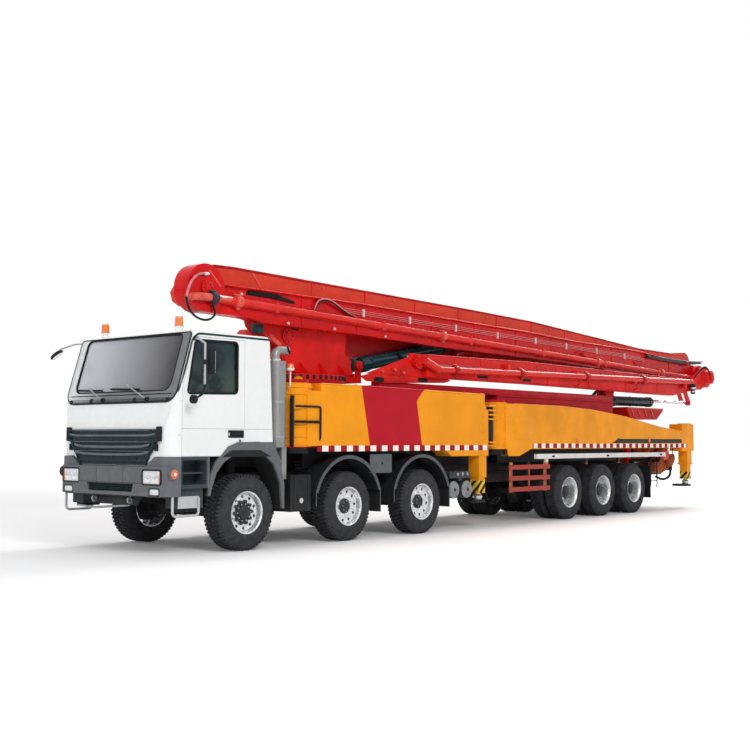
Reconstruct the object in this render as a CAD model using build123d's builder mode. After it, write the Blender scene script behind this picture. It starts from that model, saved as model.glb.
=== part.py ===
from build123d import *
import math
import os

os.makedirs("parts", exist_ok=True)

# Six-axle concrete pump truck, parked with its boom folded and its four support legs stowed.
# Millimetres. +X points to the front, +Y to the driver's left, +Z up, and the tyres stand on Z = 0.
# Every station along the truck is written as its distance ahead of the first axle.
OVERALL_LENGTH = 17400
FRONT_OVERHANG = 1450
AXLE_1 = OVERALL_LENGTH / 2 - FRONT_OVERHANG
HALF_WIDTH = 1250
SEAT = 0.3
GAP = 5

# Axles: distance ahead of the first one, and whether the wheels steer on single tyres.
AXLES = (
    # number, ahead, steered
    (1, 0, True),
    (2, -2148, True),
    (3, -3985, True),
    (4, -8739, False),
    (5, -10089, False),
    (6, -11439, False),
)

# Wheels and tyres
TYRE_RADIUS = 536
SINGLE_WIDTH = 370
TWIN_WIDTH = 300
TWIN_SPACING = 340
WHEEL_OUT = HALF_WIDTH - 10
RIM_RADIUS = 300
BARREL_RADIUS = 250
KINGPIN_Y = WHEEL_OUT - 340
KINGPIN_RADIUS = 26
SPINDLE_RADIUS = 46
RUNNING_FIT = 0.3

# Chassis frame
RAIL_Y = 460
RAIL_FLANGE = 85
RAIL_BOTTOM = 760
RAIL_TOP = 1060
RAIL_WALL = 14
RAIL_FRONT = 1050
RAIL_REAR = -14250

# Cab
CAB_WALL = 60
CAB_FLOOR = 1330
CAB_ROOF = 3050
CAB_REAR = -480
CAB_CORNER = 200
ROOF_CORNER = 90
SCREEN_BOTTOM = (1330, 2060)
SCREEN_TOP = (1035, 3030)
SCREEN_MIDDLE = 0.56
GLASS = 20
DOOR_GAP = 5
DOOR_HINGE_X = 1230
DOOR_HINGE_RADIUS = 14

# Front wheel arches: the grey band's two edges, and the well they open into under the cab.
FENDER_OUTSIDE = [
    (745, 800),
    (731, 896),
    (700, 1080),
    (621, 1242),
    (393, 1460),
    (211, 1523),
    (-209, 1530),
    (-495, 1373),
    (-626, 1233),
    (-711, 933),
    (-714, 562),
]
FENDER_INSIDE = [
    (700, 500),
    (700, 800),
    (686, 876),
    (600, 1100),
    (475, 1240),
    (209, 1389),
    (-23, 1416),
    (-273, 1375),
    (-496, 1212),
    (-629, 957),
    (-665, 588),
    (-665, 500),
]
FENDER_IN = HALF_WIDTH - 400
WELL_IN = HALF_WIDTH - 320
WELL_WALL = 45
BAND_THICK = 25

# Deck between the outriggers, and the slewing ring on it
DECK_BOTTOM = 1140
DECK_TOP = 2420
DECK_HALF = HALF_WIDTH - 400
DECK_FRONT = -1000
DECK_REAR = -11200
RING_X = -2150
RING_RADIUS = 840
RING_HEIGHT = 90

# Outriggers: hinge station, length, and where the jack stands
ARM_HINGE_Y = HALF_WIDTH - 295
ARM_IN = HALF_WIDTH - 315
DRUM_RADIUS = 270
HINGE_PIN_RADIUS = 70
FRONT_HINGE_X = -1190
FRONT_ARM_END = -5780
FRONT_JACK_X = -5725
REAR_HINGE_X = -6450
REAR_ARM_END = -14000
REAR_JACK_X = -14150
ARM_BOTTOM = 1500
JACK_OUTER = 230
JACK_WALL = 20
JACK_Y = HALF_WIDTH - 125
PAD_RADIUS = 220
PAD_THICK = 45

# Boom: five sections in side-by-side columns, each a (low Y, high Y) pair
COLUMN_1 = (-250, 250)
COLUMN_2 = (160, 500)
COLUMN_3 = (530, 830)
COLUMN_4 = (860, 1140)
PLATE = 60
BOOM_ROOT = (-1500, 3180)
REAR_KNEE = (-15500, 3460)
FRONT_KNEE = (450, 3710)
REAR_ELBOW = (-15650, 3130)
TIP_KNEE = (-4200, 2900)
KNEE_RADIUS = 345
ELBOW_RADIUS = 300
BOOM_PIN_RADIUS = 55
PIPE_RADIUS = 68
LIFT_BASE = (-3200, 2800)
LIFT_EYE = (-5900, 3330)
LIFT_Y = 385
LIFT_RADIUS = 122
LIFT_ROD_RADIUS = 75
FOLD_BASE = (-11700, 2460)
FOLD_EYE = (-15780, 2500)
FOLD_Y = 380
FOLD_RADIUS = 110
ROCKER_PIN = (-15450, 2960)


def at(ahead):
    """X of a station that many millimetres ahead of the first axle."""
    return AXLE_1 + ahead


def side(y):
    """Vertical plane at that Y, drawn in X and Z; an extrusion from it runs towards -Y."""
    return Plane.XZ.offset(-y)


def level(z):
    """Horizontal plane at that height."""
    return Plane.XY.offset(z)


def xz(points):
    """Outline points given as (ahead, Z) pairs."""
    return [(at(ahead), z) for ahead, z in points]


def save(piece, name):
    """Label a finished piece and write it."""
    piece.label = name
    export_step(piece, f"parts/{name}.step")


def wheel_plane(ahead):
    """Plane through a wheel's axis, drawn in Y and height above the axis."""
    return Plane((at(ahead), 0, TYRE_RADIUS), x_dir=(0, 1, 0), z_dir=(1, 0, 0))


def wheel_axis(ahead):
    return Axis((at(ahead), 0, TYRE_RADIUS), (0, 1, 0))


def tyre_outline(outer):
    """Half outline of one tyre from its outer bead to its inner bead, as (Y, radius)."""
    width = SINGLE_WIDTH if outer is None else TWIN_WIDTH
    face = WHEEL_OUT if outer is None else outer
    back = face - width
    return [
        (face - 28, RIM_RADIUS),
        (face, 0.55 * RIM_RADIUS + 0.45 * TYRE_RADIUS),
        (face - 6, TYRE_RADIUS - 66),
        (face - 42, TYRE_RADIUS),
        (back + 42, TYRE_RADIUS),
        (back + 6, TYRE_RADIUS - 66),
        (back, 0.55 * RIM_RADIUS + 0.45 * TYRE_RADIUS),
        (back + 28, RIM_RADIUS),
    ]


# Wheels: tyre, rim and hub turned as one ring about the axle.
SINGLE_DISC = WHEEL_OUT - 140
TWIN_DISC = WHEEL_OUT - 310
HUB_RADIUS = 135
for number, ahead, steered in AXLES:
    for word, hand in (("left", 1), ("right", -1)):
        if steered:
            outline = [
                (WHEEL_OUT - 58, 0),
                (WHEEL_OUT - 58, HUB_RADIUS - 45),
                (WHEEL_OUT - 105, HUB_RADIUS),
                (WHEEL_OUT - 112, RIM_RADIUS - 80),
                (WHEEL_OUT - 72, RIM_RADIUS - 34),
                *tyre_outline(None),
                (WHEEL_OUT - SINGLE_WIDTH + 28, BARREL_RADIUS),
                (SINGLE_DISC, BARREL_RADIUS),
                (SINGLE_DISC, SPINDLE_RADIUS + RUNNING_FIT),
                (WHEEL_OUT - 75, SPINDLE_RADIUS + RUNNING_FIT),
                (WHEEL_OUT - 75, 0),
            ]
        else:
            outline = [
                (WHEEL_OUT - 80, 0),
                (WHEEL_OUT - 80, HUB_RADIUS - 50),
                (WHEEL_OUT - 150, HUB_RADIUS - 20),
                (TWIN_DISC + 25, HUB_RADIUS),
                (TWIN_DISC + 25, RIM_RADIUS - 60),
                (WHEEL_OUT - 60, RIM_RADIUS - 38),
                *tyre_outline(WHEEL_OUT),
                *tyre_outline(WHEEL_OUT - TWIN_SPACING),
                (WHEEL_OUT - TWIN_SPACING - TWIN_WIDTH + 28, BARREL_RADIUS),
                (TWIN_DISC, BARREL_RADIUS),
                (TWIN_DISC, SPINDLE_RADIUS + RUNNING_FIT),
                (WHEEL_OUT - 120, SPINDLE_RADIUS + RUNNING_FIT),
                (WHEEL_OUT - 120, 0),
            ]
        with BuildPart() as wheel:
            with BuildSketch(wheel_plane(ahead)):
                with BuildLine():
                    Polyline(*[(hand * y, r) for y, r in outline], close=True)
                make_face()
            revolve(axis=wheel_axis(ahead))
        save(wheel.part, f"wheel_{number}_{word}")

# Steering knuckles: a fork round the beam's eye, its kingpin, the brake drum and the spindle.
EYE_RADIUS = 62
EYE_HALF = 70
FORK_THICK = 34
DRUM_BRAKE_RADIUS = 205
for number, ahead, steered in AXLES:
    if not steered:
        continue
    for word, hand in (("left", 1), ("right", -1)):
        with BuildPart() as knuckle:
            for low in (TYRE_RADIUS - EYE_HALF - SEAT - FORK_THICK, TYRE_RADIUS + EYE_HALF + SEAT):
                with BuildSketch(level(low)):
                    with Locations((at(ahead), hand * KINGPIN_Y)):
                        Circle(EYE_RADIUS)
                    with Locations((at(ahead), hand * (KINGPIN_Y + EYE_RADIUS))):
                        Rectangle(2 * EYE_RADIUS, 2 * EYE_RADIUS - 20)
                extrude(amount=FORK_THICK)
            with BuildSketch(level(TYRE_RADIUS - EYE_HALF - FORK_THICK)):
                with Locations((at(ahead), hand * KINGPIN_Y)):
                    Circle(KINGPIN_RADIUS)
            extrude(amount=2 * (EYE_HALF + FORK_THICK))
            drum_y = KINGPIN_Y + EYE_RADIUS + 12
            with BuildSketch(side(hand * drum_y)):
                with Locations((at(ahead), TYRE_RADIUS)):
                    Circle(DRUM_BRAKE_RADIUS)
            extrude(amount=-hand * 100)
            with BuildSketch(side(hand * drum_y)):
                with Locations((at(ahead), TYRE_RADIUS)):
                    Circle(SPINDLE_RADIUS)
            extrude(amount=-hand * (WHEEL_OUT - 75 - SEAT - drum_y))
        save(knuckle.part, f"knuckle_{number}_{word}")

# Axles with their leaf springs clamped on: three steered beams, then three driven tubes.
AXLE_TUBE = 85
BANJO_RADIUS = 250
SPRING_Y = 420
SPRING_WIDTH = 80
SPRING_THICK = 70
BEAM_HALF_HEIGHT = 55


def spring_outline(ahead, half):
    """Arched spring pack between a beam's top and the rail's underside, as (X, Z) points."""
    low = TYRE_RADIUS + BEAM_HALF_HEIGHT
    high = RAIL_BOTTOM - SPRING_THICK
    sag = low + 0.28 * (high - low)
    return xz(
        [
            (ahead - half, high),
            (ahead - 0.5 * half, sag),
            (ahead - 110, low),
            (ahead + 110, low),
            (ahead + 0.5 * half, sag),
            (ahead + half, high),
            (ahead + half, RAIL_BOTTOM),
            (ahead + 0.5 * half, sag + SPRING_THICK),
            (ahead, low + SPRING_THICK + 12),
            (ahead - 0.5 * half, sag + SPRING_THICK),
            (ahead - half, RAIL_BOTTOM),
        ]
    )


with BuildPart() as axles:
    for number, ahead, steered in AXLES:
        if not steered:
            continue
        with BuildSketch(Plane.YZ.offset(at(ahead) - 55)):
            with BuildLine():
                Polyline(
                    (-KINGPIN_Y, TYRE_RADIUS - BEAM_HALF_HEIGHT),
                    (-620, TYRE_RADIUS - 1.6 * BEAM_HALF_HEIGHT),
                    (620, TYRE_RADIUS - 1.6 * BEAM_HALF_HEIGHT),
                    (KINGPIN_Y, TYRE_RADIUS - BEAM_HALF_HEIGHT),
                    (KINGPIN_Y, TYRE_RADIUS + BEAM_HALF_HEIGHT),
                    (-KINGPIN_Y, TYRE_RADIUS + BEAM_HALF_HEIGHT),
                    close=True,
                )
            make_face()
        extrude(amount=110)
        with BuildSketch(level(TYRE_RADIUS - EYE_HALF)):
            with Locations((at(ahead), KINGPIN_Y), (at(ahead), -KINGPIN_Y)):
                Circle(EYE_RADIUS)
        extrude(amount=2 * EYE_HALF)
        with BuildSketch(level(TYRE_RADIUS - EYE_HALF)):
            with Locations((at(ahead), KINGPIN_Y), (at(ahead), -KINGPIN_Y)):
                Circle(KINGPIN_RADIUS + RUNNING_FIT)
        extrude(amount=2 * EYE_HALF, mode=Mode.SUBTRACT)
        for hand in (1, -1):
            with BuildSketch(side(hand * SPRING_Y + SPRING_WIDTH / 2)):
                with BuildLine():
                    Polyline(*spring_outline(ahead, 720), close=True)
                make_face()
            extrude(amount=SPRING_WIDTH)
    for number, ahead, steered in AXLES:
        if steered:
            continue
        with BuildSketch(wheel_plane(ahead)):
            with BuildLine():
                Polyline(
                    (-WHEEL_OUT + 120 + SEAT, 0),
                    (-WHEEL_OUT + 120 + SEAT, SPINDLE_RADIUS),
                    (-860, SPINDLE_RADIUS),
                    (-860, DRUM_BRAKE_RADIUS),
                    (-660, DRUM_BRAKE_RADIUS),
                    (-660, AXLE_TUBE),
                    (-200, AXLE_TUBE),
                    (-110, BANJO_RADIUS),
                    (110, BANJO_RADIUS),
                    (200, AXLE_TUBE),
                    (660, AXLE_TUBE),
                    (660, DRUM_BRAKE_RADIUS),
                    (860, DRUM_BRAKE_RADIUS),
                    (860, SPINDLE_RADIUS),
                    (WHEEL_OUT - 120 - SEAT, SPINDLE_RADIUS),
                    (WHEEL_OUT - 120 - SEAT, 0),
                    close=True,
                )
            make_face()
        revolve(axis=wheel_axis(ahead))
        for hand in (1, -1):
            with BuildSketch(side(hand * SPRING_Y + SPRING_WIDTH / 2)):
                with BuildLine():
                    Polyline(*spring_outline(ahead, 560), close=True)
                make_face()
            extrude(amount=SPRING_WIDTH)
save(axles.part, "axles")

# Chassis frame: two channel rails with their flanges inwards, and tubes across.
CROSS_TUBES = (750, -620, -3060, -4900, -6400, -7900, -9414, -10764, -12200, -14100)
CAB_MOUNTS = (900, -400)
with BuildPart() as chassis_frame:
    for hand in (1, -1):
        with BuildSketch(Plane.YZ.offset(at(RAIL_REAR))):
            with BuildLine():
                Polyline(
                    (hand * RAIL_Y, RAIL_BOTTOM),
                    (hand * RAIL_Y, RAIL_TOP),
                    (hand * (RAIL_Y - RAIL_FLANGE), RAIL_TOP),
                    (hand * (RAIL_Y - RAIL_FLANGE), RAIL_TOP - RAIL_WALL),
                    (hand * (RAIL_Y - RAIL_WALL), RAIL_TOP - RAIL_WALL),
                    (hand * (RAIL_Y - RAIL_WALL), RAIL_BOTTOM + RAIL_WALL),
                    (hand * (RAIL_Y - RAIL_FLANGE), RAIL_BOTTOM + RAIL_WALL),
                    (hand * (RAIL_Y - RAIL_FLANGE), RAIL_BOTTOM),
                    close=True,
                )
            make_face()
        extrude(amount=RAIL_FRONT - RAIL_REAR)
    for ahead in CROSS_TUBES:
        with BuildSketch(side(RAIL_Y - RAIL_WALL / 2)):
            with Locations((at(ahead), (RAIL_BOTTOM + RAIL_TOP) / 2)):
                Rectangle(120, 180)
        extrude(amount=2 * RAIL_Y - RAIL_WALL)
    with BuildSketch(level(RAIL_TOP - RAIL_WALL)):
        for ahead in CAB_MOUNTS:
            for hand in (1, -1):
                with Locations((at(ahead), hand * (RAIL_Y - RAIL_FLANGE / 2))):
                    Rectangle(120, RAIL_FLANGE)
    extrude(amount=CAB_FLOOR - RAIL_TOP + RAIL_WALL)
save(chassis_frame.part, "chassis_frame")

# Engine: the heavy block under the cab, between the rails.
with BuildPart() as engine:
    with BuildSketch(Plane.YZ.offset(at(-480))):
        with BuildLine():
            Polyline(
                (-330, RAIL_BOTTOM - 20),
                (330, RAIL_BOTTOM - 20),
                (330, 1230),
                (230, CAB_FLOOR - GAP),
                (-230, CAB_FLOOR - GAP),
                (-330, 1230),
                close=True,
            )
        make_face()
    extrude(amount=1160)
    with BuildSketch(side(RAIL_Y - RAIL_WALL - SEAT)):
        with Locations((at(500), 900), (at(-400), 900)):
            Rectangle(110, 120)
    extrude(amount=2 * (RAIL_Y - RAIL_WALL - SEAT))
save(engine.part, "engine")

# Cab shell: side outline cut to a plan with rounded front corners, then hollowed.
CAB_OUTLINE = [
    (CAB_REAR, CAB_FLOOR),
    (CAB_REAR + 90, CAB_ROOF - 40),
    (CAB_REAR + 140, CAB_ROOF),
    (SCREEN_TOP[0] - 45, CAB_ROOF),
    SCREEN_TOP,
    SCREEN_BOTTOM,
    (1390, 1720),
    (1395, CAB_FLOOR - 130),
    (1180, CAB_FLOOR - 130),
    (1180, CAB_FLOOR),
]
DOOR_OUTLINE = [
    (92, 1547),
    (92, 2955),
    (1035, 2955),
    (1212, 2230),
    (1212, CAB_FLOOR + 8),
    (545, CAB_FLOOR + 8),
    (405, 1476),
    (216, 1541),
]
WINDOW_OUTLINE = [(232, 2215), (232, 2910), (985, 2900), (1120, 2190)]
WINDOW_CORNER = 60


def cab_solid(inset):
    """The cab's block, shrunk by that much on every face."""
    with BuildPart() as block:
        with BuildSketch(side(HALF_WIDTH - inset)):
            with BuildLine():
                Polyline(*xz(CAB_OUTLINE), close=True)
            make_face()
            if inset:
                offset(amount=-inset, kind=Kind.INTERSECTION, mode=Mode.REPLACE)
        extrude(amount=2 * (HALF_WIDTH - inset))
        with BuildSketch(level(CAB_FLOOR - 200)) as plan:
            with Locations((at(455), 0)):
                Rectangle(1880 - 2 * inset, 2 * (HALF_WIDTH - inset))
            fillet(plan.vertices().group_by(Axis.X)[-1], radius=CAB_CORNER - inset / 2)
        extrude(amount=CAB_ROOF, mode=Mode.INTERSECT)
        with BuildSketch(Plane.YZ.offset(at(CAB_REAR - 10))) as rear_view:
            with Locations((0, CAB_ROOF - inset - 1000)):
                Rectangle(2 * (HALF_WIDTH - inset), 2000)
            fillet(rear_view.vertices().group_by(Axis.Y)[-1], radius=ROOF_CORNER - inset)
        extrude(amount=2000, mode=Mode.INTERSECT)
    return block.part


def screen_plane():
    """Plane on the raked windscreen, x across the cab and y up the glass."""
    run = SCREEN_TOP[0] - SCREEN_BOTTOM[0]
    rise = SCREEN_TOP[1] - SCREEN_BOTTOM[1]
    ahead = SCREEN_BOTTOM[0] + SCREEN_MIDDLE * run
    height = SCREEN_BOTTOM[1] + SCREEN_MIDDLE * rise
    return Plane((at(ahead), 0, height), x_dir=(0, 1, 0), z_dir=(rise, 0, -run))


SCREEN_WIDTH = 2 * HALF_WIDTH - 340
SCREEN_HEIGHT = 850
SCREEN_CORNER = 120
DOOR_HINGES = (1600, 2080)
HINGE_LENGTH = 110
cab_outer = cab_solid(0)
with BuildPart() as cab_space:
    add(cab_solid(CAB_WALL))
    with BuildSketch(level(CAB_FLOOR - 200)):
        with Locations((at(455), 0)):
            Rectangle(2400, 3 * HALF_WIDTH)
    extrude(amount=200 + CAB_WALL, mode=Mode.SUBTRACT)
    for hand in (1, -1):
        with BuildSketch(side(hand * HALF_WIDTH)):
            with BuildLine():
                Polyline(*xz(FENDER_INSIDE), close=True)
            make_face()
            offset(amount=WELL_WALL, kind=Kind.INTERSECTION, mode=Mode.REPLACE)
        extrude(amount=hand * (HALF_WIDTH - WELL_IN + WELL_WALL), mode=Mode.SUBTRACT)

# Corner panels of the bumper, beside the grille, as (Y, Z) points of the left one.
CORNER_PANEL = [(730, 1185), (930, CAB_FLOOR - GAP), (HALF_WIDTH, CAB_FLOOR - GAP), (HALF_WIDTH, 1185)]
with BuildPart() as cab_shell:
    add(cab_outer)
    add(cab_space.part, mode=Mode.SUBTRACT)
    for hand in (1, -1):
        with BuildSketch(side(hand * (HALF_WIDTH + 10))):
            with BuildLine():
                Polyline(*xz(FENDER_INSIDE), close=True)
            make_face()
        extrude(amount=hand * (HALF_WIDTH + 10 - WELL_IN), mode=Mode.SUBTRACT)
        with BuildSketch(side(hand * (HALF_WIDTH + 10))):
            with BuildLine():
                Polyline(*xz(FENDER_OUTSIDE), close=True)
            make_face()
            offset(amount=GAP, kind=Kind.INTERSECTION, mode=Mode.REPLACE)
        extrude(amount=hand * (10 + BAND_THICK + GAP), mode=Mode.SUBTRACT)
        with BuildSketch(Plane.YZ.offset(at(1170))):
            with BuildLine():
                Polyline(
                    (hand * 690, 1190),
                    (hand * 915, CAB_FLOOR),
                    (hand * (HALF_WIDTH + 10), CAB_FLOOR),
                    (hand * (HALF_WIDTH + 10), 1190),
                    close=True,
                )
            make_face()
        extrude(amount=240, mode=Mode.SUBTRACT)
    with BuildSketch(screen_plane()):
        RectangleRounded(SCREEN_WIDTH, SCREEN_HEIGHT, SCREEN_CORNER)
    extrude(amount=150, both=True, mode=Mode.SUBTRACT)
    with BuildSketch(side(HALF_WIDTH + 10)):
        with BuildLine():
            Polyline(*xz(DOOR_OUTLINE), close=True)
        make_face()
        offset(amount=DOOR_GAP, kind=Kind.INTERSECTION, mode=Mode.REPLACE)
    extrude(amount=2 * HALF_WIDTH + 20, mode=Mode.SUBTRACT)
    for hand in (1, -1):
        for low in DOOR_HINGES:
            with BuildSketch(level(low - 1)):
                with Locations((at(DOOR_HINGE_X), hand * (HALF_WIDTH - 10))):
                    Circle(DOOR_HINGE_RADIUS + SEAT)
                with Locations((at(DOOR_HINGE_X - 12), hand * (HALF_WIDTH - 10))):
                    Rectangle(24, 2 * DOOR_HINGE_RADIUS + 2 * SEAT)
            extrude(amount=HINGE_LENGTH + 2, mode=Mode.SUBTRACT)
save(cab_shell.part, "cab_shell")

# Windscreen: one pane let into the shell's front, a seat's width clear all round.
with BuildPart() as windscreen:
    with BuildSketch(screen_plane().offset(-GLASS - 12)):
        RectangleRounded(SCREEN_WIDTH - 2 * SEAT, SCREEN_HEIGHT - 2 * SEAT, SCREEN_CORNER - SEAT)
    extrude(amount=GLASS)
save(windscreen.part, "windscreen")

# Doors: the cab wall's own thickness, window cut, hinge barrels at the front edge.
for word, hand in (("left", 1), ("right", -1)):
    with BuildPart() as door:
        with BuildSketch(side(hand * HALF_WIDTH)):
            with BuildLine():
                Polyline(*xz(DOOR_OUTLINE), close=True)
            make_face()
        extrude(amount=hand * CAB_WALL)
        with BuildSketch(side(hand * (HALF_WIDTH + 10))) as window:
            with BuildLine():
                Polyline(*xz(WINDOW_OUTLINE), close=True)
            make_face()
            fillet(window.vertices(), radius=WINDOW_CORNER)
        extrude(amount=hand * (CAB_WALL + 20), mode=Mode.SUBTRACT)
        with BuildSketch(side(hand * (HALF_WIDTH + 14))):
            with Locations((at(260), 1635)):
                SlotOverall(270, 60)
        extrude(amount=hand * 14)
        for low in DOOR_HINGES:
            with BuildSketch(level(low)):
                with Locations((at(DOOR_HINGE_X), hand * (HALF_WIDTH - 10))):
                    Circle(DOOR_HINGE_RADIUS)
                with Locations((at(DOOR_HINGE_X - 16), hand * (HALF_WIDTH - 10))):
                    Rectangle(30, 12)
            extrude(amount=HINGE_LENGTH)
    save(door.part, f"door_{word}")

# Cab interior: two seats and the dashboard with its wheel, standing on the cab floor.
FLOOR_TOP = CAB_FLOOR + CAB_WALL
with BuildPart() as cab_interior:
    for y in (620, -620):
        with BuildSketch(side(y + 250)):
            with BuildLine():
                Polyline(
                    *xz(
                        [
                            (-60, FLOOR_TOP),
                            (330, FLOOR_TOP),
                            (380, FLOOR_TOP + 420),
                            (60, FLOOR_TOP + 460),
                            (-60, FLOOR_TOP + 1180),
                            (-190, FLOOR_TOP + 1180),
                            (-120, FLOOR_TOP + 300),
                        ]
                    ),
                    close=True,
                )
            make_face()
        extrude(amount=500)
    with BuildSketch(side(HALF_WIDTH - CAB_WALL - 40)):
        with BuildLine():
            Polyline(
                *xz(
                    [
                        (1000, FLOOR_TOP),
                        (1240, FLOOR_TOP),
                        (1240, FLOOR_TOP + 560),
                        (1150, FLOOR_TOP + 640),
                        (850, FLOOR_TOP + 610),
                        (830, FLOOR_TOP + 470),
                        (1000, FLOOR_TOP + 400),
                    ]
                ),
                close=True,
            )
        make_face()
    extrude(amount=2 * (HALF_WIDTH - CAB_WALL - 40))
    wheel_seat = Plane((at(800), 620, FLOOR_TOP + 640), x_dir=(0, 1, 0), z_dir=(-0.45, 0, 0.9))
    with BuildSketch(wheel_seat):
        Circle(230)
        Circle(195, mode=Mode.SUBTRACT)
        Rectangle(400, 50)
        Circle(60)
    extrude(amount=32)
    with BuildSketch(wheel_seat):
        Circle(38)
    extrude(amount=-260)
save(cab_interior.part, "cab_interior")

# Grille: a full-width top band, then stepping in downwards, with four slots over a thin back.
GRILLE_TOP = 1700
GRILLE_BOTTOM = 1215
GRILLE_EDGE = [
    # in from the cab's side, height
    (HALF_WIDTH - 1050, GRILLE_TOP),
    (HALF_WIDTH - 1050, 1540),
    (290, 1525),
    (390, 1380),
    (410, 1372),
    (500, GRILLE_BOTTOM),
]
GRILLE_SLOTS = (
    # middle height, height, half width in from the cab's side
    (1650, 50, 260),
    (1575, 50, 270),
    (1480, 60, 350),
    (1400, 50, 400),
    (1315, 60, 450),
    (1245, 36, 500),
)
GRILLE_BACK = 1395
GRILLE_DEEP = 42
with BuildPart() as grille:
    with BuildSketch(Plane.YZ.offset(at(GRILLE_BACK + SEAT))):
        with BuildLine():
            Polyline(
                *[(HALF_WIDTH - y, z) for y, z in GRILLE_EDGE],
                *[(y - HALF_WIDTH, z) for y, z in reversed(GRILLE_EDGE)],
                close=True,
            )
        make_face()
    extrude(amount=GRILLE_DEEP)
    with BuildSketch(Plane.YZ.offset(at(GRILLE_BACK + SEAT + 14))):
        for z, tall, inset in GRILLE_SLOTS:
            with Locations((0, z)):
                Trapezoid(2 * (HALF_WIDTH - inset), tall, 70, rotation=180)
    extrude(amount=GRILLE_DEEP, mode=Mode.SUBTRACT)
save(grille.part, "grille")

# Bumper with lower intake, lamp pockets, and the corner panels that rise beside the grille.
BUMPER_FRONT = FRONT_OVERHANG
BUMPER_REAR = 1270
BUMPER_SIDE = 1220
BUMPER_BOTTOM = 800
BUMPER_TOP = 1195
PANEL_FRONT = BUMPER_FRONT - 25
LAMP_Y = HALF_WIDTH - 340
LAMP_SIZE = (390, 200)
LAMP_Z = 1055
FOG_Y = HALF_WIDTH - 280
FOG_SIZE = (190, 75)
FOG_Z = 860
with BuildPart() as corner_panels:
    for hand in (1, -1):
        with BuildSketch(Plane.YZ.offset(at(BUMPER_SIDE))):
            with BuildLine():
                Polyline(*[(hand * y, z) for y, z in CORNER_PANEL], close=True)
            make_face()
        extrude(amount=PANEL_FRONT - BUMPER_SIDE)
    with BuildSketch(level(BUMPER_BOTTOM)) as panel_plan:
        with Locations((at((PANEL_FRONT + BUMPER_SIDE) / 2), 0)):
            Rectangle(PANEL_FRONT - BUMPER_SIDE, 2 * HALF_WIDTH)
        fillet(panel_plan.vertices().group_by(Axis.X)[-1], radius=CAB_CORNER - 10)
    extrude(amount=CAB_FLOOR - BUMPER_BOTTOM, mode=Mode.INTERSECT)
with BuildPart() as bumper:
    with BuildSketch(level(BUMPER_BOTTOM)) as bumper_plan:
        with Locations((at((BUMPER_FRONT + BUMPER_SIDE) / 2), 0)):
            Rectangle(BUMPER_FRONT - BUMPER_SIDE, 2 * HALF_WIDTH)
        fillet(bumper_plan.vertices().group_by(Axis.X)[-1], radius=CAB_CORNER)
        with Locations((at(BUMPER_REAR - 100), 0)):
            Rectangle(200, 2 * (HALF_WIDTH - 70), mode=Mode.SUBTRACT)
    extrude(amount=BUMPER_TOP - BUMPER_BOTTOM)
    add(corner_panels.part)
    with BuildSketch(Plane.YZ.offset(at(BUMPER_FRONT - 60))):
        with Locations((0, BUMPER_BOTTOM + 105)):
            Trapezoid(1050, 110, 75, rotation=180)
        with Locations((LAMP_Y, LAMP_Z), (-LAMP_Y, LAMP_Z)):
            RectangleRounded(*LAMP_SIZE, 40)
        with Locations((FOG_Y, FOG_Z), (-FOG_Y, FOG_Z)):
            RectangleRounded(*FOG_SIZE, 25)
    extrude(amount=200, mode=Mode.SUBTRACT)
    with BuildSketch(level(RAIL_TOP - 110)):
        for hand in (1, -1):
            with Locations((at((RAIL_FRONT + SEAT + BUMPER_REAR + 10) / 2), hand * (RAIL_Y - RAIL_FLANGE / 2))):
                Rectangle(BUMPER_REAR + 10 - RAIL_FRONT - SEAT, RAIL_FLANGE)
    extrude(amount=100)
save(bumper.part, "bumper")

# Headlamps and fog lamps in the bumper's pockets, and two beacons on the cab roof.
BEACON_X = 945
BEACON_Y = HALF_WIDTH - 415
BEACON_FOOT = 60
BEACON_TALL = 150
BEACON_RADIUS = 58
with BuildPart() as lamps:
    with BuildSketch(Plane.YZ.offset(at(BUMPER_FRONT - 60))):
        with Locations((LAMP_Y, LAMP_Z), (-LAMP_Y, LAMP_Z)):
            RectangleRounded(LAMP_SIZE[0] - 2 * SEAT, LAMP_SIZE[1] - 2 * SEAT, 40 - SEAT)
        with Locations((FOG_Y, FOG_Z), (-FOG_Y, FOG_Z)):
            RectangleRounded(FOG_SIZE[0] - 2 * SEAT, FOG_SIZE[1] - 2 * SEAT, 25 - SEAT)
    extrude(amount=40)
    for hand in (1, -1):
        with BuildSketch(level(CAB_ROOF)):
            with Locations((at(BEACON_X), hand * BEACON_Y)):
                Circle(BEACON_RADIUS - 14)
        extrude(amount=BEACON_FOOT)
        with BuildSketch(level(CAB_ROOF + BEACON_FOOT)):
            with Locations((at(BEACON_X), hand * BEACON_Y)):
                Circle(BEACON_RADIUS)
        extrude(amount=BEACON_TALL, taper=3)
save(lamps.part, "lamps")

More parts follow.
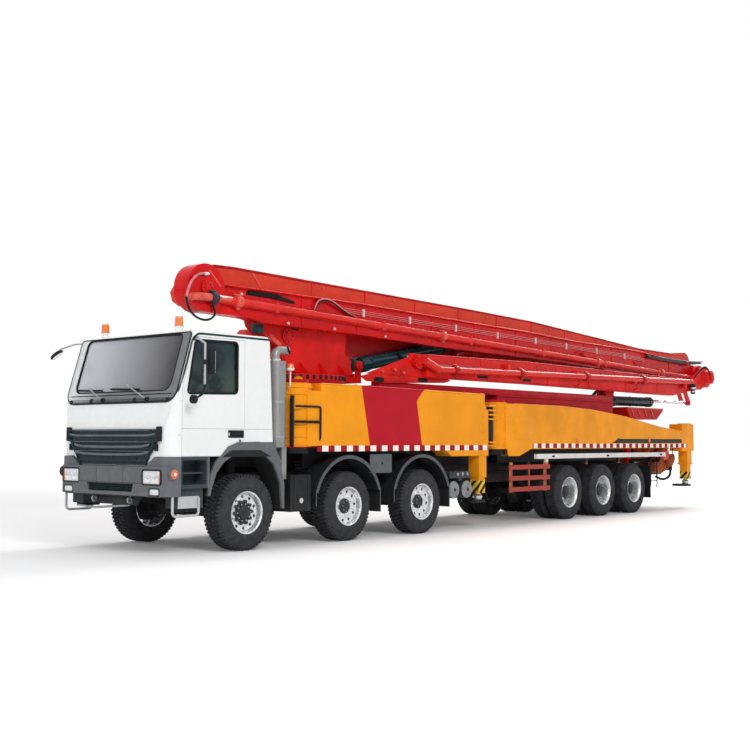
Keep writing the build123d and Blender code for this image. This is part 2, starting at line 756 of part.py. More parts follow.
# Front fenders: the arched band let into the cab's side, the step box ahead of it and the
# bent step tube below.
STEP_FRONT = BUMPER_SIDE - GAP
STEP_REAR = 745
STEP_LOW = 905
STEP_DEEP = 320
STEP_TUBE_Y = HALF_WIDTH - 50
STEP_TUBE = [(870, 780), (870, 540), (1320, 540), (1320, BUMPER_BOTTOM - SEAT)]
with BuildPart() as front_fenders:
    for hand in (1, -1):
        with BuildSketch(side(hand * HALF_WIDTH)):
            with BuildLine():
                Polyline(*xz(FENDER_OUTSIDE), close=True)
            make_face()
            with BuildLine():
                Polyline(*xz(FENDER_INSIDE), close=True)
            make_face(mode=Mode.SUBTRACT)
        extrude(amount=hand * (HALF_WIDTH - FENDER_IN))
        with BuildSketch(side(hand * (HALF_WIDTH - BAND_THICK))):
            with Locations((at(0), CAB_FLOOR - GAP + 200)):
                Rectangle(2000, 400)
        extrude(amount=hand * HALF_WIDTH, mode=Mode.SUBTRACT)
        with BuildSketch(side(hand * HALF_WIDTH)):
            with Locations((at((STEP_FRONT + STEP_REAR - 20) / 2), (STEP_LOW + CAB_FLOOR - GAP) / 2)):
                Rectangle(STEP_FRONT - STEP_REAR + 20, CAB_FLOOR - GAP - STEP_LOW)
        extrude(amount=hand * STEP_DEEP)
        with BuildSketch(side(hand * (HALF_WIDTH - 60))):
            with Locations((at((STEP_FRONT + 790) / 2), 780)):
                Rectangle(STEP_FRONT - 790, 280)
        extrude(amount=hand * 260)
        with BuildSketch(side(hand * (HALF_WIDTH + 10))):
            with Locations((at((STEP_FRONT + STEP_REAR) / 2 + 10), 1120)):
                RectangleRounded(STEP_FRONT - STEP_REAR - 50, 330, 40)
        extrude(amount=hand * 250, mode=Mode.SUBTRACT)
        with BuildSketch(side(hand * (HALF_WIDTH - 60))):
            with Locations((at((STEP_FRONT + STEP_REAR) / 2 + 10), 1110)):
                Rectangle(STEP_FRONT - STEP_REAR - 40, 22)
        extrude(amount=hand * 190)
        with BuildLine() as step_line:
            FilletPolyline(*[(at(ahead), hand * STEP_TUBE_Y, z) for ahead, z in STEP_TUBE], radius=60)
        with BuildSketch(Plane(origin=step_line.line @ 0, z_dir=step_line.line % 0)):
            Circle(18)
        sweep(path=step_line.line)
        with BuildSketch(level(RAIL_TOP - 160)):
            with Locations((at(CAB_REAR - 185), hand * (RAIL_Y + SEAT + FENDER_IN + 20) / 2)):
                Rectangle(80, FENDER_IN + 20 - RAIL_Y - SEAT)
        extrude(amount=60)
save(front_fenders.part, "front_fenders")

# Arched fenders over the second and third axles with their flaps, and the black box ahead of them.
FLAPS = (
    # from the axle, lower edge
    (745, 560),
    (-745, 420),
)
BLACK_BOX = (-1335, -905)
ARCH_OUTER = 790
ARCH_INNER = 735
ARCH_IN = HALF_WIDTH - 385
with BuildPart() as axle_fenders:
    for hand in (1, -1):
        for ahead in (AXLES[1][1], AXLES[2][1]):
            with BuildSketch(side(hand * (HALF_WIDTH - 10))):
                with Locations((at(ahead), TYRE_RADIUS)):
                    Circle(ARCH_OUTER)
                    Circle(ARCH_INNER, mode=Mode.SUBTRACT)
                with Locations((at(ahead), TYRE_RADIUS - 350)):
                    Rectangle(3 * ARCH_OUTER, 1160, mode=Mode.SUBTRACT)
            extrude(amount=hand * (HALF_WIDTH - 10 - ARCH_IN))
            with BuildSketch(level(DECK_BOTTOM - 40)):
                for ahead_of in (480, -480):
                    with Locations((at(ahead + ahead_of), hand * (RAIL_Y + SEAT + ARCH_IN + 15) / 2)):
                        Rectangle(50, ARCH_IN + 15 - RAIL_Y - SEAT)
            extrude(amount=40)
            for ahead_of, low in FLAPS:
                with BuildSketch(level(low)):
                    with Locations((at(ahead + ahead_of), hand * (HALF_WIDTH - 10 + ARCH_IN) / 2)):
                        Rectangle(20, HALF_WIDTH - 10 - ARCH_IN)
                extrude(amount=800 - low)
        with BuildSketch(level(500)):
            with Locations((at(sum(BLACK_BOX) / 2), hand * (HALF_WIDTH - 65 + RAIL_Y + SEAT) / 2)):
                Rectangle(BLACK_BOX[1] - BLACK_BOX[0], HALF_WIDTH - 65 - RAIL_Y - SEAT)
        extrude(amount=540)
save(axle_fenders.part, "axle_fenders")

# Mirrors: the left one stands on its door, the right one hangs ahead of the roof's corner.
MIRROR_OUT = HALF_WIDTH + 240
MIRROR_STALK = (1000, MIRROR_OUT - 40)
MIRROR_ARM = [
    # ahead, out from the cab's side, height
    (1000, SEAT, 2925),
    (1010, 90, 2915),
    (MIRROR_STALK[0], MIRROR_STALK[1] - HALF_WIDTH, 2850),
    (MIRROR_STALK[0], MIRROR_STALK[1] - HALF_WIDTH, 2270),
    (1050, MIRROR_STALK[1] - HALF_WIDTH, 2160),
    (1175, MIRROR_STALK[1] - HALF_WIDTH - 10, 2095),
]
with BuildPart() as mirror_left:
    with BuildLine() as left_arm:
        Polyline(*[(at(ahead), HALF_WIDTH + out, z) for ahead, out, z in MIRROR_ARM])
    with BuildSketch(Plane(origin=left_arm.line @ 0, z_dir=left_arm.line % 0)):
        Circle(15)
    sweep(path=left_arm.line, transition=Transition.RIGHT)
    with BuildSketch(level(2440)):
        with Locations((at(MIRROR_STALK[0] - 105), MIRROR_OUT - 35)):
            RectangleRounded(90, 70, 25)
    extrude(amount=330)
    with BuildSketch(side(MIRROR_OUT - 30)):
        with Locations((at(MIRROR_STALK[0] - 40), 2600)):
            Rectangle(100, 24)
    extrude(amount=24)
    with BuildSketch(Plane.YZ.offset(at(1200))):
        with Locations((MIRROR_OUT - 58, 2095)):
            Circle(58)
    extrude(amount=-50)
    add(cab_outer, mode=Mode.SUBTRACT)
save(mirror_left.part, "mirror_left")

with BuildPart() as mirror_right:
    with BuildLine() as right_arm:
        Polyline(
            (at(1000), -HALF_WIDTH + 30, 2985),
            (at(1180), -HALF_WIDTH - 60, 2960),
            (at(1340), -MIRROR_OUT + 90, 2900),
            (at(1340), -MIRROR_OUT + 90, 2700),
        )
    with BuildSketch(Plane(origin=right_arm.line @ 0, z_dir=right_arm.line % 0)):
        Circle(16)
    sweep(path=right_arm.line, transition=Transition.RIGHT)
    with BuildSketch(Plane.YZ.offset(at(1370))):
        with Locations((-MIRROR_OUT + 90, 2790)):
            RectangleRounded(180, 240, 50)
    extrude(amount=-70)
    add(cab_outer, mode=Mode.SUBTRACT)
save(mirror_right.part, "mirror_right")

# Exhaust: a shielded upright silencer behind the cab with a pipe bend on top.
EXHAUST_X = -750
EXHAUST_Y = HALF_WIDTH - 200
with BuildPart() as exhaust:
    with BuildSketch(level(1450)):
        with Locations((at(EXHAUST_X), EXHAUST_Y)):
            SlotOverall(270, 220)
    extrude(amount=1270)
    with BuildSketch(level(2720)):
        with Locations((at(EXHAUST_X + 40), EXHAUST_Y)):
            Circle(62)
    extrude(amount=50)
    with BuildLine() as stack:
        FilletPolyline(
            (at(EXHAUST_X + 40), EXHAUST_Y, 2770),
            (at(EXHAUST_X + 40), EXHAUST_Y, 2885),
            (at(EXHAUST_X - 185), EXHAUST_Y, 2885),
            radius=90,
        )
    with BuildSketch(Plane(origin=stack.line @ 0, z_dir=stack.line % 0)):
        Circle(62)
    sweep(path=stack.line)
    with BuildSketch(level(980)):
        with Locations((at(EXHAUST_X - 90), (RAIL_Y + EXHAUST_Y + 60) / 2)):
            Rectangle(100, EXHAUST_Y + 60 - RAIL_Y - 2 * SEAT)
    extrude(amount=50)
    with BuildSketch(level(1030)):
        with Locations((at(EXHAUST_X - 90), EXHAUST_Y)):
            Rectangle(100, 120)
    extrude(amount=421)
save(exhaust.part, "exhaust")

# Side boxes and air tanks hung on the rails between the axles.
with BuildPart() as side_boxes:
    for hand in (1, -1):
        with BuildSketch(side(hand * (HALF_WIDTH - 40))):
            with Locations((at(-3060), 1185)):
                RectangleRounded(300, 310, 25)
        extrude(amount=hand * (HALF_WIDTH - 40 - DECK_HALF - 10))
        with BuildSketch(side(hand * (RAIL_Y + SEAT))):
            with Locations((at(-3060), 1040)):
                Rectangle(120, 60)
        extrude(amount=-hand * 500)
        for ahead in (-4920, -5300):
            with BuildSketch(side(hand * (HALF_WIDTH - 60))):
                with Locations((at(ahead), 700)):
                    Circle(150)
            extrude(amount=hand * 640)
            with BuildSketch(side(hand * (RAIL_Y + SEAT))):
                with Locations((at(ahead), 855)):
                    Rectangle(100, 130)
            extrude(amount=-hand * 500)
        with BuildSketch(side(hand * (HALF_WIDTH - 60))):
            with Locations((at(-5110), 940)):
                Rectangle(620, 70)
        extrude(amount=hand * 90)
        with BuildSketch(side(hand * (HALF_WIDTH - 60))):
            with Locations((at(-5110), 890)):
                Rectangle(90, 80)
        extrude(amount=hand * (HALF_WIDTH - 60 - RAIL_Y - SEAT))
save(side_boxes.part, "side_boxes")

# Deck: the crimson body between the outriggers on its sills, notched round the four hinge
# drums, with the ears and pins that carry them, and the slewing ring on top.
NOTCH = DRUM_RADIUS + 30
NOTCH_Y = ARM_HINGE_Y - NOTCH
EAR_RADIUS = DRUM_RADIUS - 40
LOW_EAR = 100
TOP_EAR = 60
HINGES = (
    # hinge station, drum's foot, drum's top
    (FRONT_HINGE_X, ARM_BOTTOM - 40, 2400),
    (REAR_HINGE_X, ARM_BOTTOM - 100, 2250),
)
with BuildPart() as deck_body:
    with BuildSketch(level(DECK_BOTTOM)):
        with Locations((at((DECK_FRONT + DECK_REAR) / 2), 0)):
            Rectangle(DECK_FRONT - DECK_REAR, 2 * DECK_HALF)
        for hinge, foot, top in HINGES:
            for hand in (1, -1):
                with Locations((at(hinge), hand * (NOTCH_Y + 300))):
                    Rectangle(2 * NOTCH, 600, mode=Mode.SUBTRACT)
    extrude(amount=DECK_TOP - DECK_BOTTOM)
    with BuildSketch(level(DECK_TOP)):
        with Locations((at((-3300 + DECK_REAR) / 2), 0)):
            Rectangle(-3300 - DECK_REAR, 2 * (DECK_HALF - 200))
    extrude(amount=55)
    with BuildSketch(level(DECK_TOP)):
        with Locations((at(RING_X), 0)):
            Circle(RING_RADIUS)
    extrude(amount=RING_HEIGHT)
    for hand in (1, -1):
        with BuildSketch(level(RAIL_TOP)):
            with Locations((at((DECK_FRONT + DECK_REAR) / 2), hand * (RAIL_Y - 50))):
                Rectangle(DECK_FRONT - DECK_REAR, 100)
        extrude(amount=DECK_BOTTOM - RAIL_TOP)
        for hinge, foot, top in HINGES:
            for low, thick in ((foot - LOW_EAR, LOW_EAR), (top + GAP, TOP_EAR)):
                with BuildSketch(level(low)):
                    with Locations((at(hinge), hand * ARM_HINGE_Y)):
                        Circle(EAR_RADIUS)
                    with Locations((at(hinge), hand * (ARM_HINGE_Y + NOTCH_Y - 60) / 2)):
                        Rectangle(2 * EAR_RADIUS, ARM_HINGE_Y - NOTCH_Y + 60)
                extrude(amount=thick)
            with BuildSketch(level(foot - LOW_EAR)):
                with Locations((at(hinge), hand * ARM_HINGE_Y)):
                    Circle(HINGE_PIN_RADIUS)
            extrude(amount=top + GAP + TOP_EAR - foot + LOW_EAR)
save(deck_body.part, "deck_body")

# Outrigger arms: a hinge drum, the deep box beam and the jack's outer tube at its tip.
FRONT_ARM = [
    (FRONT_HINGE_X, ARM_BOTTOM - 30),
    (-4550, ARM_BOTTOM - 70),
    (-4780, 1285),
    (-5890, 1285),
    (-5890, 2100),
    (FRONT_ARM_END, 2110),
    (FRONT_ARM_END, 2390),
    (-2430, 2420),
    (-1480, 2420),
    (-1480, 2300),
    (FRONT_HINGE_X, 2300),
]
REAR_ARM = [
    (REAR_HINGE_X, 1400),
    (-6550, 1270),
    (-6900, 1270),
    (-7300, 1400),
    (REAR_ARM_END, 1400),
    (REAR_ARM_END, 1760),
    (-12600, 1880),
    (-11000, 2080),
    (-9700, 2190),
    (-8400, 2240),
    (REAR_HINGE_X, 2240),
]
OUTRIGGERS = (
    # name, hinge, outline, drum's foot and top, jack station, jack tube's top, tube's and pad's bottom
    ("front", FRONT_HINGE_X, FRONT_ARM, ARM_BOTTOM - 40, 2400, FRONT_JACK_X, 2200, 900, 450),
    ("rear", REAR_HINGE_X, REAR_ARM, ARM_BOTTOM - 100, 2250, REAR_JACK_X, 1950, 1000, 500),
)
HOOP_RADIUS = DRUM_RADIUS + 18
HOOPS = {"front": (1490, 1605, 1745, 2240, 2340), "rear": (1480, 1630, 1780, 1930, 2080)}
for place, hinge, outline, foot, top, jack, tube_top, tube_low, pad_low in OUTRIGGERS:
    for word, hand in (("left", 1), ("right", -1)):
        with BuildPart() as arm:
            with BuildSketch(side(hand * HALF_WIDTH)):
                with BuildLine():
                    Polyline(*xz(outline), close=True)
                make_face()
            extrude(amount=hand * (HALF_WIDTH - ARM_IN))
            with BuildSketch(level(foot + SEAT)):
                with Locations((at(hinge), hand * ARM_HINGE_Y)):
                    Circle(DRUM_RADIUS)
            extrude(amount=top - foot - SEAT)
            for low in HOOPS[place]:
                with BuildSketch(level(low)):
                    with Locations((at(hinge), hand * ARM_HINGE_Y)):
                        Circle(HOOP_RADIUS)
                extrude(amount=28)
            with BuildSketch(level(tube_low)):
                with Locations((at(jack), hand * JACK_Y)):
                    Rectangle(JACK_OUTER, JACK_OUTER)
            extrude(amount=tube_top - tube_low)
            if place == "rear":
                with BuildSketch(level(1320)):
                    with Locations((at(jack + 100), hand * (HALF_WIDTH + ARM_IN) / 2)):
                        Rectangle(620, HALF_WIDTH - ARM_IN)
                extrude(amount=630)
            with BuildSketch(level(tube_low)):
                with Locations((at(jack), hand * JACK_Y)):
                    Rectangle(JACK_OUTER - 2 * JACK_WALL, JACK_OUTER - 2 * JACK_WALL)
            extrude(amount=tube_top - tube_low - 40, mode=Mode.SUBTRACT)
            with BuildSketch(level(foot)):
                with Locations((at(hinge), hand * ARM_HINGE_Y)):
                    Circle(HINGE_PIN_RADIUS + SEAT)
            extrude(amount=top - foot, mode=Mode.SUBTRACT)
            for low in (foot - 200, top):
                with BuildSketch(level(low)):
                    with Locations((at(hinge), hand * ARM_HINGE_Y)):
                        Circle(NOTCH)
                extrude(amount=200, mode=Mode.SUBTRACT)
        save(arm.part, f"{place}_arm_{word}")
        with BuildPart() as jack_leg:
            with BuildSketch(level(pad_low + 170)):
                with Locations((at(jack), hand * JACK_Y)):
                    Rectangle(JACK_OUTER - 2 * JACK_WALL - 2 * SEAT, JACK_OUTER - 2 * JACK_WALL - 2 * SEAT)
            extrude(amount=tube_top - 60 - pad_low - 170)
            with BuildSketch(level(pad_low + PAD_THICK)):
                with Locations((at(jack), hand * JACK_Y)):
                    Circle(48)
            extrude(amount=130)
            with BuildSketch(level(pad_low)):
                with Locations((at(jack), hand * (HALF_WIDTH - PAD_RADIUS))):
                    Circle(PAD_RADIUS)
            extrude(amount=PAD_THICK, taper=8)
        save(jack_leg.part, f"{place}_jack_{word}")

# Side rails and guards below the rear arms, on brackets from the chassis.
with BuildPart() as side_guards:
    for hand in (1, -1):
        with BuildSketch(side(hand * (HALF_WIDTH - 5))):
            with Locations((at(-10220), 1255)):
                Rectangle(5400, 95)
        extrude(amount=hand * 70)
        for ahead in (-7900, -9414, -10764, -12700):
            with BuildSketch(side(hand * (HALF_WIDTH - 20))):
                with Locations((at(ahead), RAIL_TOP + 50)):
                    Rectangle(80, 50)
            extrude(amount=hand * (HALF_WIDTH - 20 - RAIL_Y - SEAT))
            with BuildSketch(side(hand * (RAIL_Y + 100))):
                with Locations((at(ahead), RAIL_TOP - 20)):
                    Rectangle(80, 140)
            extrude(amount=hand * (100 - SEAT))
            with BuildSketch(side(hand * (HALF_WIDTH - 20))):
                with Locations((at(ahead), RAIL_TOP + 110)):
                    Rectangle(80, 170)
            extrude(amount=hand * 50)
        for z in (650, 855, 1060):
            with BuildSketch(side(hand * (HALF_WIDTH - 10))):
                with Locations((at(-7290), z)):
                    Rectangle(1400, 85)
            extrude(amount=hand * 30)
        for ahead in (-6700, -7290, -7880):
            with BuildSketch(side(hand * (HALF_WIDTH - 40))):
                with Locations((at(ahead), 870)):
                    Rectangle(60, 560)
            extrude(amount=hand * 40)
            with BuildSketch(side(hand * (HALF_WIDTH - 60))):
                with Locations((at(ahead), 960)):
                    Rectangle(60, 60)
            extrude(amount=hand * (HALF_WIDTH - 60 - RAIL_Y - SEAT))
save(side_guards.part, "side_guards")

# Hopper: an open funnel on the frame's tail, with its grate laid in the rim.
HOPPER_FRONT = -13150
HOPPER_REAR = -14250
HOPPER_HALF = HALF_WIDTH - 470
HOPPER_FOOT_HALF = HALF_WIDTH - 750
HOPPER_TOP = 1500
HOPPER_WALL = 25
with BuildPart() as hopper:
    with BuildSketch(level(HOPPER_TOP)):
        with Locations((at((HOPPER_FRONT + HOPPER_REAR) / 2), 0)):
            Rectangle(HOPPER_FRONT - HOPPER_REAR, 2 * HOPPER_HALF)
    with BuildSketch(level(RAIL_TOP)):
        with Locations((at((HOPPER_FRONT + HOPPER_REAR) / 2 + 60), 0)):
            Rectangle(700, 2 * HOPPER_FOOT_HALF)
    loft()
    with BuildSketch(level(HOPPER_TOP)):
        with Locations((at((HOPPER_FRONT + HOPPER_REAR) / 2), 0)):
            Rectangle(HOPPER_FRONT - HOPPER_REAR - 2 * HOPPER_WALL, 2 * HOPPER_HALF - 2 * HOPPER_WALL)
    with BuildSketch(level(RAIL_TOP + HOPPER_WALL)):
        with Locations((at((HOPPER_FRONT + HOPPER_REAR) / 2 + 60), 0)):
            Rectangle(700 - 2 * HOPPER_WALL, 2 * HOPPER_FOOT_HALF - 2 * HOPPER_WALL)
    loft(mode=Mode.SUBTRACT)
save(hopper.part, "hopper")

GRATE_THICK = 30
GRATE_HINGE_X = HOPPER_FRONT - 40
GRATE_HINGE_Z = HOPPER_TOP + SEAT + GRATE_THICK / 2
with BuildPart() as hopper_grate:
    with BuildSketch(level(HOPPER_TOP + SEAT)):
        with Locations((at((GRATE_HINGE_X + HOPPER_REAR) / 2), 0)):
            Rectangle(GRATE_HINGE_X - HOPPER_REAR, 2 * HOPPER_HALF - 40)
            with GridLocations(205, 300, 5, 5):
                Rectangle(175, 270, mode=Mode.SUBTRACT)
    extrude(amount=GRATE_THICK)
    with BuildSketch(side(HOPPER_HALF - 60)):
        with Locations((at(GRATE_HINGE_X), GRATE_HINGE_Z)):
            Circle(GRATE_THICK / 2)
    extrude(amount=2 * (HOPPER_HALF - 60))
save(hopper_grate.part, "hopper_grate")

# Pump unit: two delivery cylinders from the deck to the hopper, and the water box round them.
PUMP_Z = 1290
with BuildPart() as pump_unit:
    with BuildSketch(Plane.YZ.offset(at(DECK_REAR - SEAT))):
        with Locations((170, PUMP_Z), (-170, PUMP_Z)):
            Circle(140)
    extrude(amount=-1965)
    with BuildSketch(level(RAIL_TOP)):
        with Locations((at(DECK_REAR - 320), 0)):
            Rectangle(420, 2 * RAIL_Y - 20)
    extrude(amount=460)
save(pump_unit.part, "pump_unit")

# Boom rest: two posts on the rails and the long red head above the hopper.
REST_TOP = 2330
REST_POST_X = -12650
with BuildPart() as boom_rest:
    for hand in (1, -1):
        with BuildSketch(level(RAIL_TOP)):
            with Locations((at(REST_POST_X), hand * (RAIL_Y - 45))):
                Rectangle(180, 90)
        extrude(amount=2080 - RAIL_TOP)
    with BuildSketch(side(560)):
        with BuildLine():
            Polyline(
                *xz(
                    [
                        (-12400, REST_TOP - 60),
                        (-12560, 2060),
                        (-13850, 2060),
                        (-14180, REST_TOP - 60),
                        (-14180, REST_TOP),
                        (-12400, REST_TOP),
                    ]
                ),
                close=True,
            )
        make_face()
    extrude(amount=1120)
save(boom_rest.part, "boom_rest")

# Turret: a round base, two yoke plates that hold the boom's root, and the lift cylinders' ears.
TURRET_BASE = DECK_TOP + RING_HEIGHT
YOKE_OUT = 505
YOKE_IN = 262
YOKE = [
    (-1450, TURRET_BASE + 90),
    (-1330, 2980),
    (-1330, 3240),
    (-1420, 3330),
    (-1700, 3345),
    (-1900, 3440),
    (-2880, 3300),
    (-2830, 2980),
    (-3080, 2820),
    (-3080, TURRET_BASE + 90),
]
YOKE_NOSE = [
    (-1340, 2985),
    (-1080, 3100),
    (-830, 3290),
    (-790, 3400),
    (-1060, 3425),
    (-1500, 3430),
    (-1700, 3345),
]
with BuildPart() as turret:
    with BuildSketch(level(TURRET_BASE + SEAT)):
        with Locations((at(RING_X), 0)):
            Circle(RING_RADIUS)
        with Locations((at(-2840), 0)):
            Rectangle(830, 2 * YOKE_OUT)
    extrude(amount=90)
    with BuildSketch(side(YOKE_OUT)):
        with BuildLine():
            Polyline(*xz(YOKE), close=True)
        make_face()
    extrude(amount=2 * YOKE_OUT)
    with BuildSketch(side(YOKE_IN)):
        with BuildLine():
            Polyline(*xz([(-900, 2860), (-1300, 2860), (-3200, 2760), (-3200, 3600), (-900, 3600)]), close=True)
        make_face()
    extrude(amount=2 * YOKE_IN, mode=Mode.SUBTRACT)
    with BuildSketch(side(YOKE_OUT)):
        with BuildLine():
            Polyline(*xz(YOKE_NOSE), close=True)
        make_face()
    extrude(amount=YOKE_OUT - YOKE_IN)
    with BuildSketch(side(YOKE_OUT)):
        with Locations((at(BOOM_ROOT[0]), BOOM_ROOT[1])):
            Circle(90)
    extrude(amount=2 * YOKE_OUT)
    for hand in (1, -1):
        with BuildSketch(side(hand * (LIFT_Y + LIFT_RADIUS + 8))):
            with Locations((at(LIFT_BASE[0]), LIFT_BASE[1])):
                Circle(LIFT_RADIUS + 90)
        extrude(amount=hand * (2 * LIFT_RADIUS + 16), mode=Mode.SUBTRACT)
    with BuildSketch(side(YOKE_OUT)):
        with Locations((at(LIFT_BASE[0]), LIFT_BASE[1])):
            Circle(60)
        with Locations((at(LIFT_BASE[0]), (LIFT_BASE[1] + TURRET_BASE) / 2)):
            Rectangle(100, LIFT_BASE[1] - TURRET_BASE - 60)
    extrude(amount=2 * YOKE_OUT)
    for hand in (1, -1):
        with BuildSketch(side(hand * (LIFT_Y + 66))):
            with Locations((at(LIFT_BASE[0]), LIFT_BASE[1])):
                Circle(LIFT_RADIUS + 60)
        extrude(amount=hand * 132, mode=Mode.SUBTRACT)
        with BuildSketch(side(hand * (LIFT_Y + 70))):
            with Locations((at(LIFT_BASE[0]), LIFT_BASE[1])):
                Circle(48)
        extrude(amount=hand * 140)
save(turret.part, "turret")


def along(start, end, y, run):
    """Plane square to the line from start to end in the plane at that Y, a run along it."""
    length = math.dist(start, end)
    dx = (end[0] - start[0]) / length
    dz = (end[1] - start[1]) / length
    return Plane(origin=(at(start[0] + run * dx), y, start[1] + run * dz), x_dir=(0, 1, 0), z_dir=(dx, 0, dz))


# Boom section 1: the root section, down the middle, with the pins of both its knees.
SECTION_1 = [
    (-1500, 3390),
    (-2900, 3425),
    (-14900, 3425),
    (-15250, 3600),
    (-15500, 3660),
    (-15690, 3400),
    (-15560, 2880),
    (-15330, 2860),
    (-14700, 2935),
    (-9000, 2950),
    (-2600, 2960),
    (-1500, 2990),
]
ROOT_PIN_RADIUS = 90
REAR_PIN_RADIUS = 80
ROCKER_PIN_RADIUS = 42
SIDE_PIPE = [(-6350, 3220), (-14300, 3230)]
SIDE_PIPE_Y = COLUMN_1[1] + 80
with BuildPart() as section_1:
    with BuildSketch(side(COLUMN_1[1])):
        with BuildLine():
            Polyline(*xz(SECTION_1), close=True)
        make_face()
        with Locations((at(BOOM_ROOT[0]), BOOM_ROOT[1])):
            Circle(205)
        with Locations((at(REAR_KNEE[0]), REAR_KNEE[1])):
            Circle(200)
        with Locations((at(BOOM_ROOT[0]), BOOM_ROOT[1])):
            Circle(ROOT_PIN_RADIUS + SEAT, mode=Mode.SUBTRACT)
    extrude(amount=COLUMN_1[1] - COLUMN_1[0])
    with BuildSketch(side(COLUMN_2[1] + 12)):
        with Locations((at(REAR_KNEE[0]), REAR_KNEE[1])):
            Circle(REAR_PIN_RADIUS)
        with Locations((at(ROCKER_PIN[0]), ROCKER_PIN[1])):
            Circle(ROCKER_PIN_RADIUS)
    extrude(amount=COLUMN_2[1] + 12)
    with BuildSketch(side(COLUMN_1[1] + 6)):
        with Locations((at(LIFT_EYE[0]), LIFT_EYE[1] - 60)):
            Rectangle(500, 150)
    extrude(amount=2 * COLUMN_1[1] + 12)
    for low, high in ((FOLD_Y - 118, FOLD_Y - 72), (FOLD_Y + 72, FOLD_Y + 118)):
        with BuildSketch(side(high)):
            with BuildLine():
                Polyline(
                    *xz([(-11480, 2990), (-11560, 2400), (-11840, 2400), (-12000, 2990)]),
                    close=True,
                )
            make_face()
        extrude(amount=high - low)
    with BuildSketch(side(FOLD_Y + 118)):
        with Locations((at(-11740), 2970)):
            Rectangle(520, 60)
    extrude(amount=FOLD_Y)
    with BuildSketch(along(SIDE_PIPE[0], SIDE_PIPE[1], SIDE_PIPE_Y, 0)):
        Circle(PIPE_RADIUS)
    extrude(amount=math.dist(*SIDE_PIPE))
    for run in (300, 2800, 5300, 7600):
        with BuildSketch(along(SIDE_PIPE[0], SIDE_PIPE[1], SIDE_PIPE_Y - 30, run)):
            Rectangle(160, 170)
        extrude(amount=60)
save(section_1.part, "boom_section_1")

# Boom section 2: from the rear knee forward over the cab, its nose carrying the front knee's pin.
SECTION_2 = [
    (-100, 3500),
    (400, 3500),
    (520, 3560),
    (560, 3690),
    (480, 3810),
    (250, 3940),
    (40, 4120),
    (-370, 4130),
    (-3350, 4080),
    (-6380, 4030),
    (-8450, 3980),
    (-11180, 3830),
    (-13050, 3720),
    (-14900, 3700),
    (-14900, 3500),
]
SECTION_2_LUG = [
    (-14700, 3500),
    (-14700, 3702),
    (-15500, 3760),
    (-15500, 3160),
    (-15250, 3270),
]
FRONT_PIN_RADIUS = 60
with BuildPart() as section_2:
    with BuildSketch(side(COLUMN_2[1])):
        with BuildLine():
            Polyline(*xz(SECTION_2), close=True)
        make_face()
    extrude(amount=COLUMN_2[1] - COLUMN_2[0])
    with BuildSketch(side(COLUMN_2[1])):
        with BuildLine():
            Polyline(*xz(SECTION_2_LUG), close=True)
        make_face()
        with Locations((at(REAR_KNEE[0]), REAR_KNEE[1])):
            Circle(300)
        with Locations((at(REAR_KNEE[0]), REAR_KNEE[1])):
            Circle(REAR_PIN_RADIUS + SEAT, mode=Mode.SUBTRACT)
    extrude(amount=COLUMN_2[1] - COLUMN_1[1] - 15)
    with BuildSketch(side(COLUMN_3[1] + 12)):
        with Locations((at(FRONT_KNEE[0]), FRONT_KNEE[1])):
            Circle(FRONT_PIN_RADIUS)
    extrude(amount=COLUMN_3[1] + 12 - COLUMN_2[0])
save(section_2.part, "boom_section_2")

# Boom section 3: beside section 2, a narrow web with the delivery pipe along it and round knees.
SECTION_3 = [
    (450, 3380),
    (-450, 3360),
    (-740, 3310),
    (-2580, 3300),
    (-4960, 3230),
    (-10100, 3170),
    (-12680, 3040),
    (-15600, 2832),
    (-15600, 3425),
    (-12410, 3610),
    (-9630, 3645),
    (-7940, 3705),
    (-5530, 3745),
    (-2970, 3800),
    (450, 3800),
]
WEB_3 = 110
PIPE_3 = [(250, 3590), (-15700, 3095)]
PIPE_3_Y = COLUMN_3[1] - PIPE_RADIUS - 4
with BuildPart() as section_3:
    with BuildSketch(side(COLUMN_3[1] - WEB_3)):
        with BuildLine():
            Polyline(*xz(SECTION_3), close=True)
        make_face()
    extrude(amount=COLUMN_3[1] - WEB_3 - COLUMN_3[0])
    with BuildSketch(side(COLUMN_3[1])):
        with Locations((at(FRONT_KNEE[0]), FRONT_KNEE[1])):
            Circle(KNEE_RADIUS)
        with Locations((at(REAR_ELBOW[0]), REAR_ELBOW[1])):
            Circle(ELBOW_RADIUS)
    extrude(amount=COLUMN_3[1] - COLUMN_3[0])
    with BuildSketch(along(PIPE_3[0], PIPE_3[1], PIPE_3_Y, 0)):
        Circle(PIPE_RADIUS)
    extrude(amount=math.dist(*PIPE_3))
    for run in (1200, 3700, 6200, 8700, 11200, 13700):
        with BuildSketch(along(PIPE_3[0], PIPE_3[1], PIPE_3_Y - 25, run)):
            Rectangle(170, 150)
        extrude(amount=70)
    with BuildSketch(side(COLUMN_3[1] + 1)):
        with Locations((at(FRONT_KNEE[0]), FRONT_KNEE[1])):
            Circle(FRONT_PIN_RADIUS + SEAT)
    extrude(amount=COLUMN_3[1] - COLUMN_3[0] + 2, mode=Mode.SUBTRACT)
    with BuildSketch(side(COLUMN_4[1] + 12)):
        with Locations((at(REAR_ELBOW[0]), REAR_ELBOW[1])):
            Circle(BOOM_PIN_RADIUS)
    extrude(amount=COLUMN_4[1] + 12 - COLUMN_3[0])
save(section_3.part, "boom_section_3")

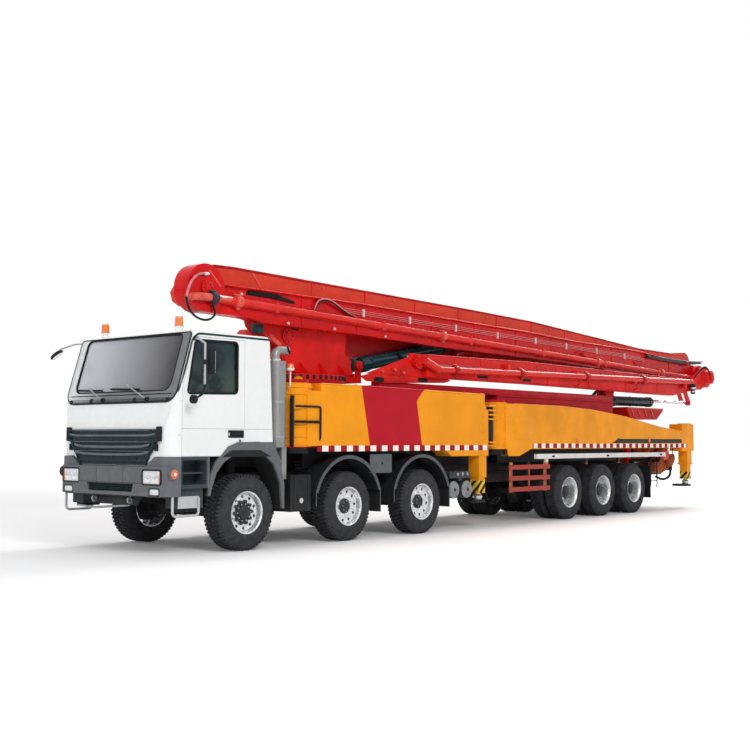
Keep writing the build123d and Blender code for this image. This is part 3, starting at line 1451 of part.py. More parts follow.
# Boom section 4: the lower outer beam, with the front plate that holds the last knee's pin.
SECTION_4 = [
    (-4400, 2640),
    (-4400, 2860),
    (-10000, 2865),
    (-14700, 2920),
    (-15600, 3370),
    (-15600, 2890),
    (-13780, 2620),
    (-7450, 2650),
]
SECTION_4_PLATE = [
    (-2550, 2660),
    (-2550, 2840),
    (-3900, 3040),
    (-4350, 3050),
    (-4720, 2860),
    (-4720, 2642),
    (-3500, 2640),
]
BOX_4 = COLUMN_4[0] + 150
PLATE_4 = COLUMN_4[0] + 40
TIP_PIN_RADIUS = 45
with BuildPart() as section_4:
    with BuildSketch(side(BOX_4)):
        with BuildLine():
            Polyline(*xz(SECTION_4), close=True)
        make_face()
    extrude(amount=BOX_4 - COLUMN_4[0])
    with BuildSketch(side(PLATE_4)):
        with BuildLine():
            Polyline(*xz(SECTION_4_PLATE), close=True)
        make_face()
    extrude(amount=PLATE_4 - COLUMN_4[0])
    with BuildSketch(side(COLUMN_4[1])):
        with Locations((at(REAR_ELBOW[0]), REAR_ELBOW[1])):
            Circle(ELBOW_RADIUS - 50)
    extrude(amount=COLUMN_4[1] - COLUMN_4[0])
    with BuildSketch(side(COLUMN_4[1] + 1)):
        with Locations((at(REAR_ELBOW[0]), REAR_ELBOW[1])):
            Circle(BOOM_PIN_RADIUS + SEAT)
    extrude(amount=COLUMN_4[1] - COLUMN_4[0] + 2, mode=Mode.SUBTRACT)
    with BuildSketch(side(BOX_4)):
        with Locations((at(TIP_KNEE[0]), TIP_KNEE[1])):
            Circle(TIP_PIN_RADIUS)
    extrude(amount=BOX_4 - COLUMN_4[0])
save(section_4.part, "boom_section_4")

# Boom section 5: the last section, on top of section 4, with its delivery pipe and outlet.
SECTION_5 = [
    (-4200, 2880),
    (-14560, 2925),
    (-14560, 3040),
    (-7450, 3085),
    (-4350, 3040),
    (-4200, 3015),
]
LUG_5 = PLATE_4 + GAP
PIPE_5 = [(-4620, 2785), (-14580, 2975)]
PIPE_5_Y = BOX_4 + 8 + 62
ELBOW_5 = (-4300, 2905)
PIPE_5_RADIUS = 60
OUTLET_X = -14720
OUTLET_LOW = 2690
OUTLET_RADIUS = 52
OUTLET_LENGTH = 90
with BuildPart() as section_5:
    with BuildSketch(side(BOX_4)):
        with BuildLine():
            Polyline(*xz(SECTION_5), close=True)
        make_face()
        with Locations((at(TIP_KNEE[0]), TIP_KNEE[1])):
            Circle(115)
            Circle(TIP_PIN_RADIUS + SEAT, mode=Mode.SUBTRACT)
    extrude(amount=BOX_4 - LUG_5)
    with BuildSketch(along(PIPE_5[0], PIPE_5[1], PIPE_5_Y, 0)):
        Circle(PIPE_5_RADIUS)
    extrude(amount=math.dist(*PIPE_5))
    with BuildLine() as outlet:
        FilletPolyline(
            (at(PIPE_5[1][0] + 40), PIPE_5_Y, PIPE_5[1][1]),
            (at(OUTLET_X), PIPE_5_Y, PIPE_5[1][1]),
            (at(OUTLET_X), PIPE_5_Y, OUTLET_LOW + OUTLET_LENGTH),
            radius=90,
        )
    with BuildSketch(Plane(origin=outlet.line @ 0, z_dir=outlet.line % 0)):
        Circle(PIPE_5_RADIUS + 4)
    sweep(path=outlet.line)
    with BuildSketch(level(OUTLET_LOW)):
        with Locations((at(OUTLET_X), PIPE_5_Y)):
            Circle(OUTLET_RADIUS)
    extrude(amount=OUTLET_LENGTH)
    with BuildSketch(along(ELBOW_5, PIPE_5[0], PIPE_5_Y, -60)):
        Circle(PIPE_5_RADIUS + 7)
    extrude(amount=math.dist(ELBOW_5, PIPE_5[0]) + 100)
    for ahead in (-4330, -6800, -9300, -11800, -14300):
        with BuildSketch(side(PIPE_5_Y + 25)):
            with Locations((at(ahead), 2955)):
                Rectangle(80, 60)
        extrude(amount=PIPE_5_Y + 25 - BOX_4 + 20)
        with BuildSketch(side(PIPE_5_Y + 25)):
            with Locations((at(ahead), 2905)):
                Rectangle(80, 170)
        extrude(amount=PIPE_5_Y + 25 - BOX_4 - 4)
save(section_5.part, "boom_section_5")

# Lift cylinders: one either side of section 1, from the turret's ears to eyes on the boom.
LIFT_REST = math.dist(LIFT_BASE, LIFT_EYE)
BARREL_END = LIFT_REST - 190
EYE_HALF_WIDTH = 60
with BuildPart() as lift_barrels:
    for hand in (1, -1):
        with BuildSketch(along(LIFT_BASE, LIFT_EYE, hand * LIFT_Y, 150)):
            Circle(LIFT_RADIUS)
        extrude(amount=BARREL_END - 150)
        with BuildSketch(along(LIFT_BASE, LIFT_EYE, hand * LIFT_Y, 0)):
            Rectangle(2 * EYE_HALF_WIDTH, 120)
        extrude(amount=170)
        with BuildSketch(side(hand * LIFT_Y + EYE_HALF_WIDTH)):
            with Locations((at(LIFT_BASE[0]), LIFT_BASE[1])):
                Circle(100)
        extrude(amount=2 * EYE_HALF_WIDTH)
        with BuildSketch(side(hand * LIFT_Y + EYE_HALF_WIDTH)):
            with Locations((at(LIFT_BASE[0]), LIFT_BASE[1])):
                Circle(48 + SEAT)
        extrude(amount=2 * EYE_HALF_WIDTH, mode=Mode.SUBTRACT)
        with BuildSketch(along(LIFT_BASE, LIFT_EYE, hand * LIFT_Y, 180)):
            Circle(LIFT_ROD_RADIUS + SEAT)
        extrude(amount=BARREL_END - 180 + 1, mode=Mode.SUBTRACT)
save(lift_barrels.part, "lift_barrels")

LIFT_EYE_IN = COLUMN_1[1] + 12
LIFT_EYE_OUT = COLUMN_2[1] + 6
with BuildPart() as lift_rods:
    for hand in (1, -1):
        with BuildSketch(along(LIFT_BASE, LIFT_EYE, hand * LIFT_Y, 200)):
            Circle(LIFT_ROD_RADIUS)
        extrude(amount=LIFT_REST - 260)
        with BuildSketch(side(hand * (LIFT_EYE_IN + LIFT_EYE_OUT) / 2 + (LIFT_EYE_OUT - LIFT_EYE_IN) / 2)):
            with Locations((at(LIFT_EYE[0]), LIFT_EYE[1])):
                Circle(105)
        extrude(amount=LIFT_EYE_OUT - LIFT_EYE_IN)
save(lift_rods.part, "lift_rods")

# Fold cylinder: its barrel fixed under section 1, the rod and the rocker at the tail.
FOLD_REST = math.dist(FOLD_BASE, FOLD_EYE)
FOLD_END = 2150
FOLD_ROD_RADIUS = 58
with BuildPart() as fold_barrel:
    with BuildSketch(along(FOLD_BASE, FOLD_EYE, FOLD_Y, 200)):
        Circle(FOLD_RADIUS)
    extrude(amount=FOLD_END - 200)
    with BuildSketch(along(FOLD_BASE, FOLD_EYE, FOLD_Y, -40)):
        Rectangle(2 * (72 - SEAT), 120)
    extrude(amount=250)
    with BuildSketch(along(FOLD_BASE, FOLD_EYE, FOLD_Y, 300)):
        Circle(FOLD_ROD_RADIUS + SEAT)
    extrude(amount=FOLD_END, mode=Mode.SUBTRACT)
save(fold_barrel.part, "fold_barrel")

with BuildPart() as fold_rod:
    with BuildSketch(along(FOLD_BASE, FOLD_EYE, FOLD_Y, 1400)):
        Circle(FOLD_ROD_RADIUS)
    extrude(amount=FOLD_REST - 1400)
    with BuildSketch(side(FOLD_Y + FOLD_ROD_RADIUS)):
        with Locations((at(FOLD_EYE[0]), FOLD_EYE[1])):
            Circle(85)
    extrude(amount=2 * FOLD_ROD_RADIUS)
save(fold_rod.part, "fold_rod")

ROCKER_GAP = FOLD_ROD_RADIUS + 10
ROCKER_PLATE = 36
with BuildPart() as fold_rocker:
    for low in (FOLD_Y - ROCKER_GAP - ROCKER_PLATE, FOLD_Y + ROCKER_GAP):
        with BuildSketch(side(low + ROCKER_PLATE)):
            with BuildLine():
                Polyline(
                    *xz(
                        [
                            (ROCKER_PIN[0] - 60, ROCKER_PIN[1] + 60),
                            (ROCKER_PIN[0] + 90, ROCKER_PIN[1] + 10),
                            (FOLD_EYE[0] + 70, FOLD_EYE[1] - 40),
                            (FOLD_EYE[0] - 60, FOLD_EYE[1] - 50),
                            (FOLD_EYE[0] - 80, FOLD_EYE[1] + 30),
                        ]
                    ),
                    close=True,
                )
            make_face()
            with Locations((at(ROCKER_PIN[0]), ROCKER_PIN[1])):
                Circle(ROCKER_PIN_RADIUS + SEAT, mode=Mode.SUBTRACT)
        extrude(amount=ROCKER_PLATE)
    with BuildSketch(side(FOLD_Y + ROCKER_GAP)):
        with Locations((at(ROCKER_PIN[0] - 190), ROCKER_PIN[1] - 150)):
            Rectangle(90, 60, rotation=-35)
    extrude(amount=2 * ROCKER_GAP)
save(fold_rocker.part, "fold_rocker")
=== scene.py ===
"""Concrete pump truck: paint, tyres, glass, pipes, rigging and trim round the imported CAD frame."""

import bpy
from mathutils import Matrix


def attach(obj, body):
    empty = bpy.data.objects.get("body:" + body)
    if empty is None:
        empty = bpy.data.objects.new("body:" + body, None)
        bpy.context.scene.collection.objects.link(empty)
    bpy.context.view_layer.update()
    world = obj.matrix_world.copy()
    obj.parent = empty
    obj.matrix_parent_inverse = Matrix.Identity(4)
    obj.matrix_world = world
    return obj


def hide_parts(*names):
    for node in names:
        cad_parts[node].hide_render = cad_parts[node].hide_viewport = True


bl_info = {
    "name": "Concrete pump truck",
    "version": (1, 0, 0),
    "blender": (4, 5, 0),
    "location": "View3D > Sidebar > Pump truck",
    "description": "Paints the truck's CAD nodes and adds its tyres, glass, pipes, rigging and trim",
    "category": "Object",
}

import math

import bpy
from bpy.props import FloatProperty, FloatVectorProperty, IntProperty, PointerProperty
from mathutils import Matrix, Vector

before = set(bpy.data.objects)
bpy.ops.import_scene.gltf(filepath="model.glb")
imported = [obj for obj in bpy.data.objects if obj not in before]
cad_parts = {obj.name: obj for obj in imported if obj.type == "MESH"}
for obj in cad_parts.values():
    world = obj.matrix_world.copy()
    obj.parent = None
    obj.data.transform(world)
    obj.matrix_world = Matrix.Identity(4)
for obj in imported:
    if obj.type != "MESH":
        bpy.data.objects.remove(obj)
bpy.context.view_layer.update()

# Stations along the truck are metres ahead of the first axle, as in the CAD source.
AXLE_1 = 7.25
TYRE_RADIUS = 0.536
SINGLE_WIDTH = 0.37
TWIN_WIDTH = 0.3
TWIN_PITCH = 0.34  # from a twin wheel's outer tyre to its inner one
WHEEL_OUT = 1.24
WHEEL_TURN = 0.37  # radians more on each axle, so that the wheels don't stand alike
AXLES = {1: 0.0, 2: -2.148, 3: -3.985, 4: -8.739, 5: -10.089, 6: -11.439}
STEERED = (1, 2, 3)
SIDES = {"left": 1, "right": -1}
ALONG, ACROSS, UP = Vector((1, 0, 0)), Vector((0, 1, 0)), Vector((0, 0, 1))
SAME_POINT = 1e-4
MERGE_GAP = 0.00005


def at(ahead, y, z):
    """Point that many metres ahead of the first axle."""
    return Vector((AXLE_1 + ahead, y, z))


def side(y, *spots):
    """Points at that Y, from (ahead, height) pairs."""
    return [at(ahead, y, z) for ahead, z in spots]


def face(ahead, *spots):
    """Points at that station, from (Y, height) pairs."""
    return [at(ahead, y, z) for y, z in spots]


def level(z, *spots):
    """Points at that height, from (ahead, Y) pairs."""
    return [at(ahead, y, z) for ahead, y in spots]


def oblong(first, second, low, high):
    """A rectangle's corners as pairs, for side, face or level."""
    return (first, low), (second, low), (second, high), (first, high)


# ---- modelling helpers -------------------------------------------------------------------


def clear():
    """Leave edit mode with nothing selected."""
    if bpy.context.object and bpy.context.object.mode != "OBJECT":
        bpy.ops.object.mode_set(mode="OBJECT")
    bpy.ops.object.select_all(action="DESELECT")


def pick(piece):
    """Make the piece the only selected object."""
    clear()
    piece.select_set(True)
    bpy.context.view_layer.objects.active = piece


def settle(piece):
    """Put the piece's place into its mesh, so that its object sits at the origin."""
    pick(piece)
    bpy.ops.object.transform_apply(location=True, rotation=True, scale=True)


def round_edges(piece, width, segments=2, angle=35):
    """Bevel the edges sharper than the angle."""
    pick(piece)
    bevel = piece.modifiers.new("rounding", "BEVEL")
    bevel.width = width
    bevel.segments = segments
    bevel.limit_method = "ANGLE"
    bevel.angle_limit = math.radians(angle)
    bpy.ops.object.modifier_apply(modifier=bevel.name)


def outwards(piece):
    """Merge doubles and turn every face outwards."""
    pick(piece)
    bpy.ops.object.mode_set(mode="EDIT")
    bpy.ops.mesh.select_all(action="SELECT")
    bpy.ops.mesh.remove_doubles(threshold=MERGE_GAP)
    bpy.ops.mesh.normals_make_consistent(inside=False)
    bpy.ops.object.mode_set(mode="OBJECT")


def chain(name, points):
    """New object in edit mode: one point drawn out along the given points, all selected."""
    clear()
    bpy.ops.mesh.primitive_plane_add(size=0.01, location=points[0])
    piece = bpy.context.object
    piece.name = name
    bpy.ops.object.transform_apply(location=True)
    bpy.ops.object.mode_set(mode="EDIT")
    bpy.ops.mesh.select_mode(type="VERT")
    bpy.ops.mesh.select_all(action="SELECT")
    bpy.ops.mesh.merge(type="CENTER")
    for here, there in zip(points, points[1:]):
        bpy.ops.mesh.extrude_region_move(TRANSFORM_OT_translate={"value": Vector(there) - Vector(here)})
    bpy.ops.mesh.select_all(action="SELECT")
    return piece


def outline(name, points, corners=0.0):
    """Filled outline in edit mode; corners is one rounding for all points, or one for each."""
    points = [Vector(p) for p in points]
    piece = chain(name, points)
    bpy.ops.mesh.edge_face_add()
    if isinstance(corners, (int, float)):
        if corners:
            bpy.ops.mesh.bevel(offset=corners, offset_type="OFFSET", segments=6, affect="VERTICES")
    else:
        for point, radius in zip(points, corners):
            if radius:
                bpy.ops.mesh.select_all(action="DESELECT")
                bpy.ops.object.mode_set(mode="OBJECT")
                for vertex in piece.data.vertices:
                    vertex.select = (vertex.co - point).length < SAME_POINT
                bpy.ops.object.mode_set(mode="EDIT")
                bpy.ops.mesh.bevel(offset=radius, offset_type="OFFSET", segments=7, affect="VERTICES")
    bpy.ops.mesh.select_all(action="SELECT")
    return piece


def push_out(piece, push, bevel, segments=2):
    """Give the selected faces the thickness of the push, and round the solid's edges."""
    bpy.ops.mesh.extrude_region_move(TRANSFORM_OT_translate={"value": Vector(push)})
    bpy.ops.mesh.select_all(action="SELECT")
    bpy.ops.mesh.normals_make_consistent(inside=False)
    bpy.ops.object.mode_set(mode="OBJECT")
    if bevel:
        round_edges(piece, bevel, segments)
    return piece


def plate(name, points, push, bevel=0.0, segments=2, corners=0.0):
    """Outline drawn point by point, filled, and pushed out into a solid plate."""
    return push_out(outline(name, points, corners), push, bevel, segments)


def frame_of(name, points, width, push, corners=0.0, bevel=0.0):
    """Frame of that width just inside the outline."""
    piece = outline(name, points, corners)
    bpy.ops.mesh.inset(thickness=width, use_even_offset=True)
    bpy.ops.mesh.delete(type="FACE")
    bpy.ops.mesh.select_all(action="SELECT")
    return push_out(piece, push, bevel, 1)


def ribbon(name, line, thick, push, bevel=0.0):
    """Strip along a line of points, as thick as one vector and pushed out by the other."""
    line = [Vector(p) for p in line]
    return plate(name, line + [p + Vector(thick) for p in reversed(line)], push, bevel, 1)


def turned(name, profile, centre, axis, steps=48):
    """Profile of (along, radius) pairs spun once round the axis through the centre, its open ends closed."""
    first, last = profile[0], profile[-1]
    if first != last and first[1] and last[1]:
        profile = [*profile, first]
    elif first != last:
        start = [(first[0], 0.0)] if first[1] else []
        end = [(last[0], 0.0)] if last[1] else []
        profile = [*start, *profile, *end]
    axis = Vector(axis).normalized()
    across = axis.orthogonal().normalized()
    centre = Vector(centre)
    piece = chain(name, [centre + axis * run + across * radius for run, radius in profile])
    bpy.ops.mesh.spin(steps=steps, angle=2 * math.pi, center=centre, axis=axis)
    bpy.ops.object.mode_set(mode="OBJECT")
    outwards(piece)
    return piece


def hoop(start, end, inner, outer):
    """Profile of a plain ring, for turned."""
    return [(start, inner), (start, outer), (end, outer), (end, inner)]


def block(name, low, high, bevel=0.006, segments=2):
    """Box between two corners with its edges rounded."""
    clear()
    low, high = Vector(low), Vector(high)
    bpy.ops.mesh.primitive_cube_add(size=1, location=(low + high) / 2)
    piece = bpy.context.object
    piece.name = name
    piece.scale = [abs(v) for v in high - low]
    settle(piece)
    round_edges(piece, bevel, segments)
    return piece


def bar(name, points, radius, bend=0.0, sides=10):
    """Round bar through the points, its corners rounded by the bend."""
    piece = chain(name, points)
    if bend:
        bpy.ops.mesh.select_all(action="DESELECT")
        bpy.ops.object.mode_set(mode="OBJECT")
        for vertex in piece.data.vertices:
            vertex.select = any((vertex.co - Vector(p)).length < SAME_POINT for p in points[1:-1])
        bpy.ops.object.mode_set(mode="EDIT")
        bpy.ops.mesh.bevel(offset=bend, offset_type="OFFSET", segments=5, affect="VERTICES")
    bpy.ops.object.mode_set(mode="OBJECT")
    pick(piece)
    bpy.ops.object.convert(target="CURVE")
    curve = bpy.context.object
    curve.data.bevel_depth = radius
    curve.data.bevel_resolution = max(1, sides // 4)
    curve.data.use_fill_caps = True
    bpy.ops.object.convert(target="MESH")
    piece = bpy.context.object
    piece.name = name
    outwards(piece)
    return piece


def hose(name, points, radius, sides=8):
    """Hose along one smooth line that the points pull into shape."""
    clear()
    line = bpy.data.curves.new(name, "CURVE")
    line.dimensions = "3D"
    run = line.splines.new("NURBS")
    run.points.add(len(points) - 1)
    for spot, point in zip(run.points, points):
        spot.co = (*point, 1)
    run.order_u = 3
    run.use_endpoint_u = True
    run.resolution_u = 6
    line.bevel_depth = radius
    line.bevel_resolution = max(1, sides // 4)
    line.use_fill_caps = True
    piece = bpy.data.objects.new(name, line)
    bpy.context.scene.collection.objects.link(piece)
    pick(piece)
    bpy.ops.object.convert(target="MESH")
    piece = bpy.context.object
    outwards(piece)
    return piece


def clone(source, name, *moves):
    """Copy of the piece with its own mesh, put through each move in turn."""
    twin = bpy.data.objects.new(name, source.data.copy())
    for move in moves:
        twin.data.transform(move)
    bpy.context.scene.collection.objects.link(twin)
    return twin


def copies(piece, moves):
    """The piece repeated at each move, all joined; the first one is used up."""
    name = piece.name
    made = [clone(piece, name, move) for move in moves]
    bpy.data.objects.remove(piece)
    return join(name, made)


def join(name, made):
    """Join the pieces into one object of that name."""
    clear()
    for piece in made:
        piece.select_set(True)
    bpy.context.view_layer.objects.active = made[0]
    if len(made) > 1:
        bpy.ops.object.join()
    piece = bpy.context.object
    piece.name = name
    piece.data.name = name
    return piece


def shift(x=0.0, y=0.0, z=0.0):
    """Move by those metres."""
    return Matrix.Translation((x, y, z))


def paint(piece, coat):
    """Give the whole piece the coat of that name."""
    piece.data.materials.clear()
    piece.data.materials.append(COATS[coat])
    return piece


def coated(coat, *pieces):
    """The pieces in that coat, as a list."""
    return [paint(piece, coat) for piece in pieces]


def paired(coat, *pieces):
    """The pieces in that coat, each joined with its mirror image."""
    return [paint(both_sides(piece), coat) for piece in pieces]


def fit(piece, body, angle=35):
    """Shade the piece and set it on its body."""
    pick(piece)
    bpy.ops.object.shade_smooth_by_angle(angle=math.radians(angle))
    settle(piece)
    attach(piece, body)
    return piece


def bolt(name, centre, axis, radius=0.014, height=0.012):
    """Six-sided bolt head."""
    centre, axis = Vector(centre), Vector(axis).normalized()
    clear()
    bpy.ops.mesh.primitive_cylinder_add(vertices=6, radius=radius, depth=height, location=centre + axis * height / 2,
        rotation=axis.to_track_quat("Z", "Y").to_euler())
    head = bpy.context.object
    head.name = name
    settle(head)
    round_edges(head, radius * 0.16, 1)
    return head


def less(piece, cutter):
    """Take the cutter away from the piece."""
    pick(piece)
    cut = piece.modifiers.new("cut", "BOOLEAN")
    cut.operation = "DIFFERENCE"
    cut.solver = "EXACT"
    cut.object = cutter
    bpy.ops.object.modifier_apply(modifier=cut.name)
    bpy.data.objects.remove(cutter)
    return piece


def around(count, centre, axis, start=0.0):
    """Even turns round an axis through the centre."""
    centre = Vector(centre)
    return [shift(*centre) @ Matrix.Rotation(start + 2 * math.pi * step / count, 4, Vector(axis)) @ shift(*-centre)
        for step in range(count)]


def pin_cap(name, centre, axis, radius, depth=0.03, bolts=6, coat="boom_red"):
    """Stepped cap on a pin's end with a ring of bolts."""
    centre, axis = Vector(centre), Vector(axis).normalized()
    step = depth * 0.7
    profile = [(-0.004, 0.0), (-0.004, radius), (depth * 0.6, radius), (step, radius * 0.93), (step, radius * 0.5),
        (depth, radius * 0.46), (depth, 0.0)]
    disc = paint(turned(name, profile, centre, axis, 32), coat)
    rim = centre + axis.orthogonal().normalized() * radius * 0.72 + axis * depth * 0.7
    head = bolt("cap_bolt", rim, axis, radius * 0.11, radius * 0.1)
    return join(name, [disc, paint(copies(head, around(bolts, centre, axis)), "hub_dark")])


def coupling(name, centre, axis, radius):
    """Two-lipped clamp round a delivery pipe, with its lever."""
    centre, axis = Vector(centre), Vector(axis).normalized()
    lip = [(0.062, radius - 0.01), (0.062, radius + 0.016), (0.04, radius + 0.018), (0.034, radius + 0.03)]
    band = turned(name, [(-run, out) for run, out in lip] + lip[::-1], centre, axis, 24)
    lever_low, lever_high = Vector((-0.03, 0, radius + 0.02)), Vector((0.09, 0.022, radius + 0.045))
    lever = block("lever", centre + lever_low, centre + lever_high, 0.006, 1)
    lug_low, lug_high = Vector((-0.028, 0, -radius - 0.055)), Vector((0.028, 0.03, -radius - 0.01))
    lug = block("clamp_lug", centre + lug_low, centre + lug_high, 0.006, 1)
    return join(name, [band, lever, lug])


def twin_of(piece, name):
    """The piece's mirror image on the truck's other side, an object of its own."""
    twin = clone(piece, name, Matrix.Scale(-1, 4, ACROSS))
    twin.data.flip_normals()
    return twin


def both_sides(piece):
    """The piece and its twin mirrored to the truck's other side, joined."""
    return join(piece.name, [piece, twin_of(piece, "twin")])


def fit_sides(piece, body, angle=35):
    """Fit the left piece to its body, and its mirror image to the right one."""
    twin = twin_of(piece, piece.name.replace("left", "right"))
    fit(piece, body, angle)
    fit(twin, body.replace("left", "right"), angle)


# ---- coats -------------------------------------------------------------------------------

DUST = (0.3, 0.27, 0.23)
PEEL_STRENGTH = 0.4


def shader(name):
    """New material; returns it with its node tree, principled shader and object coordinates."""
    coat = bpy.data.materials.new(name)
    coat.use_nodes = True
    tree = coat.node_tree
    surface = tree.nodes["Principled BSDF"]
    place = tree.nodes.new("ShaderNodeTexCoord").outputs["Object"]
    return coat, tree, surface, place


def give(node, values):
    """Set the node's inputs by name."""
    for name, value in values.items():
        node.inputs[name].default_value = value


def feed(tree, socket, value):
    """Link a socket to the input, or set it to a number or colour."""
    if isinstance(value, bpy.types.NodeSocket):
        tree.links.new(value, socket)
    else:
        socket.default_value = (*value[:3], 1) if isinstance(value, tuple) else value


def noise(tree, place, scale, detail=4.0, rough=0.55, stretch=None):
    """Cloudy value between 0 and 1."""
    if stretch:
        turn = tree.nodes.new("ShaderNodeMapping")
        give(turn, {"Scale": stretch})
        tree.links.new(place, turn.inputs["Vector"])
        place = turn.outputs["Vector"]
    cloud = tree.nodes.new("ShaderNodeTexNoise")
    give(cloud, {"Scale": scale, "Detail": detail, "Roughness": rough})
    tree.links.new(place, cloud.inputs["Vector"])
    return cloud.outputs["Fac"]


def spread(tree, value, low, high, to_low, to_high):
    """Map a value from one range to another, held at the ends."""
    node = tree.nodes.new("ShaderNodeMapRange")
    give(node, {"From Min": low, "From Max": high, "To Min": to_low, "To Max": to_high})
    tree.links.new(value, node.inputs["Value"])
    return node.outputs["Result"]


def figure(tree, operation, first, second=None):
    """Math node on sockets or plain numbers."""
    node = tree.nodes.new("ShaderNodeMath")
    node.operation = operation
    for socket, value in zip(node.inputs, (first, second)):
        if value is not None:
            feed(tree, socket, value)
    return node.outputs["Value"]


def times(tree, first, second):
    """Product of two values."""
    return figure(tree, "MULTIPLY", first, second)


def blend(tree, share, under, over):
    """Mix two colours, given as sockets or plain colours."""
    node = tree.nodes.new("ShaderNodeMix")
    node.data_type = "RGBA"
    for index, value in ((0, share), (6, under), (7, over)):
        feed(tree, node.inputs[index], value)
    return node.outputs[2]


def split(tree, place):
    """The place's X, Y and Z."""
    node = tree.nodes.new("ShaderNodeSeparateXYZ")
    tree.links.new(place, node.inputs["Vector"])
    return node.outputs


def scaled(colour, amount):
    """The colour made lighter or darker."""
    return tuple(min(1.0, channel * amount) for channel in colour[:3])


def emboss(tree, surface, height, strength, distance):
    """Raise the surface by a height value."""
    bump = tree.nodes.new("ShaderNodeBump")
    give(bump, {"Strength": strength, "Distance": distance})
    tree.links.new(height, bump.inputs["Height"])
    tree.links.new(bump.outputs["Normal"], surface.inputs["Normal"])


def coat_of(name, colour, rough=0.35, metal=0.0, gloss=0.0, shade=0.1, grain=6.0, dust=0.0, peel=0.0006,
        peel_scale=180.0, pattern=None):
    """Paint, plastic or metal: cloudy colour, uneven gloss, fine surface bump and road dust low down."""
    coat, tree, surface, place = shader(name)
    light, dark = scaled(colour, 1 + 0.5 * shade), scaled(colour, 1 - shade)
    if pattern:
        light = pattern(tree, place)
        dark = blend(tree, shade, light, (0, 0, 0))
    cloud = spread(tree, noise(tree, place, grain, 5.0), 0.35, 0.65, 0.0, 1.0)
    tone = blend(tree, cloud, dark, light)
    if dust:
        low = spread(tree, split(tree, place)["Z"], 0.35, 1.5, 1.0, 0.0)
        streak = spread(tree, noise(tree, place, 3.0, 6.0, 0.7, (1.0, 1.0, 0.35)), 0.4, 0.7, 0.0, 1.0)
        tone = blend(tree, times(tree, times(tree, low, streak), dust), tone, DUST)
    tree.links.new(tone, surface.inputs["Base Color"])
    wear = noise(tree, place, 14.0, 5.0)
    tree.links.new(spread(tree, wear, 0.3, 0.7, max(0.02, rough - 0.07), rough + 0.07), surface.inputs["Roughness"])
    give(surface, {"Metallic": metal, "Coat Weight": gloss, "Coat Roughness": 0.08,
        "Coat IOR": 2.0 if gloss >= 0.8 else 1.5, "Specular IOR Level": 0.5 if metal > 0.5 else 0.1})
    if peel:
        emboss(tree, surface, noise(tree, place, peel_scale, 3.0), PEEL_STRENGTH, peel)
    return coat


def tape_pattern(tree, place):
    """White and red blocks along the truck, 140 mm each."""
    run = figure(tree, "FRACT", times(tree, split(tree, place)["X"], 1 / 0.28))
    return blend(tree, figure(tree, "GREATER_THAN", run, 0.5), (0.9, 0.87, 0.8), (0.32, 0.008, 0.012))


def hazard_pattern(tree, place):
    """Black slanted bands on yellow, low on each jack leg."""
    spot = split(tree, place)
    slant = figure(tree, "ADD", figure(tree, "SUBTRACT", spot["X"], figure(tree, "ABSOLUTE", spot["Y"])), spot["Z"])
    band = figure(tree, "GREATER_THAN", figure(tree, "FRACT", times(tree, slant, 1 / 0.17)), 0.5)
    return blend(tree, band, (0.9, 0.56, 0.02), (0.02, 0.02, 0.02))


def front_arm_pattern(orange, crimson):
    """Orange box with a slanted crimson panel across it."""

    def pattern(tree, place):
        spot = split(tree, place)
        back = figure(tree, "ADD", spot["X"], times(tree, spot["Z"], -0.22))
        front = figure(tree, "LESS_THAN", back, AXLE_1 - 2.41 - 0.22 * 2.42)
        rear_line = figure(tree, "ADD", spot["X"], times(tree, spot["Z"], -0.195))
        rear = figure(tree, "GREATER_THAN", rear_line, AXLE_1 - 3.8 - 0.195 * 2.28)
        chamfer = figure(tree, "GREATER_THAN", figure(tree, "ADD", spot["X"], spot["Z"]), AXLE_1 - 4.02 + 2.42)
        high = figure(tree, "GREATER_THAN", spot["Z"], 2.2)
        rear = figure(tree, "MAXIMUM", rear, times(tree, chamfer, high))
        return blend(tree, times(tree, front, rear), orange, crimson)

    return pattern


def cowl_highlight_pattern(tree, place):
    """Grey plastic with a painted highlight that lightens it towards the right-hand pillar."""
    return blend(tree, spread(tree, split(tree, place)["Y"], -1.15, -0.3, 1.0, 0.0), (0.19, 0.2, 0.21),
        (0.74, 0.75, 0.76))


def mesh_pattern(light, dark):
    """Small round holes in rows on the exhaust's shield."""

    def pattern(tree, place):
        cells = tree.nodes.new("ShaderNodeTexVoronoi")
        give(cells, {"Scale": 38.0, "Randomness": 0.0})
        tree.links.new(place, cells.inputs["Vector"])
        return blend(tree, figure(tree, "LESS_THAN", cells.outputs["Distance"], 0.28), light, dark)

    return pattern


def zone(tree, place, ahead=None, out=None, high=None):
    """1 inside the given ranges of station, distance from the middle and height, and 0 elsewhere."""
    spot = split(tree, place)
    share = 1.0
    station, wide = figure(tree, "SUBTRACT", spot["X"], AXLE_1), figure(tree, "ABSOLUTE", spot["Y"])
    for value, limits in ((station, ahead), (wide, out), (spot["Z"], high)):
        if limits:
            above = figure(tree, "GREATER_THAN", value, limits[0])
            below = figure(tree, "LESS_THAN", value, limits[1])
            share = times(tree, share, times(tree, above, below))
    return share


def zoned(base, *layers):
    """Base colour with others laid over it, each (colour or pattern, its zone)."""

    def pattern(tree, place):
        tone = base
        for colour, limits in layers:
            over = colour(tree, place) if callable(colour) else colour
            tone = blend(tree, zone(tree, place, **limits), tone, over)
        return tone

    return pattern


COATS = {}


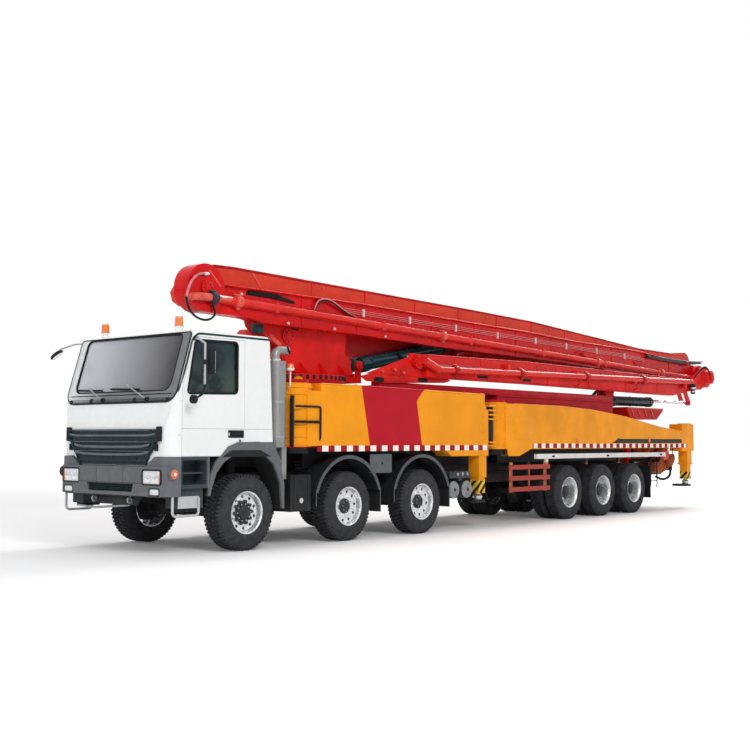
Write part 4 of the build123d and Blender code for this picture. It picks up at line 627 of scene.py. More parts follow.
def make_coats():
    """Mix every coat the truck wears."""
    tint = bpy.context.scene.truck_colours
    red, orange, crimson = tint.boom_red[:], tint.body_orange[:], tint.deck_crimson[:]
    # The pipe red is lighter and pinker than the boom red: painted highlight on the pipes. The deep red is a darker
    # copy of the boom red for section 3: painted shade.
    pipe, black, deep_red = (0.74, 0.03, 0.024), (0.016, 0.018, 0.021), (0.66, 0.006, 0.008)
    step_teal, guard_red = (0.045, 0.062, 0.072), (0.42, 0.05, 0.035)
    grained = {"peel": 0.0005, "peel_scale": 500.0}
    soft = {"shade": 0.25, "grain": 12.0, "peel": 0.0004, "peel_scale": 300.0}
    COATS.update(
        boom_red=coat_of("boom_red_paint", red, 0.34, gloss=0.04, shade=0.22, grain=2.2),
        # Section 2 wears a lighter, more orange copy of the boom red: painted light on its web.
        boom_2=coat_of("boom_2_lit_paint", (0.7, 0.058, 0.03), 0.36, gloss=0.03, shade=0.16, grain=1.6),
        boom_dark=coat_of("boom_shade_paint", scaled(red, 0.6), 0.35, gloss=0.1, shade=0.2, grain=3.0),
        # Sections 1, 3 and 5: the pipe zones take the pipe red, a painted highlight; section 3's deep red is painted
        # shade.
        boom_1=coat_of("boom_1_paint", red, 0.34, gloss=0.04, shade=0.2, grain=2.2,
            pattern=zoned(red, (pipe, {"ahead": (-14.35, -6.3), "out": (0.262, 2.0), "high": (3.13, 3.32)}))),
        boom_3=coat_of("boom_3_paint", deep_red, 0.24, gloss=0.08, shade=0.18, grain=2.2,
            pattern=zoned(deep_red, (pipe, {"ahead": (-15.35, 0.105), "out": (0.722, 2.0)}))),
        boom_5=coat_of("boom_5_paint", red, 0.24, gloss=0.1, shade=0.18, grain=2.2,
            pattern=zoned(red, (pipe, {"out": (1.02, 2.0)}), (black,
            {"ahead": (-20.0, -14.6), "out": (1.02, 2.0), "high": (0.0, 2.93)}))),
        # Glossy delivery pipe: real gloss, with a tint lighter than the boom red as a painted highlight.
        pipe_red=coat_of("pipe_red_paint", pipe, 0.14, gloss=0.8, shade=0.1, grain=5.0),
        # Pinker, lighter red for pins, clamps, lips and fittings: painted highlight.
        salmon=coat_of("highlight_red_paint", (0.7, 0.085, 0.06), 0.25, gloss=0.4, shade=0.22, grain=8.0),
        orange=coat_of("orange_paint", orange, 0.38, gloss=0.03, shade=0.14, grain=1.7, dust=0.15),
        front_arm=coat_of("front_arm_paint", orange, 0.38, gloss=0.03, shade=0.12, grain=1.7,
            pattern=front_arm_pattern(orange, crimson)),
        crimson=coat_of("crimson_paint", crimson, 0.4, gloss=0.03, shade=0.25, grain=2.5),
        deck=coat_of("deck_paint", crimson, 0.42, shade=0.25, grain=2.5,
            pattern=zoned(crimson, (black, {"high": (0.0, 1.44)}))),
        # Rear fenders: black plastic, the outer edge painted a lighter grey as a painted highlight.
        axle_fenders=coat_of("axle_fender_plastic", black, 0.4, shade=0.2, grain=9.0, dust=0.1,
            pattern=zoned(black, ((0.1, 0.11, 0.12), {"out": (1.236, 2.0)}))),
        cab_white=coat_of("cab_white_paint", tint.cab_white[:], 0.25, gloss=0.25, shade=0.03, grain=1.6, dust=0.05,
            peel=0.0002),
        trim_grey=coat_of("moulded_grey_plastic", tint.trim_grey[:], 0.5, shade=0.12, grain=9.0, dust=0.2, **grained),
        # Front fenders: the black on the wheel arch's inner faces is painted shade.
        fenders=coat_of("fender_plastic", tint.trim_grey[:], 0.5, shade=0.12, grain=9.0, dust=0.2, **grained,
            pattern=zoned(tint.trim_grey[:], (step_teal, {"ahead": (0.757, 2.0)}),
            (black, {"ahead": (-2.0, 0.745), "out": (0.0, 1.215)}),
            ((0.55, 0.56, 0.57), {"ahead": (0.85, 1.34), "out": (1.181, 1.3), "high": (0.0, 0.8)}))),
        mirror=coat_of("mirror_plastic", black, 0.4, shade=0.15,
            pattern=zoned(black, ((0.42, 0.43, 0.44), {"ahead": (0.985, 3.0), "high": (2.3, 4.0)}))),
        black_plastic=coat_of("black_plastic", black, 0.45, shade=0.2, dust=0.2, **grained),
        # The cowl grey lightens towards the far pillar: painted highlight.
        cowl_grey=coat_of("cowl_grey_plastic", (0.17, 0.18, 0.19), 0.45, shade=0.12, grain=7.0, peel=0.0004,
            peel_scale=400.0, pattern=cowl_highlight_pattern),
        trim_teal=coat_of("dark_trim_rubber", (0.016, 0.04, 0.048), 0.4, shade=0.2),
        seam=coat_of("seam_shade", (0.3, 0.31, 0.32), 0.6, shade=0.2, peel=0.0),
        rubber=coat_of("black_rubber", (0.014, 0.014, 0.016), 0.55, shade=0.2, grain=12.0, peel=0.0004,
            peel_scale=300.0),
        hose_pink=coat_of("rose_hose", (0.6, 0.2, 0.22), 0.4, **soft),
        hose_teal=coat_of("teal_hose", (0.035, 0.065, 0.08), 0.35, **soft),
        tyre=coat_of("tyre_rubber", tint.tyre_grey[:], 0.72, shade=0.28, grain=9.0, peel=0.0012, peel_scale=120.0),
        rim=coat_of("rim_silver", (0.72, 0.73, 0.75), 0.28, metal=0.75, shade=0.1, grain=8.0, peel=0.0003),
        hub_dark=coat_of("dark_hub_iron", (0.05, 0.052, 0.06), 0.5, metal=0.4, shade=0.25, grain=14.0, peel=0.0008,
            peel_scale=90.0),
        iron=coat_of("chassis_iron", (0.022, 0.023, 0.026), 0.6, metal=0.2, shade=0.3, grain=8.0, dust=0.2,
            peel=0.001, peel_scale=90.0),
        frame_paint=coat_of("frame_paint", (0.035, 0.024, 0.026), 0.55, shade=0.3, grain=5.0, dust=0.2),
        tank_end=coat_of("tank_end_paint", (0.26, 0.27, 0.28), 0.35, gloss=0.1, shade=0.3, grain=9.0),
        tank_grey=coat_of("tank_paint", (0.045, 0.054, 0.062), 0.35, gloss=0.1, shade=0.2, grain=7.0, dust=0.15),
        box_grey=coat_of("box_paint", (0.11, 0.12, 0.13), 0.45, shade=0.15, grain=7.0, dust=0.2),
        bolt_teal=coat_of("turret_bolts", (0.012, 0.028, 0.034), 0.4, metal=0.3, shade=0.2, grain=15.0),
        steel=coat_of("brushed_steel", (0.62, 0.63, 0.65), 0.3, metal=0.9, shade=0.12, grain=10.0, peel=0.0004),
        steel_grey=coat_of("dull_steel", (0.34, 0.35, 0.37), 0.4, metal=0.6, shade=0.18, grain=10.0, peel=0.0004),
        tread_steel=coat_of("deck_tread", (0.3, 0.29, 0.29), 0.5, metal=0.6, shade=0.25, grain=9.0, peel=0.004,
            peel_scale=30.0),
        reflector=coat_of("lamp_reflector", (0.8, 0.82, 0.85), 0.15, metal=0.9, shade=0.1, grain=20.0, peel=0.0),
        chrome=coat_of("chrome_rod", (0.8, 0.81, 0.83), 0.12, metal=1.0, shade=0.04, peel=0.0),
        teal=coat_of("cylinder_teal_paint", tint.cylinder_teal[:], 0.26, gloss=0.35, shade=0.2, grain=4.0),
        cream=coat_of("cream_paint", (0.72, 0.68, 0.6), 0.4, shade=0.06, dust=0.2),
        clip_cream=coat_of("clip_plastic", (0.66, 0.52, 0.5), 0.4, shade=0.15, grain=20.0),
        guards=coat_of("guard_paint", (0.8, 0.8, 0.8), 0.42, gloss=0.08, shade=0.12, dust=0.2,
            pattern=zoned((0.8, 0.79, 0.76), ((0.66, 0.3, 0.07), {"high": (0.0, 1.15)}),
            (black, {"ahead": (-7.42, -7.16), "high": (0.0, 1.15)}),
            (black, {"ahead": (-13.0, -8.0), "high": (0.0, 1.207)}),
            (guard_red, {"high": (0.0, 1.11), "out": (1.2085, 2.0)}), (black, {"out": (0.0, 1.17)}))),
        rust=coat_of("hopper_rust_paint", (0.4, 0.1, 0.035), 0.6, shade=0.35, grain=11.0, peel=0.0016,
            peel_scale=70.0),
        interior=coat_of("dark_interior", (0.05, 0.06, 0.065), 0.75, shade=0.2),
        grille=coat_of("grille_teal_black", (0.018, 0.034, 0.042), 0.32, gloss=0.1, shade=0.15),
        grille_bar=coat_of("grille_bar_grey", (0.12, 0.15, 0.17), 0.35, gloss=0.1, shade=0.12),
        shield=coat_of("exhaust_shield", (0.3, 0.3, 0.29), 0.42, metal=0.4, shade=0.12,
            pattern=mesh_pattern((0.34, 0.34, 0.33), (0.19, 0.19, 0.185))),
        white_lens=lens_of("clear_lens", (0.9, 0.91, 0.92)),
        amber_lens=lens_of("amber_lens", (0.85, 0.2, 0.02)),
        red_lens=lens_of("red_lens", (0.62, 0.02, 0.02)),
        orange_marker=lens_of("marker_lens", (0.9, 0.16, 0.04)),
        tape=coat_of("check_tape", (1, 1, 1), 0.4, shade=0.05, pattern=tape_pattern),
        dark_stripe=coat_of("dark_stripe", (0.022, 0.03, 0.022), 0.4, shade=0.2),
        hazard=coat_of("hazard_paint", (1, 1, 1), 0.4, shade=0.06, dust=0.15, pattern=hazard_pattern),
        jacks=coat_of("jack_paint", (1, 1, 1), 0.4, shade=0.1, dust=0.15,
            pattern=zoned(orange, (hazard_pattern, {"high": (0.62, 0.84)}),
            ((0.35, 0.35, 0.36), {"high": (0.0, 0.62)}), (black, {"high": (0.0, 0.55)}))),
        screen=screen_glass(),
        window=window_glass(),
        mirror_glass=coat_of("mirror_glass", (0.75, 0.78, 0.8), 0.05, metal=1.0, shade=0.02, peel=0.0),
    )


def lens_of(name, colour):
    """Ribbed lamp lens: glossy, with fine upright flutes."""
    coat, tree, surface, place = shader(name)
    flutes = tree.nodes.new("ShaderNodeTexWave")
    flutes.bands_direction = "Y"
    give(flutes, {"Scale": 28.0})
    tree.links.new(place, flutes.inputs["Vector"])
    tone = blend(tree, flutes.outputs["Fac"], scaled(colour, 0.82), colour)
    tree.links.new(tone, surface.inputs["Base Color"])
    give(surface, {"Roughness": 0.12, "Coat Weight": 0.6})
    emboss(tree, surface, flutes.outputs["Fac"], 0.35, 0.002)
    return coat


def screen_glass():
    """Tinted windscreen: grey, with a painted reflection that lightens it towards the far side, and faint clouds of
    painted reflection.
    """
    coat, tree, surface, place = shader("windscreen_glass")
    # Painted reflection: the glass is lighter towards the far side.
    across = spread(tree, split(tree, place)["Y"], -1.05, 1.0, 0.0, 1.0)
    tone = blend(tree, across, (0.56, 0.57, 0.61), (0.02, 0.019, 0.027))
    reflection_clouds = noise(tree, place, 1.6, 4.0)
    tone = blend(tree, spread(tree, reflection_clouds, 0.3, 0.7, 0.0, 0.15), tone, (0.22, 0.22, 0.26))
    tree.links.new(tone, surface.inputs["Base Color"])
    give(surface, {"Roughness": 0.08, "Specular IOR Level": 0.4})
    return coat


def window_glass():
    """Door glass: dark teal with clouds of painted reflection, which turn lighter and more olive low down; only a
    little clear.
    """
    coat, tree, surface, place = shader("door_glass")
    # Clouds of painted reflection, stronger and more olive low down.
    reflection_clouds = spread(tree, noise(tree, place, 3.2, 3.0), 0.42, 0.58, 0.0, 1.0)
    low = spread(tree, split(tree, place)["Z"], 2.35, 2.75, 1.0, 0.0)
    tone = blend(tree, reflection_clouds, (0.002, 0.012, 0.017), (0.008, 0.034, 0.04))
    tone = blend(tree, times(tree, reflection_clouds, low), tone, (0.042, 0.066, 0.05))
    tree.links.new(tone, surface.inputs["Base Color"])
    give(surface, {"Roughness": 0.05, "Transmission Weight": 0.1, "Specular IOR Level": 0.25})
    return coat


CAD_COATS = {
    "chassis_frame": "frame_paint", "engine": "iron", "axles": "iron", "cab_shell": "cab_white",
    "windscreen": "screen", "cab_interior": "interior", "grille": "grille", "bumper": "trim_grey",
    "lamps": "white_lens", "front_fenders": "fenders", "axle_fenders": "axle_fenders",
    "mirror_left": "mirror", "mirror_right": "black_plastic", "exhaust": "shield",
    "side_boxes": "tank_grey", "deck_body": "deck", "side_guards": "guards", "hopper": "rust",
    "hopper_grate": "iron", "pump_unit": "iron", "boom_rest": "boom_red", "door_left": "cab_white",
    "door_right": "cab_white", "front_arm_left": "front_arm", "front_arm_right": "front_arm",
    "rear_arm_left": "orange", "rear_arm_right": "orange", "front_jack_left": "jacks",
    "front_jack_right": "jacks", "rear_jack_left": "jacks", "rear_jack_right": "jacks",
    "turret": "boom_red", "lift_barrels": "teal", "lift_rods": "chrome", "fold_barrel": "teal",
    "fold_rod": "chrome", "fold_rocker": "boom_red",
}
for section in range(1, 6):
    CAD_COATS[f"boom_section_{section}"] = "boom_red" if section == 4 else f"boom_{section}"
for number in STEERED:
    for word in SIDES:
        CAD_COATS[f"knuckle_{number}_{word}"] = "iron"


def dress_nodes():
    """Coat every CAD node and round its edges a little."""
    rounding = bpy.context.scene.truck_sizes.edge_rounding
    for name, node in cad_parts.items():
        if name not in CAD_COATS:
            continue
        coat, slots = COATS[CAD_COATS[name]], node.data.materials
        for index in range(len(slots)):
            slots[index] = coat
        if not slots:
            slots.append(coat)
        merge = node.modifiers.new("merge", "WELD")
        merge.merge_threshold = 0.0001
        bevel = node.modifiers.new("rounding", "BEVEL")
        bevel.width = rounding
        bevel.segments = 2
        bevel.limit_method = "ANGLE"
        bevel.angle_limit = math.radians(40)
        bevel.harden_normals = False
        normals = node.modifiers.new("normals", "WEIGHTED_NORMAL")
        normals.keep_sharp = True


# ---- wheels ------------------------------------------------------------------------------


def ring(count, start=0.0):
    """Turns about the wheel's own Y axis, evenly spaced."""
    return [Matrix.Rotation(start + 2 * math.pi * step / count, 4, "Y") for step in range(count)]


def tyre(name, width, lugs):
    """Tyre lying with its outer face at Y = 0: turned carcass, shoulder lugs and two middle rows."""
    radius = TYRE_RADIUS
    base = radius - 0.018
    outer = [(-0.036, 0.286), (-0.02, 0.292), (-0.01, 0.306), (-0.006, 0.33), (-0.001, 0.352), (-0.003, 0.356),
        (0, 0.385), (-0.001, 0.415), (-0.004, 0.419), (-0.006, 0.446), (-0.014, 0.47), (-0.03, 0.5),
        (-0.05, base - 0.004), (-0.075, base)]
    inner = [(-width - along, r) for along, r in reversed(outer)]
    carcass = turned(name, outer + inner + [outer[0]], (0, 0, 0), ACROSS, 72)
    half_turn = math.pi / lugs
    reach = radius * math.tan(half_turn) * 0.6
    to_inner = (Matrix.Rotation(math.pi, 4, "Z"), Matrix.Rotation(half_turn, 4, "Y"), shift(y=-width))
    edge = ((-0.01, 0.474), (-0.034, 0.512), (-0.046, radius), (-0.1, radius), (-0.1, 0.505), (-0.03, 0.47))
    shoulder = plate(f"{name}_lug", [(-reach, y, z) for y, z in edge], (2 * reach, 0, 0), 0.004, 1)
    outer_row = copies(shoulder, ring(lugs))
    inner_row = clone(outer_row, "inner_row", *to_inner)
    edge = ((-0.118, 0.505), (-0.118, radius), (-width / 2 - 0.006 + 0.014, radius), (-width / 2 + 0.008, 0.505))
    middle = plate(f"{name}_block", [(-reach * 0.9, y, z) for y, z in edge], (1.8 * reach, 0, 0), 0.004, 1)
    twin = clone(middle, "middle_twin", *to_inner)
    middle_row = copies(middle, ring(lugs, half_turn / 2))
    twin_row = copies(twin, ring(lugs, half_turn / 2))
    return paint(join(name, [carcass, outer_row, inner_row, middle_row, twin_row]), "tyre")


def pierced(disc, count, at_radius, hole, low, high):
    """Cut a ring of round holes through the disc."""
    clear()
    bpy.ops.mesh.primitive_cylinder_add(vertices=20, radius=hole, depth=high - low,
        location=(0, (low + high) / 2, at_radius), rotation=(math.pi / 2, 0, 0))
    cutter = bpy.context.object
    settle(cutter)
    return less(disc, copies(cutter, ring(count, math.pi / count)))


def nuts(name, count, at_radius, along, size, coat):
    """Ring of nuts round the wheel's axis."""
    head = bolt(name, (0, along, at_radius), ACROSS, size, size * 1.4)
    return paint(copies(head, ring(count)), coat)


def single_rim(name):
    """Steered wheel's rim: bright lip, dished disc with ten round holes, and the barrel behind."""
    profile = [(-0.112, 0.06), (-0.112, 0.1), (-0.106, 0.15), (-0.1, 0.205), (-0.102, 0.235), (-0.092, 0.256),
        (-0.07, 0.266), (-0.04, 0.272), (-0.022, 0.28), (-0.014, 0.292), (-0.012, 0.3), (-0.018, 0.304),
        (-0.03, 0.298), (-0.345, 0.298), (-0.356, 0.302), (-0.356, 0.29), (-0.34, 0.282), (-0.16, 0.262),
        (-0.122, 0.245), (-0.118, 0.205), (-0.124, 0.15), (-0.13, 0.06), (-0.112, 0.06)]
    rim = turned(name, profile, (0, 0, 0), ACROSS, 60)
    return paint(pierced(rim, 10, 0.222, 0.024, -0.2, 0), "rim")


def star_hub(name):
    """First axle's hub: black ten-lobed flange with nuts, and a capped drum."""
    drum = turned(name, [(-0.13, 0), (-0.13, 0.15), (-0.096, 0.15), (-0.09, 0.142), (-0.088, 0.108), (-0.062, 0.1),
        (-0.056, 0.088), (-0.056, 0.05), (-0.048, 0.044), (-0.048, 0)], (0, 0, 0), ACROSS, 40)
    paint(drum, "hub_dark")
    lobe = turned("lobe", [(-0.1, 0), (-0.1, 0.027), (-0.076, 0.025), (-0.07, 0.018), (-0.07, 0)], (0, 0, 0.155),
        ACROSS, 14)
    lobes = paint(copies(lobe, ring(10)), "hub_dark")
    return join(name, [drum, lobes, nuts("star_nuts", 10, 0.118, -0.088, 0.01, "steel")])


def plain_hub(name):
    """Second and third axles' hub: low dark drum inside a ring of ten bright nuts."""
    drum = turned(name, [(-0.13, 0), (-0.13, 0.118), (-0.094, 0.116), (-0.088, 0.104), (-0.072, 0.094),
        (-0.068, 0.078), (-0.062, 0.07), (-0.062, 0)], (0, 0, 0), ACROSS, 40)
    paint(drum, "hub_dark")
    return join(name, [drum, nuts("ring_nuts", 10, 0.158, -0.106, 0.014, "rim"),
        nuts("cap_bolts", 8, 0.083, -0.07, 0.007, "steel")])


def twin_rim(name):
    """Driven wheel's rims: deep bright barrel with the disc far in, and the inner wheel's barrel."""
    profile = [(-0.296, 0.06), (-0.296, 0.15), (-0.288, 0.215), (-0.27, 0.24), (-0.235, 0.252), (-0.07, 0.262),
        (-0.04, 0.272), (-0.022, 0.282), (-0.014, 0.292), (-0.012, 0.3), (-0.018, 0.304), (-0.03, 0.298),
        (-0.64, 0.298), (-0.64, 0.288), (-0.33, 0.255), (-0.312, 0.215), (-0.318, 0.06), (-0.296, 0.06)]
    rim = turned(name, profile, (0, 0, 0), ACROSS, 60)
    return paint(pierced(rim, 10, 0.192, 0.024, -0.4, -0.2), "rim")


def deep_hub(name):
    """Driven axle's hub: stepped drum that stands out of the deep rim, with its ring of nuts."""
    drum = turned(name, [(-0.31, 0), (-0.31, 0.128), (-0.25, 0.126), (-0.244, 0.116), (-0.15, 0.108), (-0.142, 0.118),
        (-0.124, 0.118), (-0.118, 0.104), (-0.092, 0.094), (-0.084, 0.08), (-0.082, 0)], (0, 0, 0), ACROSS, 40)
    paint(drum, "hub_dark")
    return join(name, [drum, nuts("deep_nuts", 10, 0.158, -0.292, 0.014, "steel"),
        nuts("drum_bolts", 10, 0.104, -0.122, 0.009, "hub_dark")])


def mount_wheel(kinds, number, word):
    """One wheel from its pieces: copied, turned to face outwards, set on its axle."""
    name, hand = f"wheel_{number}_{word}", SIDES[word]
    place = shift(AXLE_1 + AXLES[number], hand * WHEEL_OUT, TYRE_RADIUS)
    turn = Matrix.Identity(4) if hand > 0 else Matrix.Rotation(math.pi, 4, "Z")
    move = place @ turn @ Matrix.Rotation(WHEEL_TURN * number, 4, "Y")
    wheel = join(f"{name}_dressed", [clone(source, f"{name}_part", move) for source in kinds])
    fit(wheel, f"{name}_body", 30)
    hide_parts(name)


def make_wheels():
    lugs = bpy.context.scene.truck_sizes.tread_lugs
    single_tyre = tyre("single_tyre", SINGLE_WIDTH, lugs)
    twin_tyre = tyre("twin_tyre", TWIN_WIDTH, lugs)
    inner_tyre = clone(twin_tyre, "inner_twin_tyre", shift(y=-TWIN_PITCH))
    rim, deep = single_rim("single_rim"), twin_rim("twin_rim")
    star, plain, drum = star_hub("star_hub"), plain_hub("plain_hub"), deep_hub("deep_hub")
    for number in AXLES:
        for word in SIDES:
            if number == 1:
                kinds = (single_tyre, rim, star)
            elif number in STEERED:
                kinds = (single_tyre, rim, plain)
            else:
                kinds = (twin_tyre, inner_tyre, deep, drum)
            mount_wheel(kinds, number, word)
    for source in (single_tyre, twin_tyre, inner_tyre, rim, deep, star, plain, drum):
        bpy.data.objects.remove(source)


# ---- cab front ---------------------------------------------------------------------------

# The windscreen's rake: a unit up the glass and a unit out of it.
SCREEN_FOOT = at(1.33, 0, 2.06)
UP_SCREEN = Vector((-0.29096, 0, 0.95671))
OFF_SCREEN = Vector((0.95671, 0, 0.29096))


def on_screen(y, rise, lift=0.0):
    """Point on the raked cab front, that far up from its foot and lifted off it."""
    return SCREEN_FOOT + Vector((0, y, 0)) + UP_SCREEN * rise + OFF_SCREEN * lift


def screen_panel(half_low, low, half_high, high, lift):
    """Four corners of a panel on the raked cab front, the same on both sides of its middle."""
    spots = (-half_low, low), (half_low, low), (half_high, high), (-half_high, high)
    return [on_screen(y, rise, lift) for y, rise in spots]


def make_screen_frame():
    outer = plate("screen_surround", screen_panel(1.232, 0.004, 1.232, 1.0, -0.004), OFF_SCREEN * 0.016,
        corners=(0.19, 0.19, 0.05, 0.05))
    hole = plate("screen_hole", screen_panel(1.076, 0.166, 1.076, 0.986, -0.04), OFF_SCREEN * 0.08,
        corners=(0.13, 0.13, 0.09, 0.09))
    surround = less(outer, hole)
    round_edges(surround, 0.004, 2, 50)
    paint(surround, "cowl_grey")
    edge = frame_of("screen_rubber", screen_panel(1.243, -0.006, 1.243, 1.004, -0.003), 0.016, OFF_SCREEN * 0.021,
        (0.195, 0.195, 0.05, 0.05), 0.004)
    seal = frame_of("glass_rubber", screen_panel(1.084, 0.158, 1.084, 0.992, -0.02), 0.018, OFF_SCREEN * 0.037,
        (0.135, 0.135, 0.095, 0.095), 0.004)
    cowl = plate("cowl_band", screen_panel(1.1, 0.012, 1.16, 0.062, 0.011), OFF_SCREEN * 0.006, 0.003,
        corners=(0.02, 0.02, 0.02, 0.02))
    lip = ribbon("cowl_lip", [on_screen(-1.14, 0.112, 0.011), on_screen(1.14, 0.112, 0.011)], UP_SCREEN * 0.012,
        OFF_SCREEN * 0.008, 0.003)
    dark = join("screen_dark", coated("rubber", edge, seal, cowl, lip))
    slats = ribbon("cowl_slat", [on_screen(-1.05, 0.024, 0.014), on_screen(1.05, 0.024, 0.014)], UP_SCREEN * 0.005,
        OFF_SCREEN * 0.006)
    slats = paint(copies(slats, [Matrix.Translation(UP_SCREEN * 0.013 * step) for step in range(3)]), "cowl_grey")
    fit(join("screen_surround", [surround, dark, slats]), "truck")


def make_wipers():
    made = []
    for pivot, elbow, blade_low, blade_high in (((0.66, 0.04), (0.133, 0.262), (-0.24, 0.206), (0.42, 0.19)),
            ((-0.33, 0.045), (-0.753, 0.24), (-1.02, 0.205), (-0.42, 0.19))):
        arm = bar("wiper_arm", [on_screen(*pivot, 0.035), on_screen(pivot[0] - 0.05, pivot[1] + 0.02, 0.045),
            on_screen(*elbow, 0.03)], 0.009, 0.012, 8)
        paint(arm, "steel_grey")
        blade = ribbon("wiper_blade", [on_screen(*blade_low, 0),
            on_screen(blade_low[0] * 0.5 + blade_high[0] * 0.5, 0.196, 0), on_screen(*blade_high, 0)],
            UP_SCREEN * 0.016, OFF_SCREEN * 0.026, 0.003)
        spine = bar("blade_spine", [on_screen(blade_low[0] + 0.06, blade_low[1] + 0.01, 0.03),
            on_screen(*blade_high, 0.03)], 0.006, 0, 6)
        hub = turned("wiper_pivot", [(0, 0.036), (0.022, 0.034), (0.03, 0.022), (0.048, 0.018), (0.05, 0)],
            on_screen(*pivot, 0.012), OFF_SCREEN, 20)
        base = turned("spare_pivot", [(0, 0.04), (0.014, 0.036), (0.018, 0)],
            on_screen(pivot[0] - 0.28, pivot[1] - 0.005, 0.012), OFF_SCREEN, 20)
        made += [arm] + coated("rubber", blade, spine, hub, base)
    fit(join("wipers", made), "truck")


def make_pillar_trim():
    line = [at(-0.4, 1.239, 3.0), at(0.94, 1.239, 3.0), at(1.046, 1.244, 2.93), at(1.176, 1.247, 2.5),
        at(1.262, 1.226, 2.22), at(1.286, 1.2, 2.1)]
    upper = bar("pillar_trim", line, 0.017, 0.05)
    gutter = bar("roof_gutter", side(1.2, (-0.4, 3.03), (0.9, 3.03)), 0.01, 0, 8)
    rear = bar("rear_gutter", face(-0.482, (-1.15, 3.02), (1.15, 3.02)), 0.012, 0, 8)
    whole = join("pillar_trim", [both_sides(paint(upper, "trim_teal")), both_sides(paint(gutter, "cab_white")),
        paint(rear, "cab_white")])
    fit(whole, "truck")


def make_grille_bars():
    made = []
    for low, half, drop, thick in ((1.6, 0.97, 0, 0.026), (1.44, 0.85, 0.012, 0.034), (1.335, 0.83, 0.02, 0.034)):
        line = [at(1.43, half * step / 5, low + drop * (step / 5) ** 2 + (0.02 if abs(step) == 5 else 0))
            for step in range(-5, 6)]
        made.append(paint(ribbon("grille_bar", line, (0, 0, thick), (0.022, 0, 0), 0.008), "grille_bar"))
    wing = block("grille_wing", at(1.385, 0.985, 1.535), at(1.444, 1.056, 1.735), 0.012)
    hinge = block("grille_hinge", at(1.385, 0.945, 1.405), at(1.44, 0.985, 1.5), 0.01)
    made += paired("black_plastic", wing, hinge)
    rail = block("grille_rail", at(1.425, -0.84, 1.522), at(1.4405, 0.84, 1.532), 0.003, 1)
    made.append(paint(copies(rail, [shift(), shift(z=-0.125), shift(z=0.155)]), "grille_bar"))
    fit(join("grille_bars", made), "truck")


def lamp_glass(y, z, half_wide, half_tall):
    """Lens, bezel and reflector rings of one lamp in the bumper's face."""
    def corners_of(wide, tall):
        return [corner(out, up) for out, up in oblong(-wide, wide, -tall, tall)]

    def corner(out, up):
        return at(1.427, y + out, z + up)

    large = half_wide > 0.15
    lens = plate("lamp_lens", corners_of(half_wide, half_tall), (0.014, 0, 0), 0.006, 3,
        corners=0.035 if large else 0.012)
    bezel = frame_of("lamp_bezel", corners_of(half_wide + 0.014, half_tall + 0.012), 0.024 if large else 0.012,
        (0.028, 0, 0), 0.045 if large else 0.018, 0.005)
    made = [paint(lens, "white_lens"), paint(bezel, "black_plastic")]
    if large:
        bowl = [(0.012, 0.074), (0.018, 0.074), (0.018, 0.066), (0.0145, 0.06), (0.0145, 0.022), (0.02, 0.016),
            (0.02, 0)]
        for out in (-0.085, 0.075):
            made.append(paint(turned("reflector", bowl, corner(out, 0), ALONG, 28), "reflector"))
        amber = plate("turn_lens", [corner(half_wide - 0.045, -half_tall + 0.02),
            corner(half_wide - 0.008, -half_tall + 0.03), corner(half_wide - 0.008, half_tall - 0.03),
            corner(half_wide - 0.03, half_tall - 0.02)], (0.0185, 0, 0), 0.003)
        made.append(paint(amber, "amber_lens"))
    return made


def make_lamps():
    made = []
    for lamp_piece in lamp_glass(0.91, 1.055, 0.193, 0.098) + lamp_glass(0.97, 0.86, 0.1, 0.042):
        made.append(both_sides(lamp_piece))
    # Side markers on the bumper's corners, and the two beacons.
    boss = turned("marker_boss", [(-0.004, 0.08), (0.006, 0.08), (0.012, 0.07), (0.012, 0)], at(1.335, 1.244, 1.1),
        ACROSS, 32)
    dome = turned("marker_lens", [(0.008, 0.062), (0.016, 0.058), (0.024, 0.04), (0.028, 0)], at(1.335, 1.244, 1.1),
        ACROSS, 32)
    core = turned("marker_core", [(0.024, 0.022), (0.03, 0.018), (0.032, 0)], at(1.335, 1.244, 1.1), ACROSS, 16)
    made += paired("trim_grey", boss) + paired("orange_marker", dome) + paired("white_lens", core)
    profile = [(0, 0.052), (0.058, 0.052), (0.06, 0.064), (0.068, 0.064), (0.07, 0.0595)]
    for step in range(7):
        profile += [(0.074 + 0.018 * step, 0.061 - 0.0008 * step), (0.084 + 0.018 * step, 0.0592 - 0.0008 * step)]
    dome = turned("beacon", profile[4:] + [(0.206, 0.05), (0.212, 0.03), (0.213, 0)], at(0.945, 0.835, 3.05), UP, 36)
    foot = turned("beacon_foot", profile[:5] + [(0.07, 0)], at(0.945, 0.835, 3.0505), UP, 36)
    made += paired("amber_lens", dome) + paired("cab_white", foot)
    fit(join("lamp_details", made), "truck")


